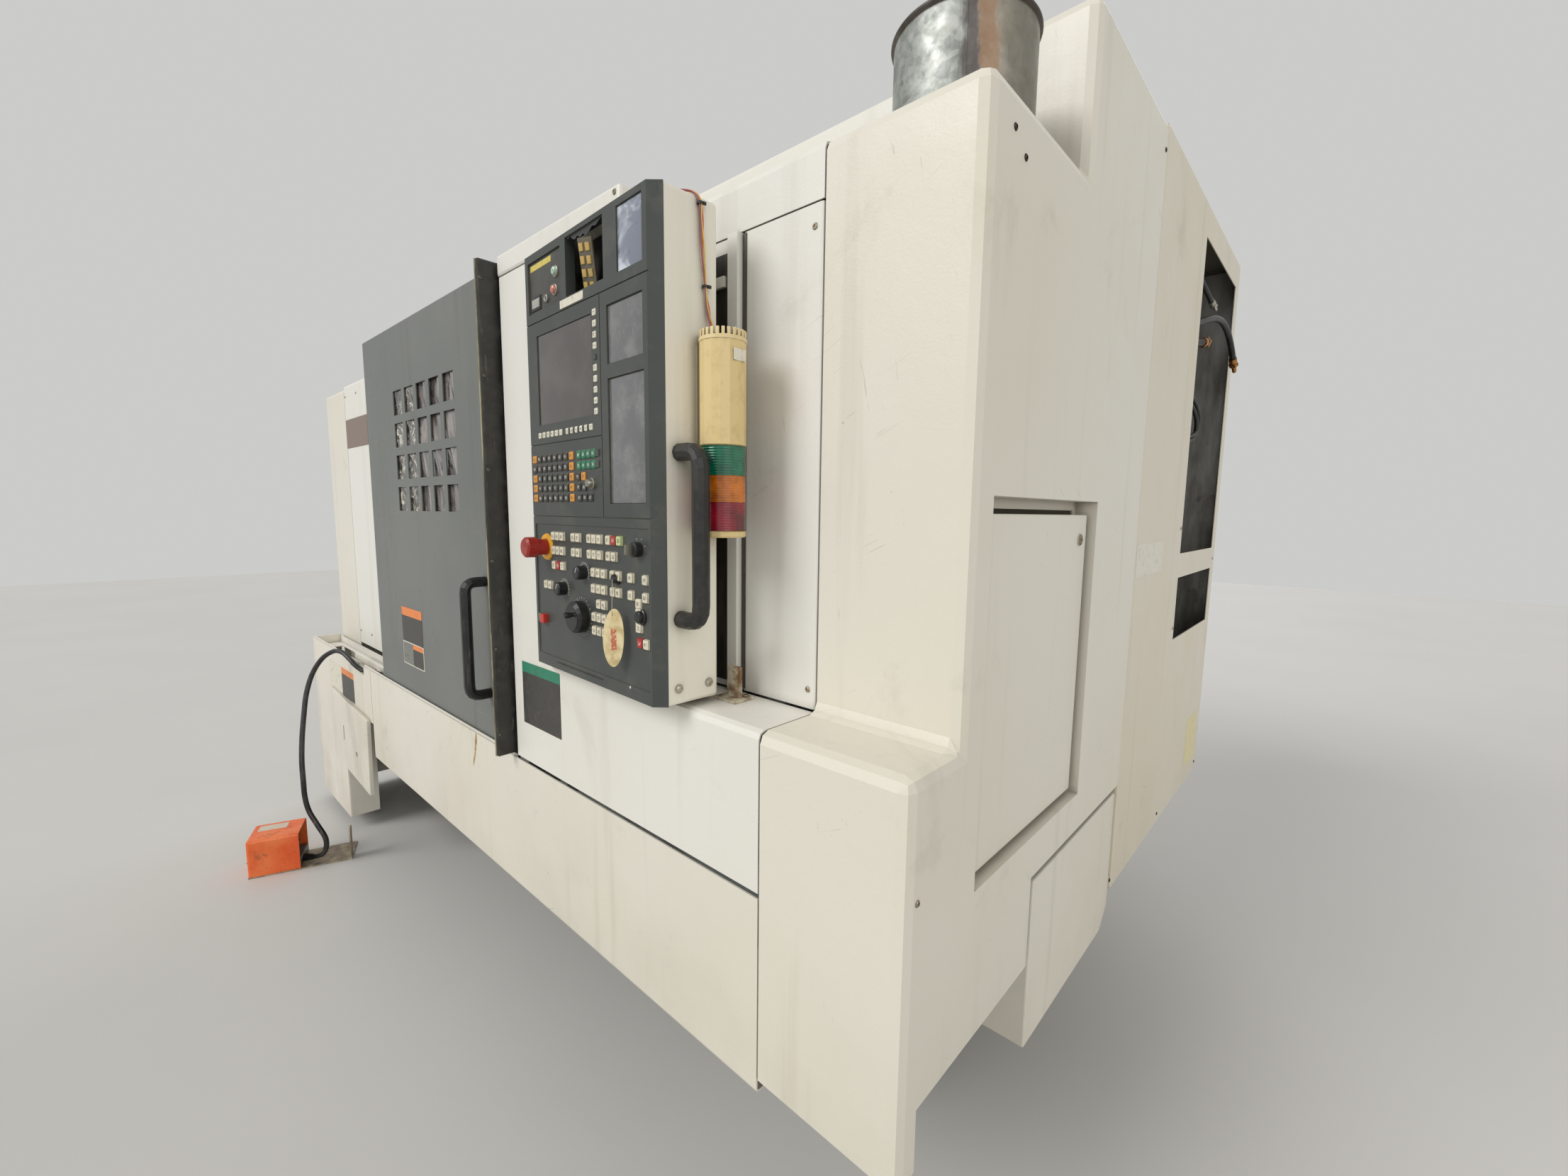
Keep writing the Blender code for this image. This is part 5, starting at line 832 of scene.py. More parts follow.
keys_tree = bpy.data.node_groups.new("key_caps", "GeometryNodeTree")
for label, kind in (
    ("Geometry", "NodeSocketGeometry"), ("Cap", "NodeSocketObject"), ("Finish", "NodeSocketMaterial"),
):
    keys_tree.interface.new_socket(label, in_out="INPUT", socket_type=kind)
keys_tree.interface.new_socket("Geometry", in_out="OUTPUT", socket_type="NodeSocketGeometry")
keys_in = tree_node(keys_tree, "NodeGroupInput").outputs
keys_size = tree_node(
    keys_tree, "GeometryNodeInputNamedAttribute", {0: "cap_size"}, data_type="FLOAT_VECTOR"
).outputs[0]
cap_shape = tree_node(keys_tree, "GeometryNodeObjectInfo", {"Object": keys_in["Cap"]}).outputs["Geometry"]
caps = tree_node(
    keys_tree,
    "GeometryNodeInstanceOnPoints",
    {"Points": keys_in["Geometry"], "Instance": cap_shape, "Rotation": (math.pi / 2, 0, 0), "Scale": keys_size},
).outputs[0]
caps_real = tree_node(keys_tree, "GeometryNodeRealizeInstances", {0: caps}).outputs[0]
caps_done = tree_node(keys_tree, "GeometryNodeSetMaterial", {0: caps_real, "Material": keys_in["Finish"]}).outputs[0]
tree_node(keys_tree, "NodeGroupOutput", {0: caps_done})

key_plastic = Finish("key_plastic", roughness=0.42)
key_tone = key_plastic.node("Attribute", {}, "Color", attribute_name="key_tone")
key_spot = key_plastic.node("Attribute", {}, "Vector", attribute_name="cap_spot")
key_x, key_y = (
    key_plastic.node("Math", {0: key_plastic.along(axis, key_spot)}, operation="ABSOLUTE") for axis in (0, 1)
)
key_middle = key_plastic.times(
    key_plastic.band(key_x, 0.27, 0.22), key_plastic.band(key_y, 0.22, 0.17),
    key_plastic.band(key_plastic.along(2, key_spot), 0.90, 0.92),
)
key_ink = key_plastic.times(key_middle, key_plastic.spots(0.46, 0.54, 640, 2, 0.7))
key_dark = key_plastic.node("Attribute", {}, "Color", attribute_name="key_ink")
key_rub = key_plastic.spots(0.46, 0.70, 85, 4, 0.7)
key_face = key_plastic.blend(key_plastic.times(key_ink, 0.85), key_tone, key_dark)
key_face = key_plastic.blend(key_plastic.times(key_rub, 0.32), key_face, (112, 96, 66))
# Round the foot of each cap an ambient-occlusion darkening paints shade.
key_plastic.set(
    "Base Color", key_plastic.blend(key_plastic.times(key_plastic.crevice(0.003), 0.6), key_face, (48, 42, 32))
)
key_plastic.relief(key_plastic.cloud(500, 2), 0.0001, 0.5)

ivory, red, green, orange, black, pale_green = (
    (224, 217, 194), (176, 40, 42), (28, 118, 84), (214, 146, 58), (44, 46, 46), (196, 210, 150)
)


def keys(name, rows, base_depth, wide, tall, proud, tone, ink, special=()):
    """Key caps on the panel. Rows give their height, first place, pitch and count."""
    spots, sizes, tones = [], [], []
    for up, first, pitch, count in rows:
        for number in range(count):
            spots.append((first + number * pitch, base_depth, up))
            sizes.append((wide, tall, proud))
            tones.append(tone)
    for across_it, up, colour in special:
        nearest = min(range(len(spots)), key=lambda n: (spots[n][0] - across_it) ** 2 + (spots[n][2] - up) ** 2)
        tones[nearest] = colour
    points = bpy.data.meshes.new(name + "_points")
    points.from_pydata(spots, [], [])
    for label, kind, values in (("cap_size", "FLOAT_VECTOR", sizes), ("key_tone", "FLOAT_COLOR", tones)):
        attribute = points.attributes.new(label, kind, "POINT")
        for item, value in zip(attribute.data, values):
            if kind == "FLOAT_COLOR":
                item.color = srgb(*value)
            else:
                item.vector = value
    inks = points.attributes.new("key_ink", "FLOAT_COLOR", "POINT")
    for item, value in zip(inks.data, tones):
        item.color = srgb(*(ink if value == tone else (60, 50, 40) if sum(value) > 330 else (220, 214, 196)))
    return grown(
        name, keys_tree, "panel", 40, start=points, frame_at=panel_frame,
        Cap=key_cap, Finish=key_plastic.material,
    )


keys(
    "operation_keys",
    [
        (0.258, 0.092, 0.0175, 3), (0.258, 0.172, 0.0175, 2), (0.258, 0.231, 0.0175, 3), (0.258, 0.296, 0.0175, 3),
        (0.231, 0.092, 0.0175, 3), (0.231, 0.172, 0.0175, 2), (0.231, 0.231, 0.0175, 3), (0.231, 0.296, 0.0175, 2),
        (0.203, 0.092, 0.0175, 3),
        (0.200, 0.243, 0.0175, 3), (0.200, 0.308, 0.0175, 2), (0.200, 0.364, 0.0175, 1), (0.200, 0.407, 0.0175, 1),
        (0.172, 0.243, 0.0175, 3), (0.172, 0.308, 0.0175, 2), (0.172, 0.364, 0.0175, 1), (0.172, 0.407, 0.0175, 1),
        (0.146, 0.260, 0.0175, 2), (0.146, 0.387, 0.0175, 1),
        (0.122, 0.243, 0.0175, 3), (0.122, 0.387, 0.0175, 1),
        (0.098, 0.243, 0.0175, 3), (0.098, 0.390, 0.0175, 2),
        (0.163, 0.055, 0.0175, 2),
    ],
    0.0022, 0.0153, 0.0163, 0.0058, ivory, (64, 58, 48),
    [(0.3135, 0.258, red), (0.1095, 0.203, red), (0.390, 0.098, red), (0.3435, 0.258, pale_green)],
)
keys(
    "side_keys", [(0.1865 - 0.026 * row, 0.3855, 0.0205, 1) for row in range(1, 3)],
    0.0022, 0.0150, 0.0160, 0.0050, ivory, (64, 58, 48),
)
keys(
    "letter_keys", [(0.403 - 0.0185 * row, 0.0225, 0.0215, 8) for row in range(5)],
    0.0003, 0.0158, 0.0140, 0.0032, (50, 52, 51), (206, 204, 192),
    [(0.0225, 0.403, orange), (0.0225, 0.366, orange), (0.0225, 0.3475, orange), (0.0225, 0.329, orange)]
    + [(0.173, 0.403 - 0.0185 * row, orange) for row in range(5)],
)
keys(
    "menu_keys", [(0.403 - 0.0185 * row, 0.2015, 0.0172, 4) for row in range(2)],
    0.0003, 0.0142, 0.0146, 0.0032, green, (210, 216, 200),
)
keys(
    "arrow_keys",
    [(0.3655, 0.197, 0.0195, 2), (0.347, 0.219, 0.0195, 1), (0.329, 0.2015, 0.0195, 3), (0.3475, 0.199, 0.02, 1)],
    0.0003, 0.0142, 0.0140, 0.0030, (46, 48, 47), (206, 204, 192), [(0.2165, 0.3655, orange)],
)
keys(
    "screen_keys",
    [(0.628 - 0.0175 * row, 0.2655, 0.02, 1) for row in range(10) if row != 4]
    + [(0.4465, 0.049, 0.0172, 6), (0.4465, 0.049 + 6.5 * 0.0172, 0.0172, 6)],
    0.0003, 0.0100, 0.0108, 0.0028, (228, 224, 206), (66, 60, 50),
)

# Sunken panes: smoked acrylic with a haze of fine scratches, held by the bezel's own edge.
acrylic = Finish("smoked_acrylic", roughness=0.2)
acrylic_haze = acrylic.spots(0.40, 0.72, 20, 5, 0.65)
acrylic_lines = acrylic.spots(0.66, 0.72, (300, 300, 12), 2, turn=(0.2, 0.3, 0))
acrylic_tone = acrylic.blend(acrylic_haze, (104, 105, 106), (130, 130, 130))
acrylic.set("Base Color", acrylic.blend(acrylic.times(acrylic_lines, 0.35), acrylic_tone, (160, 158, 152)))
acrylic.rough(acrylic_haze, 0.14, 0.34)
acrylic.set("Coat Weight", 0.4)
acrylic.set("Coat Roughness", 0.1)
acrylic.relief(acrylic.cloud(5), 0.0006, 0.3)


def panel_box_piece(name, finish, left, low, right, high, front, behind, round_by=0.0006):
    """A block on the panel between two corners given across and up, and two depths."""
    return block(name, (left, front, low), (right, behind, high), finish, "panel", panel_frame, round_by)


panel_box_piece("upper_pane", acrylic, 0.3042, 0.5412, 0.4068, 0.6298, 0.0026, 0.0042)
panel_box_piece("lower_pane", acrylic, 0.3042, 0.3192, 0.4088, 0.5168, 0.0026, 0.0042)
# The right-hand pane shows a painted reflection of the sky: pale blue-white patches over blue grey, with darker
# smudges.
sky_reflection_pane = Finish("sky_lit_pane", roughness=0.08)
painted_sky_reflection = sky_reflection_pane.spots(0.44, 0.60, 9, 4, 0.6, warp=0.8)
sky_reflection_tone = sky_reflection_pane.blend(painted_sky_reflection, (118, 126, 142), (222, 228, 240))
blue_smudge = sky_reflection_pane.spots(0.60, 0.68, 48, 5, 0.7)
sky_reflection_pane.set("Base Color", sky_reflection_pane.blend(sky_reflection_pane.times(blue_smudge, 0.5), sky_reflection_tone, (74, 78, 84)))
sky_reflection_pane.set("Coat Weight", 0.8)
sky_reflection_pane.set("Coat Roughness", 0.04)
sky_reflection_pane.relief(sky_reflection_pane.cloud(8, 3), 0.0008, 0.3)
panel_box_piece("right_hand_pane", sky_reflection_pane, 0.3382, 0.6732, 0.4078, 0.7668, 0.0024, 0.0042)

# The counter window: a dark card with a yellow band, two lamps, a counter and a small key lock.
card = sticker("counter_card", (62, 62, 58), (110, 104, 90))
panel_box_piece("counter_card", card, 0.0172, 0.6732, 0.1468, 0.7628, 0.0030, 0.0042, 0.0004)
for name, finish, edges, depths, round_by in (
    ("counter_band", sticker("yellow_band", (214, 196, 96)), (0.022, 0.7485, 0.108, 0.7590), (0.0026, 0.0031), 0.0002),
    (
        "counter_frame", moulded("counter_black", (26, 26, 25)),
        (0.0235, 0.6765, 0.0640, 0.7020), (0.0012, 0.0032), 0.0012,
    ),
    (
        "counter_glass", sticker("counter_grey", (168, 168, 158), gloss=0.2),
        (0.0285, 0.6815, 0.0590, 0.6970), (0.0009, 0.0015), 0.0002,
    ),
):
    panel_box_piece(name, finish, *edges, *depths, round_by)


def panel_turned(name, finish, across_it, up, profile, steps=32, base=0.0, sharp=35):
    """A turned piece standing on the panel's face, its height measured towards the operator."""
    frame_at = panel_frame @ Matrix.Translation((across_it, base, up)) @ Matrix.Rotation(math.pi / 2, 4, "X")
    return skin(name, add_turned(bmesh.new(), profile, frame_at, steps), finish, "panel", sharp)


def lamp_plastic(name, colour):
    made = Finish(name, roughness=0.18)
    tone = made.blend(made.spots(0.35, 0.65, 120, 3), colour, tuple(c * 0.78 for c in colour))
    made.set("Base Color", tone)
    made.set("Coat Weight", 0.6)
    made.relief(made.cells(420), 0.0002, 0.5)
    return made


lamp_ring = bright_steel("lamp_ring_steel", (170, 168, 160), 0.2)
for name, across_it, up, colour in (
    ("start_lamp", 0.1265, 0.7265, (186, 216, 190)), ("stop_lamp", 0.1215, 0.6965, (214, 130, 112)),
):
    panel_turned(
        name + "_ring", lamp_ring, across_it, up,
        [(0, 0), (0.0098, 0), (0.0098, 0.0022), (0.0088, 0.0030), (0.0078, 0.0026), (0, 0.0026)], base=0.0031,
    )
    panel_turned(
        name, lamp_plastic(name, colour), across_it, up,
        [(0, 0.0020), (0.0076, 0.0020), (0.0074, 0.0052), (0.0060, 0.0070), (0.0032, 0.0080), (0, 0.0083)], base=0.0031,
    )
lock_profile = [
    (0, 0), (0.0072, 0), (0.0072, 0.0030), (0.0060, 0.0042), (0.0050, 0.0042), (0.0046, 0.0034), (0, 0.0034),
]
panel_turned("counter_lock", lamp_ring, 0.0880, 0.6890, lock_profile, base=0.0031)
panel_box_piece(
    "counter_lock_slot", moulded("slot_black", (16, 16, 16)),
    0.0871, 0.6858, 0.0889, 0.6922, -0.0006, 0.0006, 0.0002,
)

# The broken window: its moulded frame has snapped, and the small keypad behind hangs tilted.
shard = moulded("snapped_bezel", (46, 49, 48), 0.5, 0.4)
broken = bmesh.new()
jag = [
    (0.1682, 0.0), (0.1750, 0.0035), (0.1835, 0.0012), (0.1905, 0.0072), (0.2000, 0.0105), (0.2075, 0.0068),
    (0.2190, 0.0125), (0.2280, 0.0088), (0.2365, 0.0150), (0.2490, 0.0112), (0.2580, 0.0060), (0.2700, 0.0085),
    (0.2810, 0.0038), (0.2958, 0.0),
]
front_low = [broken.verts.new(on_panel(x, 0.0030, 0.7700 - fall)) for x, fall in jag]
front_high = [broken.verts.new(on_panel(x, 0.0030, 0.7702)) for x, _ in jag]
rear_low = [broken.verts.new(on_panel(x, 0.0056, 0.7700 - fall * 0.8)) for x, fall in jag]
rear_high = [broken.verts.new(on_panel(x, 0.0056, 0.7702)) for x, _ in jag]
for k in range(len(jag) - 1):
    broken.faces.new((front_low[k], front_low[k + 1], front_high[k + 1], front_high[k]))
    broken.faces.new((rear_high[k], rear_high[k + 1], rear_low[k + 1], rear_low[k]))
    broken.faces.new((front_low[k + 1], front_low[k], rear_low[k], rear_low[k + 1]))
    broken.faces.new((front_high[k], front_high[k + 1], rear_high[k + 1], rear_high[k]))
broken.faces.new((front_low[0], front_high[0], rear_high[0], rear_low[0]))
broken.faces.new((front_high[-1], front_low[-1], rear_low[-1], rear_high[-1]))
bmesh.ops.remove_doubles(broken, verts=broken.verts, dist=0.00005)
skin("snapped_edge", broken, shard, "panel")
flap_frame = (
    panel_frame @ Matrix.Translation((0.2930, 0.0045, 0.6760)) @ Matrix.Rotation(math.radians(16), 4, "Y")
    @ Matrix.Rotation(math.radians(-24), 4, "Z")
)
skin(
    "snapped_flap", add_box(bmesh.new(), (-0.026, 0.0, -0.002), (0.000, 0.0026, 0.082), flap_frame, 0.0006),
    shard, "panel",
)
keypad_frame = (
    panel_frame @ Matrix.Translation((0.2225, 0.0125, 0.7165)) @ Matrix.Rotation(math.radians(12), 4, "Y")
    @ Matrix.Rotation(math.radians(14), 4, "X")
)
keypad_card = sticker("keypad_card", (92, 84, 68), (140, 130, 108))
skin(
    "loose_keypad", add_box(bmesh.new(), (-0.024, 0, -0.044), (0.024, 0.003, 0.040), keypad_frame, 0.0008),
    keypad_card, "panel",
)
keypad_keys = bmesh.new()
for row in range(4):
    for column in range(2):
        x, z = -0.0125 + column * 0.0225, 0.026 - row * 0.0195
        add_box(keypad_keys, (x - 0.0068, -0.0022, z - 0.0062), (x + 0.0068, 0.0004, z + 0.0062), keypad_frame, 0.0012)
skin("loose_keypad_keys", keypad_keys, sticker("beige_key", (196, 164, 92), (120, 96, 60)), "panel")
# A near-black plate at the back of the broken window's hollow paints the shade inside it.
hollow_shade_black = Finish("panel_well_black", roughness=0.8)
hollow_shade_black.set("Base Color", hollow_shade_black.blend(hollow_shade_black.cloud(30, 4), (14, 14, 13), (34, 31, 27)))
hollow_shade_black.relief(hollow_shade_black.cloud(60, 3), 0.001, 0.5)
panel_box_piece("window_well", hollow_shade_black, 0.1682, 0.6732, 0.2958, 0.7698, 0.0385, 0.0393, 0.0002)
bare_plate(
    "window_sticker", "panel", sticker("white_sticker", (224, 218, 202)),
    panel_frame @ Matrix.Translation((0.187, -0.0002, 0.6640)) @ Matrix.Rotation(math.pi / 2, 4, "X"),
    0.084, 0.0135, 0.0005, 0.001,
)

# Switches: a jog knob, selector buttons, a two-colour rocker, dials with white arcs and a crank.
knob_black = moulded("small_knob_black", (28, 29, 29), 0.32, 0.5)
silver = bright_steel("knob_silver", (158, 154, 142), 0.35)
button_profile = [
    (0, 0), (0.0135, 0), (0.0135, 0.0030), (0.0118, 0.0042), (0.0104, 0.0042), (0.0098, 0.0085),
    (0.0082, 0.0102), (0, 0.0106),
]
panel_turned("jog_knob", silver, 0.2482, 0.3526, [(r * 0.72, h * 1.25) for r, h in button_profile])
panel_turned("chuck_button", knob_black, 0.3915, 0.1405, button_profile, base=0.002)
panel_turned("feed_button", knob_black, 0.3190, 0.1955, [(r * 0.75, h) for r, h in button_profile], base=0.002)
for name, colour, left, low, right, front in (
    ("rocker_green", (30, 128, 80), 0.0225, 0.0870, 0.0335, -0.0055),
    ("rocker_red", (190, 52, 44), 0.0340, 0.0860, 0.0520, -0.0085),
):
    panel_box_piece(name, moulded(name, colour), left, low, right, 0.1035, front, 0.0024, 0.0016)
dial_white = sticker("dial_white", (214, 212, 200))
dial_ink = bmesh.new()
for centre, radius, first, last, count in (
    ((0.204, 0.197), 0.0185, -35, 215, 15), ((0.126, 0.161), 0.0185, -35, 215, 15),
    ((0.192, 0.116), 0.0345, 0, 345, 24), ((0.386, 0.247), 0.0175, 20, 160, 4),
):
    for number in range(count):
        angle = math.radians(first + (last - first) * number / (count - 1))
        tall = 0.0030 if number % 2 == 0 else 0.0018
        mark = (
            panel_frame @ Matrix.Translation((centre[0], 0.0020, centre[1])) @ Matrix.Rotation(-angle, 4, "Y")
            @ Matrix.Translation((radius, 0, 0))
        )
        add_box(dial_ink, (-tall / 2, -0.0003, -0.0004), (tall / 2, 0.0002, 0.0004), mark)
for centre, radius in (((0.204, 0.197), 0.0160), ((0.126, 0.161), 0.0160)):
    for number in range(20):
        angle = math.radians(-35 + 250 * number / 19)
        mark = (
            panel_frame @ Matrix.Translation((centre[0], 0.0020, centre[1])) @ Matrix.Rotation(-angle, 4, "Y")
            @ Matrix.Translation((radius, 0, 0))
        )
        add_box(dial_ink, (-0.0003, -0.0003, -0.0016), (0.0003, 0.0002, 0.0016), mark)
skin("dial_marks", dial_ink, dial_white, "panel")
for name, centre, radius, top in (
    ("feed_override_knob", (0.204, 0.197), 0.0125, 0.018), ("spindle_override_knob", (0.126, 0.161), 0.0125, 0.018),
):
    line_frame = panel_frame @ Matrix.Translation((centre[0], 0.0020 - top, centre[1])) @ Matrix.Rotation(0.5, 4, "Y")
    skin(
        name + "_line", add_box(bmesh.new(), (-0.0007, -0.0004, 0.001), (0.0007, 0.0002, radius - 0.0014), line_frame),
        dial_white, name,
    )
wheel_grip = bmesh.new()
wheel_frame = (
    panel_frame @ Matrix.Translation((0.192 + 0.017, 0.0020 - 0.022, 0.116 + 0.008))
    @ Matrix.Rotation(math.pi / 2, 4, "X")
)
add_turned(
    wheel_grip,
    [
        (0, -0.001), (0.0046, -0.001), (0.0046, 0.002), (0.0036, 0.004), (0.0050, 0.012), (0.0056, 0.018),
        (0.0044, 0.0205), (0, 0.021),
    ],
    wheel_frame, 20,
)
skin("pulse_wheel_grip", wheel_grip, knob_black, "pulse_handwheel")
key_grip = panel_frame @ Matrix.Translation((0.386, 0.0020 - 0.014, 0.247))
skin(
    "switch_key", add_box(bmesh.new(), (-0.0012, -0.012, -0.008), (0.0012, 0.001, 0.008), key_grip, 0.0006),
    silver, "key_switch",
)

# An oval card tag hangs by a loop of string from a button; its face is blank but for a red patch.
tag_card = Finish("tag_card", roughness=0.6)
tag_tone = tag_card.blend(tag_card.spots(0.40, 0.70, 46, 5, 0.65), (224, 208, 164), (188, 166, 116))
tag_low = tag_card.node(
    "VectorMath", {0: tag_card.place, 1: tuple(on_panel(0.337, -0.018, 0.098))}, operation="SUBTRACT"
)
tag_mark = tag_card.times(
    tag_card.band(tag_card.node("Math", {0: tag_card.along(2, tag_low)}, operation="ABSOLUTE"), 0.020, 0.016),
    tag_card.band(tag_card.node("Math", {0: tag_card.along(0, tag_low)}, operation="ABSOLUTE"), 0.0060, 0.0035),
    tag_card.spots(0.36, 0.52, 210, 3, 0.7),
)
tag_card.set("Base Color", tag_card.blend(tag_card.times(tag_mark, 0.8), tag_tone, (182, 50, 40)))
tag_card.relief(tag_card.cloud(40, 4), 0.0008, 0.5)
tag = bmesh.new()
tag_frame = (
    panel_frame @ Matrix.Translation((0.3365, -0.0185, 0.1005)) @ Matrix.Rotation(math.radians(28), 4, "Z")
    @ Matrix.Rotation(math.radians(3), 4, "Y")
)
tag_faces = []
for side in (0, 1):
    loops = [
        [
            tag.verts.new(
                tag_frame @ Vector((0.0195 * share * x, 0.0011 * side + 0.0016 * (y * share) ** 2, 0.0485 * share * y))
            )
            for x, y in around(40)
        ]
        for share in (1 - ring * 0.24 for ring in range(5))
    ]
    bridge(tag, loops, start=False)
    tag_faces.append(loops[0])
bridge(tag, tag_faces, start=False, end=False)
skin("hanging_tag", tag, tag_card, "panel")


def thread(name, points, radius, finish, body, spacing, sides):
    """A thin round strand through the points, as a closed mesh tube."""
    line = smooth_line(points, spacing)
    shape = bmesh.new()
    loops = []
    normal = Vector((0.12, 0.31, 0.94))
    for here, spot in enumerate(line):
        way = (line[min(here + 1, len(line) - 1)] - line[max(here - 1, 0)]).normalized()
        normal = (normal - way * normal.dot(way)).normalized()
        other = way.cross(normal)
        loops.append([shape.verts.new(spot + (normal * x + other * y) * radius) for x, y in around(sides)])
    bridge(shape, loops)
    return skin(name, shape, finish, body, sharp=50), line, length_of(line)


string = sticker("tag_string", (176, 168, 146), gloss=0.7)
string_piece, string_line, string_length = thread(
    "tag_string",
    [
        on_panel(0.3190, -0.0085, 0.1950), on_panel(0.3230, -0.0105, 0.1800), on_panel(0.3290, -0.0150, 0.1600),
        on_panel(0.3340, -0.0185, 0.1440), on_panel(0.3350, -0.0190, 0.1370),
    ],
    0.0006, string, "panel", 0.003, 6,
)

# The bezel's drawer line and a white dot; two screws hold the side of the box.
panel_box_piece("drawer_lip", shard, 0.089, 0.0125, 0.264, 0.0150, -0.0012, 0.0012, 0.0004)
panel_turned("white_dot", dial_white, 0.3557, 0.0189, [(0, 0), (0.0022, 0), (0.0020, 0.0006), (0, 0.0007)], 16)
box_side = (panel_frame.to_3x3() @ Vector((1, 0, 0))).normalized()
fasteners(
    "box_screws", "panel", bright_steel("box_screw_steel", (190, 184, 168), 0.4), 0.0070,
    [(on_panel(0.4411, depth, up), box_side) for depth, up in ((0.0375, 0.0268), (0.0973, 0.0268))],
)


# ---------------------------------------------------------------------------------------------
# Signal tower. Stacked lens modules under a cream housing, hung base up from the panel's side. The
# lenses are ribbed inside and out, so each is rebuilt with its fine rings.
dress(moulded("tower_housing_cream", (222, 198, 142), 0.38, 0.4), "tower_body", "tower_end_cap")


def lens_plastic(name, colour, deep):
    made = Finish(name, roughness=0.14)
    glow = made.spots(0.3, 0.7, 24, 3)
    made.set("Base Color", made.blend(glow, deep, colour))
    made.set("Coat Weight", 0.6)
    made.set("Coat Roughness", 0.06)
    made.relief(made.cloud(90, 2), 0.0003, 0.4)
    return made


ribs_tree = bpy.data.node_groups.new("lens_rings", "GeometryNodeTree")
for label, kind, value in (
    ("Geometry", "NodeSocketGeometry", None),
    ("Radius", "NodeSocketFloat", 0.036),
    ("Height", "NodeSocketFloat", 0.040),
    ("Rings", "NodeSocketInt", 10),
    ("Ring Depth", "NodeSocketFloat", 0.0007),
    ("Finish", "NodeSocketMaterial", None),
):
    socket = ribs_tree.interface.new_socket(label, in_out="INPUT", socket_type=kind)
    if value is not None:
        socket.default_value = value
ribs_tree.interface.new_socket("Geometry", in_out="OUTPUT", socket_type="NodeSocketGeometry")


given = tree_node(ribs_tree, "NodeGroupInput").outputs
rows = tree_node(ribs_tree, "ShaderNodeMath", {0: given["Rings"], 1: 12.0}, operation="MULTIPLY").outputs[0]
wall = tree_node(
    ribs_tree,
    "GeometryNodeMeshCylinder",
    {"Vertices": 56, "Side Segments": rows, "Radius": given["Radius"], "Depth": given["Height"]},
    fill_type="TRIANGLE_FAN",
)
spot = tree_node(ribs_tree, "GeometryNodeInputPosition").outputs[0]
parts = tree_node(ribs_tree, "ShaderNodeSeparateXYZ", {0: spot}).outputs
ring_at = tree_node(ribs_tree, "ShaderNodeMath", {0: parts[2], 1: given["Height"]}, operation="DIVIDE").outputs[0]
ring_count = tree_node(ribs_tree, "ShaderNodeMath", {0: given["Rings"], 1: math.tau}, operation="MULTIPLY").outputs[0]
ring_turn = tree_node(ribs_tree, "ShaderNodeMath", {0: ring_at, 1: ring_count}, operation="MULTIPLY").outputs[0]
ring_wave = tree_node(ribs_tree, "ShaderNodeMath", {0: ring_turn}, operation="COSINE").outputs[0]
ring_in = tree_node(
    ribs_tree, "ShaderNodeMath", {0: ring_wave, 1: -0.5, 2: -0.5}, operation="MULTIPLY_ADD"
).outputs[0]
ring_depth = tree_node(
    ribs_tree, "ShaderNodeMath", {0: ring_in, 1: given["Ring Depth"]}, operation="MULTIPLY"
).outputs[0]
ring_share = tree_node(ribs_tree, "ShaderNodeMath", {0: ring_depth, 1: given["Radius"]}, operation="DIVIDE").outputs[0]
flat_spot = tree_node(ribs_tree, "ShaderNodeCombineXYZ", {0: parts[0], 1: parts[1]}).outputs[0]
push = tree_node(ribs_tree, "ShaderNodeVectorMath", {0: flat_spot, "Scale": ring_share}, operation="SCALE").outputs[0]
moved = tree_node(ribs_tree, "GeometryNodeSetPosition", {0: wall.outputs["Mesh"], "Offset": push}).outputs[0]
real = tree_node(ribs_tree, "GeometryNodeRealizeInstances", {0: moved}).outputs[0]
coloured = tree_node(ribs_tree, "GeometryNodeSetMaterial", {0: real, "Material": given["Finish"]}).outputs[0]
tree_node(ribs_tree, "NodeGroupOutput", {0: coloured})


tower_low, tower_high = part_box("tower_lens_amber")
tower_middle = (tower_low + tower_high) / 2
for colour_name, colour, deep in (
    ("red", (150, 18, 40), (84, 6, 22)),
    ("amber", (214, 122, 16), (128, 58, 4)),
    ("green", (0, 122, 88), (0, 66, 50)),
):
    low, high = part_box("tower_lens_" + colour_name)
    lens_at = Vector((tower_middle.x, tower_middle.y, (low.z + high.z) / 2))
    lens_piece = grown(
        "ribbed_lens_" + colour_name, ribs_tree, "panel", sharp=70, frame_at=Matrix.Translation(lens_at),
        Radius=0.0358, Height=high.z - low.z, Rings=11, Ring_Depth=0.0009,
        Finish=lens_plastic("lens_" + colour_name, colour, deep).material,
    )
    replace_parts(lens_piece, "tower_lens_" + colour_name)

cream = moulded("tower_cap_cream", (226, 206, 156), 0.42, 0.5)
tower_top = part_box("tower_body")[1].z
tower_at = Vector((tower_middle.x, tower_middle.y, tower_top))
crown = bmesh.new()
for number in range(26):
    angle = math.tau * number / 26
    tooth = Matrix.Translation(tower_at) @ Matrix.Rotation(angle, 4, "Z") @ Matrix.Translation((0.0338, 0, 0))
    add_box(crown, (-0.0022, -0.0024, -0.0005), (0.0020, 0.0024, 0.0105), tooth, 0.0005)
skin("tower_crown", crown, cream, "panel")
skin(
    "tower_crown_floor",
    add_turned(
        bmesh.new(), [(0, 0), (0.0305, 0), (0.0315, 0.0004), (0.0310, 0.0022), (0, 0.0024)],
        Matrix.Translation(tower_at), 48,
    ),
    moulded("tower_crown_dark", (52, 46, 36), 0.5, 0.6), "panel",
)
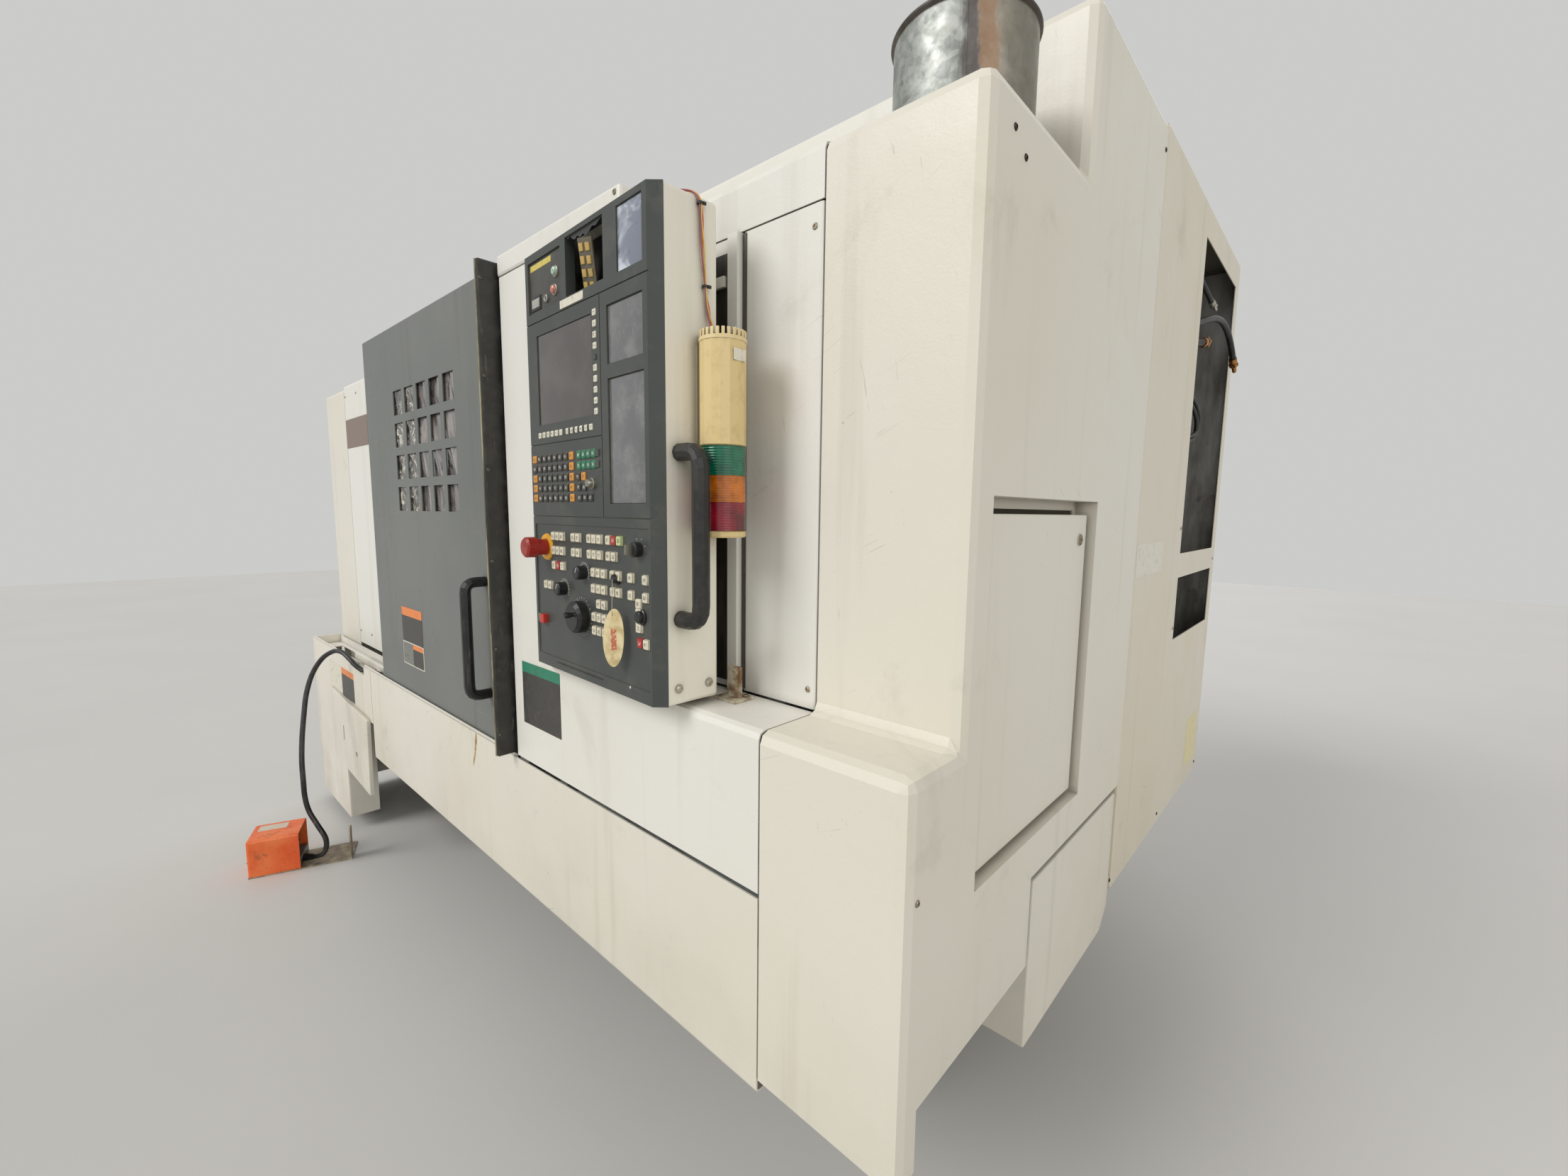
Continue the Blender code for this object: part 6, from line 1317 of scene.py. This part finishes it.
skin(
    "tower_crown_ring",
    add_turned(
        bmesh.new(),
        [
            (0.0361, -0.0060), (0.0366, -0.0055), (0.0366, -0.0008), (0.0358, 0.0), (0.0335, 0.0002),
            (0.0335, -0.0062), (0.0361, -0.0060),
        ],
        Matrix.Translation(tower_at), 48,
    ),
    cream, "panel",
)
stud_steel = bright_steel("stud_steel", (176, 172, 160), 0.3)
stud_profile = [
    (0, 0), (0.0070, 0), (0.0070, 0.0028), (0.0032, 0.0030), (0.0032, 0.0150), (0.0022, 0.0165), (0, 0.0165),
]
nut_profile = [
    (0.0033, 0.0035), (0.0056, 0.0035), (0.0060, 0.0045), (0.0060, 0.0088), (0.0054, 0.0098),
    (0.0033, 0.0098), (0.0033, 0.0035),
]
studs = bmesh.new()
for x, y in ((-0.017, -0.010), (0.016, 0.012)):
    stud_at = Matrix.Translation(tower_at + Vector((x, y, 0.0022)))
    add_turned(studs, stud_profile, stud_at, 20)
    add_turned(studs, nut_profile, stud_at, 6)
skin("tower_studs", studs, stud_steel, "panel")
bare_plate(
    "tower_sticker", "panel", sticker("white_paper", (226, 220, 204)),
    Matrix.Translation((tower_middle.x, tower_middle.y, 1.5475)) @ Matrix.Rotation(math.radians(2), 4, "Z")
    @ Matrix.Translation((0.0352, 0, 0)) @ Matrix.Rotation(math.pi / 2, 4, "Y"),
    0.017, 0.024, 0.0012, 0.001,
)
# Five thin wires, laced with black ties, run down the box's side into the housing.
wire_paths = [
    (0.0000, 0.0006, (214, 120, 60)), (0.0022, 0.0000, (186, 60, 44)), (0.0012, 0.0022, (222, 184, 84)),
    (-0.0018, 0.0010, (150, 84, 110)), (0.0004, -0.0016, (228, 214, 180)),
]
for number, (shift, off, colour) in enumerate(wire_paths):
    wave = 0.0016 * math.sin(number * 2.1)
    wire, wire_line, wire_length = thread(
        f"tower_wire_{number + 1}",
        [
            on_panel(0.3960, 0.040 + shift, 0.7835 + off), on_panel(0.4150, 0.060 + shift, 0.7850 + off),
            on_panel(0.4330, 0.0735 + shift, 0.7815 + off), on_panel(0.4427 + off, 0.0795 + shift, 0.7690),
            on_panel(0.4438 + off, 0.0815 + shift + wave, 0.7400),
            on_panel(0.4435 + off, 0.0835 + shift - wave, 0.7000),
            on_panel(0.4437 + off, 0.0885 + shift * 0.4, 0.6480), on_panel(0.4446 + off, 0.0925 + shift + wave, 0.6150),
            on_panel(0.4500 + off, 0.0945 + shift - wave, 0.5900), on_panel(0.4580 + off, 0.0950 + shift, 0.5720),
        ],
        0.0011, sticker(f"wire_{number + 1}", colour, gloss=0.35), "panel", 0.006, 8,
    )
ties = bmesh.new()
for spot in ((0.4434, 0.0800, 0.7655), (0.4441, 0.0888, 0.6480)):
    tie_frame = panel_frame @ Matrix.Translation(spot)
    add_turned(
        ties, [(0.0034, -0.0016), (0.0046, -0.0018), (0.0048, 0.0018), (0.0034, 0.0016), (0.0034, -0.0016)],
        tie_frame, 20,
    )
    add_box(ties, (0.0015, 0.0030, -0.0022), (0.0050, 0.0085, 0.0022), tie_frame, 0.0006)
skin("wire_ties", ties, shard, "panel")


# ---------------------------------------------------------------------------------------------
# Bay behind the panel. A dark, oil-stained sheet closes the opening beside the cream jamb: partly a
# dark panel, partly painted shade of the recess. A connector block sits at its top, and a dark rubber
# strip down the jamb's right side paints the jamb's shadow.
bay_sheet_and_shade = Finish("bay_lining", roughness=0.55)
bay_sheet_and_shade_tone = bay_sheet_and_shade.blend(bay_sheet_and_shade.spots(0.35, 0.65, (30, 30, 4), 5, 0.6), (26, 24, 22), (62, 54, 44))
bay_sheet_and_shade.set("Base Color", bay_sheet_and_shade_tone)
bay_sheet_and_shade.relief(bay_sheet_and_shade.cloud((60, 60, 6), 4), 0.003, 0.5)
bay_low, bay_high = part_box("panel_bay_cover")
block(
    "bay_lining", (bay_low.x + 0.034, -0.6705, bay_low.z + 0.012), (1.0768, -0.6665, bay_high.z - 0.024),
    bay_sheet_and_shade, round_by=0.001,
)
block(
    "bay_connector", (1.030, -0.6785, 1.688), (1.0660, -0.6706, 1.706),
    moulded("connector_cream", (214, 212, 200), 0.4, 0.3), round_by=0.002,
)
# The jamb's shadow, painted as a dark rubber strip.
block(
    "bay_seal", (1.1003, -0.6676, bay_low.z + 0.004), (1.1085, -0.6655, bay_high.z - 0.002),
    rubber("bay_seal_rubber", (66, 60, 54), 0.4),
)


# ---------------------------------------------------------------------------------------------
# Small things on the covers: blank plates where the labels were, screws, a dried coolant run under
# the door, and two bare cores that stick out of the gutter beside the cable.
bare_plate(
    "mid_cover_plate", "machine", dark_vinyl, facing_front(0.9115, 0, 0.899), 0.167, 0.118, 0.0006, 0.0015,
)
bare_plate(
    "mid_cover_plate_band", "machine", sticker("green_vinyl", (34, 128, 98)), facing_front(0.9115, 0, 0.969),
    0.167, 0.023, 0.0008, 0.0015,
)
bare_plate(
    "headstock_plate", "machine", sticker("brown_enamel_plate", (126, 108, 98), (160, 148, 132)),
    facing_front(2.600, 0.112, 1.611), 0.290, 0.112, 0.0012, 0.003,
)
for name, from_right, height, width, tall, vinyl, thick in (
    ("left_plate_pale", 2.678, 0.632, 0.184, 0.112, pale_vinyl, 0.0005),
    ("left_plate_dark", 2.500, 0.616, 0.168, 0.092, dark_vinyl, 0.0005),
    ("left_plate_band", 2.500, 0.674, 0.168, 0.024, orange_vinyl, 0.0005),
):
    bare_plate(name, "machine", vinyl, facing_front(from_right, 0, height), width, tall, thick, 0.0025)
bare_plate(
    "side_plate_cream", "machine", sticker("cream_vinyl", (226, 222, 208), (170, 160, 136)),
    facing_right(1.058, 1.2175), 0.245, 0.075, 0.0004, 0.002,
)
bare_plate(
    "side_plate_yellow", "machine", sticker("faded_yellow_vinyl", (226, 214, 164), (190, 178, 140)),
    facing_right(1.800, 0.580), 0.160, 0.160, 0.0004, 0.002,
)
cover_screw = bright_steel("cover_screw_steel", (168, 160, 140), 0.6)
front_way, right_way, up_way = (0, -1, 0), (1, 0, 0), (0, 0, 1)
fasteners(
    "cover_screws", "machine", cover_screw, 0.0050,
    [
        (machine_point(0.5937, 0.0, 1.838), front_way),
        (machine_point(0, 0.027, 0.8367), right_way),
        (machine_point(0, 1.372, 1.285), right_way),
        (machine_point(0, 1.372, 1.010), right_way),
        (machine_point(0, 1.905, 1.180), right_way),
    ]
    + [(machine_point(0.268, 0.128, 1.035 + 0.70 * k), front_way) for k in (0, 1)]
    + [(machine_point(from_right, 0.112, z), front_way) for from_right in (2.58, 2.73) for z in (0.80, 1.76)],
)

fasteners(
    "duct_cover_screws", "machine", bright_steel("dark_screw_steel", (62, 54, 46), 0.6), 0.0048,
    [
        (machine_point(0, 0.196, 1.800), right_way), (machine_point(0, 0.232, 1.778), right_way),
        (machine_point(0, 0.916, 2.060), right_way), (machine_point(0, 0.916, 0.470), right_way),
        (machine_point(0, 1.372, 0.470), right_way), (machine_point(0, 1.905, 0.470), right_way),
    ],
)
coolant = Finish("dried_coolant", roughness=0.3)
coolant.set("Base Color", coolant.blend(coolant.spots(0.35, 0.65, 90, 4), (196, 170, 116), (150, 118, 68)))
coolant.relief(coolant.cloud(200, 3), 0.0002, 0.5)
run = bmesh.new()
run_edges = []
for from_right, height, half in (
    (1.2740, 0.7415, 0.0050), (1.2765, 0.7250, 0.0085), (1.2800, 0.7080, 0.0062), (1.2845, 0.6900, 0.0048),
    (1.2905, 0.6740, 0.0058), (1.2960, 0.6600, 0.0040), (1.3000, 0.6480, 0.0012),
):
    run_edges.append(
        [
            run.verts.new(machine_point(from_right + side * half, depth, height))
            for side, depth in ((1, 0.0002), (0.5, -0.0007), (-0.5, -0.0007), (-1, 0.0002))
        ]
    )
for upper, lower in zip(run_edges, run_edges[1:]):
    for k in range(4):
        run.faces.new((upper[k], upper[(k + 1) % 4], lower[(k + 1) % 4], lower[k]))
run.faces.new(run_edges[0])
run.faces.new(list(reversed(run_edges[-1])))
skin("coolant_run", run, coolant, "machine", sharp=60)
for number, (spots, colour) in enumerate(
    (
        (
            ((2.262, 0.028, 0.7220), (2.256, 0.027, 0.7285), (2.242, 0.024, 0.7312), (2.224, 0.022, 0.7290)),
            (206, 164, 112),
        ),
        (
            ((2.262, 0.033, 0.7220), (2.255, 0.033, 0.7300), (2.240, 0.031, 0.7320), (2.221, 0.031, 0.7280)),
            (180, 122, 78),
        ),
    )
):
    core, core_line, core_length = thread(
        f"loose_core_{number + 1}", [machine_point(*spot) for spot in spots], 0.0011,
        sticker(f"core_{number + 1}", colour, gloss=0.35), "machine", 0.003, 8,
    )


# ---------------------------------------------------------------------------------------------
# Extraction duct. A spiral of thin galvanised sheet with a rolled rim, its zinc spangled and dull,
# rusting on the side towards the right end.
zinc = Finish("galvanised_sheet", roughness=0.42, Metallic=0.75)
spangle = zinc.cells(95.0, "Color")
spangle_value = zinc.node("SeparateColor", {0: spangle})
zinc_tone = zinc.blend(spangle_value, (124, 128, 124), (158, 160, 154))
zinc_swirl = zinc.spots(0.40, 0.70, 15, 5, 0.62, warp=1.2)
zinc_tone = zinc.blend(zinc.times(zinc_swirl, 0.5), zinc_tone, (206, 208, 204))
duct_low, duct_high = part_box("exhaust_duct")
duct_middle = (duct_low + duct_high) / 2
toward = Vector((math.cos(math.radians(-61.8)), math.sin(math.radians(-61.8)), 0))
aside = Vector((-toward.y, toward.x, 0))


def zinc_along(direction):
    return zinc.along(0, zinc.stretch(1, 1, 1, (0, 0, -math.atan2(direction.y, direction.x))))


zinc_middle = 0.166
zinc_ragged = zinc.maths(
    "ADD",
    zinc.maths("SUBTRACT", zinc_along(aside), aside.dot(duct_middle) - 0.150),
    zinc.band(zinc.cloud((28, 28, 9), 4, 0.65), 0, 1, 0, 0.032),
)
zinc_facing = zinc.band(zinc_along(toward), toward.dot(duct_middle), toward.dot(duct_middle) + 0.02)
zinc_dark = zinc.times(
    zinc.band(zinc_ragged, zinc_middle - 0.006, zinc_middle + 0.004),
    zinc.band(zinc_ragged, zinc_middle + 0.020, zinc_middle + 0.012), zinc_facing,
)
zinc_rust = zinc.times(
    zinc.band(zinc_ragged, zinc_middle + 0.012, zinc_middle + 0.020),
    zinc.band(zinc_ragged, zinc_middle + 0.046, zinc_middle + 0.034), zinc_facing,
)
# Past the rust, the whole side towards the right end turns a darker, browner grey.
zinc_darker_side = zinc.band(zinc_ragged, zinc_middle + 0.030, zinc_middle + 0.046)
zinc_tone = zinc.blend(zinc.times(zinc_darker_side, 0.75), zinc_tone, (126, 118, 102))
zinc_tone = zinc.blend(zinc.times(zinc_dark, 0.75), zinc_tone, (84, 72, 70))
zinc_tone = zinc.blend(zinc.times(zinc_rust, 0.8), zinc_tone, (150, 112, 74))
zinc_rim = zinc.band(zinc.along(2), duct_high.z - 0.012, duct_high.z - 0.008)
zinc_tone = zinc.blend(zinc.times(zinc_rim, 0.85), zinc_tone, (70, 60, 54))
zinc_foot = zinc.band(zinc.along(2), duct_low.z + 0.010, duct_low.z + 0.004)
zinc.set("Base Color", zinc.blend(zinc.times(zinc_foot, 0.85), zinc_tone, (58, 52, 44)))
zinc.set("Metallic", zinc.band(zinc_rust, 0, 1, 0.6, 0.1))
zinc.set("Roughness", zinc.band(zinc.cloud(30, 4), 0.3, 0.7, 0.36, 0.6))
zinc.relief(zinc.cloud(46, 4), 0.0003, 0.4)
duct_inner = 0.102
duct_profile = [(duct_inner, duct_low.z), (duct_inner, duct_high.z - 0.0075)]
for step in range(9):
    angle = math.radians(200 - 30 * step)
    duct_profile.append(
        (duct_inner + 0.0030 + 0.0034 * math.cos(angle), duct_high.z - 0.0036 + 0.0034 * math.sin(angle))
    )
duct_profile += [
    (duct_inner + 0.002, duct_high.z - 0.0085), (duct_inner + 0.002, duct_low.z + 0.006),
    (duct_inner + 0.005, duct_low.z + 0.003), (duct_inner + 0.0138, duct_low.z + 0.0022),
    (duct_inner + 0.0138, duct_low.z), (duct_inner, duct_low.z),
]
duct_shape = bmesh.new()
duct_frame = Matrix.Translation((duct_middle.x, duct_middle.y, 0))
add_turned(duct_shape, duct_profile, duct_frame, 112)
bmesh.ops.remove_doubles(duct_shape, verts=duct_shape.verts, dist=1e-6)
duct_seam = duct_frame @ Matrix.Rotation(math.atan2(toward.y, toward.x) - 0.02, 4, "Z")
add_box(
    duct_shape, (duct_inner + 0.0010, -0.0045, duct_low.z + 0.0060),
    (duct_inner + 0.0030, 0.0045, duct_high.z - 0.0095),
    duct_seam, 0.0005,
)
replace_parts(skin("rolled_duct", duct_shape, zinc, "machine", sharp=40), "exhaust_duct")


# ---------------------------------------------------------------------------------------------
# Service door and cabinet windows. The door is a loose sheet panel with a quarter-turn lock; the
# cabinet's two openings have lost their lids, and cut hoses with brass ends hang inside.
lock_disc = bright_steel("lock_disc_steel", (150, 140, 118), 0.6)
lock_at = Vector((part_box("service_door")[1].x, FRONT_FACE + 0.588, 1.273))
lock_turned = aimed(lock_at, right_way)
skin(
    "service_lock_disc",
    add_turned(
        bmesh.new(),
        [(0, 0), (0.0100, 0), (0.0100, 0.0008), (0.0090, 0.0014), (0.0050, 0.0016), (0, 0.0016)],
        lock_turned, 28,
    ),
    lock_disc, "service_door",
)
block(
    "service_lock_slot", (-0.0062, -0.0011, 0.0012), (0.0062, 0.0011, 0.0019),
    moulded("slot_dark", (20, 18, 16)), "service_door", lock_turned, 0.0002,
)
# The cabinet's back sheet: zinc-plated steel whose light vertical mottling is partly its plating and partly a painted
# sheen.
zinc_plate = Finish("zinc_plated_sheet", roughness=0.42, Metallic=0.35)
plate_mottle_and_sheen = zinc_plate.spots(0.36, 0.66, (7, 7, 1.6), 5, 0.6)
plate_tone = zinc_plate.blend(plate_mottle_and_sheen, (118, 114, 104), (206, 206, 202))
plate_stain = zinc_plate.spots(0.58, 0.70, 14, 5, 0.7)
zinc_plate.set("Base Color", zinc_plate.blend(zinc_plate.times(plate_stain, 0.5), plate_tone, (86, 78, 62)))
zinc_plate.rough(plate_mottle_and_sheen, 0.5, 0.32)
zinc_plate.relief(zinc_plate.cloud(3, 3), 0.004, 0.4)
block(
    "cabinet_back_sheet", (cabinet_low.x + 0.012, cabinet_high.y - 0.0060, cabinet_low.z + 0.012),
    (cabinet_high.x - 0.012, cabinet_high.y - 0.0034, cabinet_high.z - 0.012), zinc_plate, round_by=0.0008,
)
hose_rubber = rubber("hose_rubber", (24, 24, 23), 0.4)
brass = Finish("tarnished_brass", roughness=0.36, Metallic=0.85)
brass_rust = brass.spots(0.46, 0.62, 120, 5, 0.7)
brass.set("Base Color", brass.blend(brass_rust, (196, 142, 84), (116, 60, 34)))
brass.rough(brass_rust, 0.3, 0.62)
brass.relief(brass.cloud(260, 3), 0.0003, 0.6)


def hose_end(name, line, radius, finish, length):
    """A crimped collar, a hexagon and a barbed nose at the end of a hose."""
    way = (line[-1] - line[-3]).normalized()
    shape = add_turned(
        bmesh.new(),
        [
            (0, 0), (radius * 0.98, 0), (radius * 1.25, 0.0005), (radius * 1.25, length * 0.30),
            (radius * 0.95, length * 0.34), (radius * 0.95, length * 0.56), (radius * 0.72, length * 0.60),
            (radius * 0.72, length * 0.92), (radius * 0.55, length), (radius * 0.36, length),
            (radius * 0.36, length * 0.75), (0, length * 0.75),
        ],
        aimed(line[-1] - way * 0.006, way), 28,
    )
    add_turned(
        shape,
        [
            (radius, length * 0.36), (radius * 1.5, length * 0.37), (radius * 1.5, length * 0.55),
            (radius, length * 0.56), (radius, length * 0.36),
        ],
        aimed(line[-1] - way * 0.006, way), 6,
    )
    return skin(name, shape, finish, "machine")


for name, radius, metal, route in (
    (
        "coolant_hose_upper", 0.0065, bright_steel("hose_end_steel", (186, 182, 170), 0.3),
        (
            (0.032, 1.362, 1.985), (0.026, 1.392, 1.972), (0.018, 1.430, 1.955), (0.011, 1.470, 1.937),
            (0.006, 1.508, 1.922), (0.003, 1.540, 1.913),
        ),
    ),
    (
        "coolant_hose_lower", 0.0085, brass,
        (
            (0.034, 1.360, 1.812), (0.030, 1.392, 1.820), (0.020, 1.450, 1.840), (0.008, 1.530, 1.866),
            (0.000, 1.610, 1.884), (-0.006, 1.680, 1.886), (-0.011, 1.745, 1.868), (-0.015, 1.800, 1.834),
            (-0.017, 1.832, 1.806),
        ),
    ),
    (
        "coolant_hose_short", 0.0100, brass,
        (
            (0.036, 1.360, 1.772), (0.030, 1.392, 1.778), (0.022, 1.430, 1.786), (0.014, 1.470, 1.793),
            (0.009, 1.500, 1.798),
        ),
    ),
):
    hose, hose_line, hose_length = thread(
        name, [machine_point(*spot) for spot in route], radius, hose_rubber, "machine", 0.010, 16
    )
    fitting = hose_end(name + "_end", hose_line, radius, metal, 0.052)
loop_route = (
    (0.034, 1.358, 1.668), (0.028, 1.392, 1.664), (0.020, 1.436, 1.652), (0.012, 1.484, 1.632), (0.008, 1.520, 1.606),
    (0.008, 1.530, 1.578), (0.011, 1.512, 1.553), (0.017, 1.474, 1.541), (0.024, 1.430, 1.535), (0.030, 1.392, 1.532),
    (0.034, 1.358, 1.530),
)
for number, (shift, drop) in enumerate(((0.0, 0.0), (0.006, 0.014))):
    spots = [machine_point(x + shift * 0.5, back - drop * 0.6, z - drop) for x, back, z in loop_route]
    lead, lead_line, lead_length = thread(
        f"cabinet_lead_{number + 1}", spots, 0.0055, hose_rubber, "machine", 0.006, 14
    )


# ---------------------------------------------------------------------------------------------
# Inside the machine. Painted castings, ground ways and a chucking spindle, oily and dull.
def machined(name, tone, rough, grime):
    made = Finish(name, roughness=rough, Metallic=0.9)
    film = made.spots(0.45, 0.7, 12, 5, 0.6)
    made.set("Base Color", made.blend(made.times(film, grime), tone, (84, 74, 56)))
    made.rough(film, rough, rough + 0.2)
    made.relief(made.cloud((12, 600, 600), 2), 0.0001, 0.6)
    made.relief(made.cloud(60, 3), 0.0002, 0.3)
    return made


dress(
    machined("ground_steel", (150, 150, 146), 0.34, 0.4),
    "spindle", "chuck_body", "chuck_jaw_1", "chuck_jaw_2", "chuck_jaw_3", "turret_disc", "tailstock_quill",
)


def casting_paint(name, colour):
    made = Finish(name, roughness=0.5)
    oil = made.spots(0.44, 0.70, 6, 6, 0.65)
    tone = made.blend(made.times(oil, 0.5), colour, (62, 56, 44))
    # Corners and recesses are darkened by ambient occlusion: painted shade.
    made.set("Base Color", made.blend(made.times(made.crevice(0.03), 0.6), tone, (34, 31, 26)))
    made.rough(oil, 0.34, 0.6)
    made.relief(made.cloud(70, 5, 0.6), 0.0016, 0.5)
    return made


dress(
    casting_paint("casting_grey_green", (122, 130, 126)),
    "bed_casting", "headstock_casting", "saddle", "cross_slide", "tailstock_body", "chamber_liner", "spindle_motor",
)
dress(casting_paint("frame_tube_grey", (96, 98, 96)), "enclosure_frame")


# ---------------------------------------------------------------------------------------------
# Foot switch and ledge bracket. A cast guard in chipped orange over a grey switch body, with a
# ribbed black treadle, on a worn steel plate; a rusty bracket on the ledge guides the panel's post.
guard = Finish("guard_enamel", roughness=0.42)
guard_faded = guard.spots(0.35, 0.70, 9, 4)
guard_tone = guard.blend(guard_faded, (226, 88, 30), (238, 124, 66))
guard_soot = guard.spots(0.54, 0.70, 21, 5, 0.7)
guard_tone = guard.blend(guard.times(guard_soot, 0.45), guard_tone, (120, 70, 40))
guard_chip = guard.times(guard.spots(0.60, 0.64, 96, 5, 0.72), guard.spots(0.50, 0.60, 14, 3))
guard_tone = guard.blend(guard_chip, guard_tone, (74, 66, 60))
# Corners are darkened by ambient occlusion: painted shade.
guard.set("Base Color", guard.blend(guard.times(guard.crevice(0.010), 0.6), guard_tone, (92, 48, 26)))
guard.rough(guard_soot, 0.38, 0.6)
guard.relief(guard.cloud(16, 2), 0.002, 0.4)
guard.relief(guard.cloud(180, 3), 0.0004, 0.5)
dress(guard, "foot_switch_guard")
dress(casting_paint("switch_body_grey", (86, 88, 88)), "foot_switch_body")
dress(rubber("treadle_rubber", (28, 28, 28), 0.5), "foot_treadle")
dress(rubber("gland_rubber", (24, 24, 24), 0.4), "cable_gland")
worn_plate = Finish("worn_painted_plate", roughness=0.5, Metallic=0.2)
plate_left = worn_plate.spots(0.34, 0.64, 30, 5, 0.62)
plate_colour = worn_plate.blend(plate_left, (126, 114, 96), (190, 174, 148))
plate_grease = worn_plate.spots(0.50, 0.66, 11, 5, 0.65)
worn_plate.set("Base Color", worn_plate.blend(worn_plate.times(plate_grease, 0.5), plate_colour, (84, 74, 62)))
worn_plate.rough(plate_left, 0.4, 0.6)
worn_plate.relief(worn_plate.cloud(80, 4), 0.0002, 0.3)
dress(worn_plate, "foot_switch_base")
rusty_bracket = Finish("rusty_bracket", roughness=0.55, Metallic=0.2)
bracket_rust = rusty_bracket.spots(0.38, 0.66, 46, 5, 0.62)
rusty_bracket.set("Base Color", rusty_bracket.blend(bracket_rust, (206, 198, 176), (124, 92, 60)))
rusty_bracket.relief(rusty_bracket.cloud(140, 4), 0.0002, 0.3)
dress(rusty_bracket, "ledge_bracket")
bracket_low, bracket_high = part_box("ledge_bracket")
fasteners(
    "bracket_bolts", "machine", bright_steel("bracket_bolt_steel", (150, 136, 110), 0.7), 0.0055,
    [
        (Vector((bracket_low.x + 0.008, bracket_high.y - 0.010, bracket_low.z + 0.0062)), up_way),
        (Vector((bracket_high.x - 0.008, bracket_high.y - 0.010, bracket_low.z + 0.0062)), up_way),
    ],
)
pedal_frame = Matrix.Translation((-0.922, -1.146, 0)) @ Matrix.Rotation(-math.radians(20.4), 4, "Z")
bare_plate(
    "guard_patch", "machine", sticker("faded_patch", (206, 196, 178), (230, 130, 84)),
    pedal_frame @ Matrix.Translation((-0.0980, 0.0620, 0.1380)), 0.044, 0.086, 0.0004, 0.002,
)
block(
    "guard_seam", (-0.1400, -0.0004, 0.0585), (-0.0010, 0.0006, 0.0600),
    moulded("guard_seam_dark", (112, 46, 20)), frame_at=pedal_frame, round_by=0.0002,
)
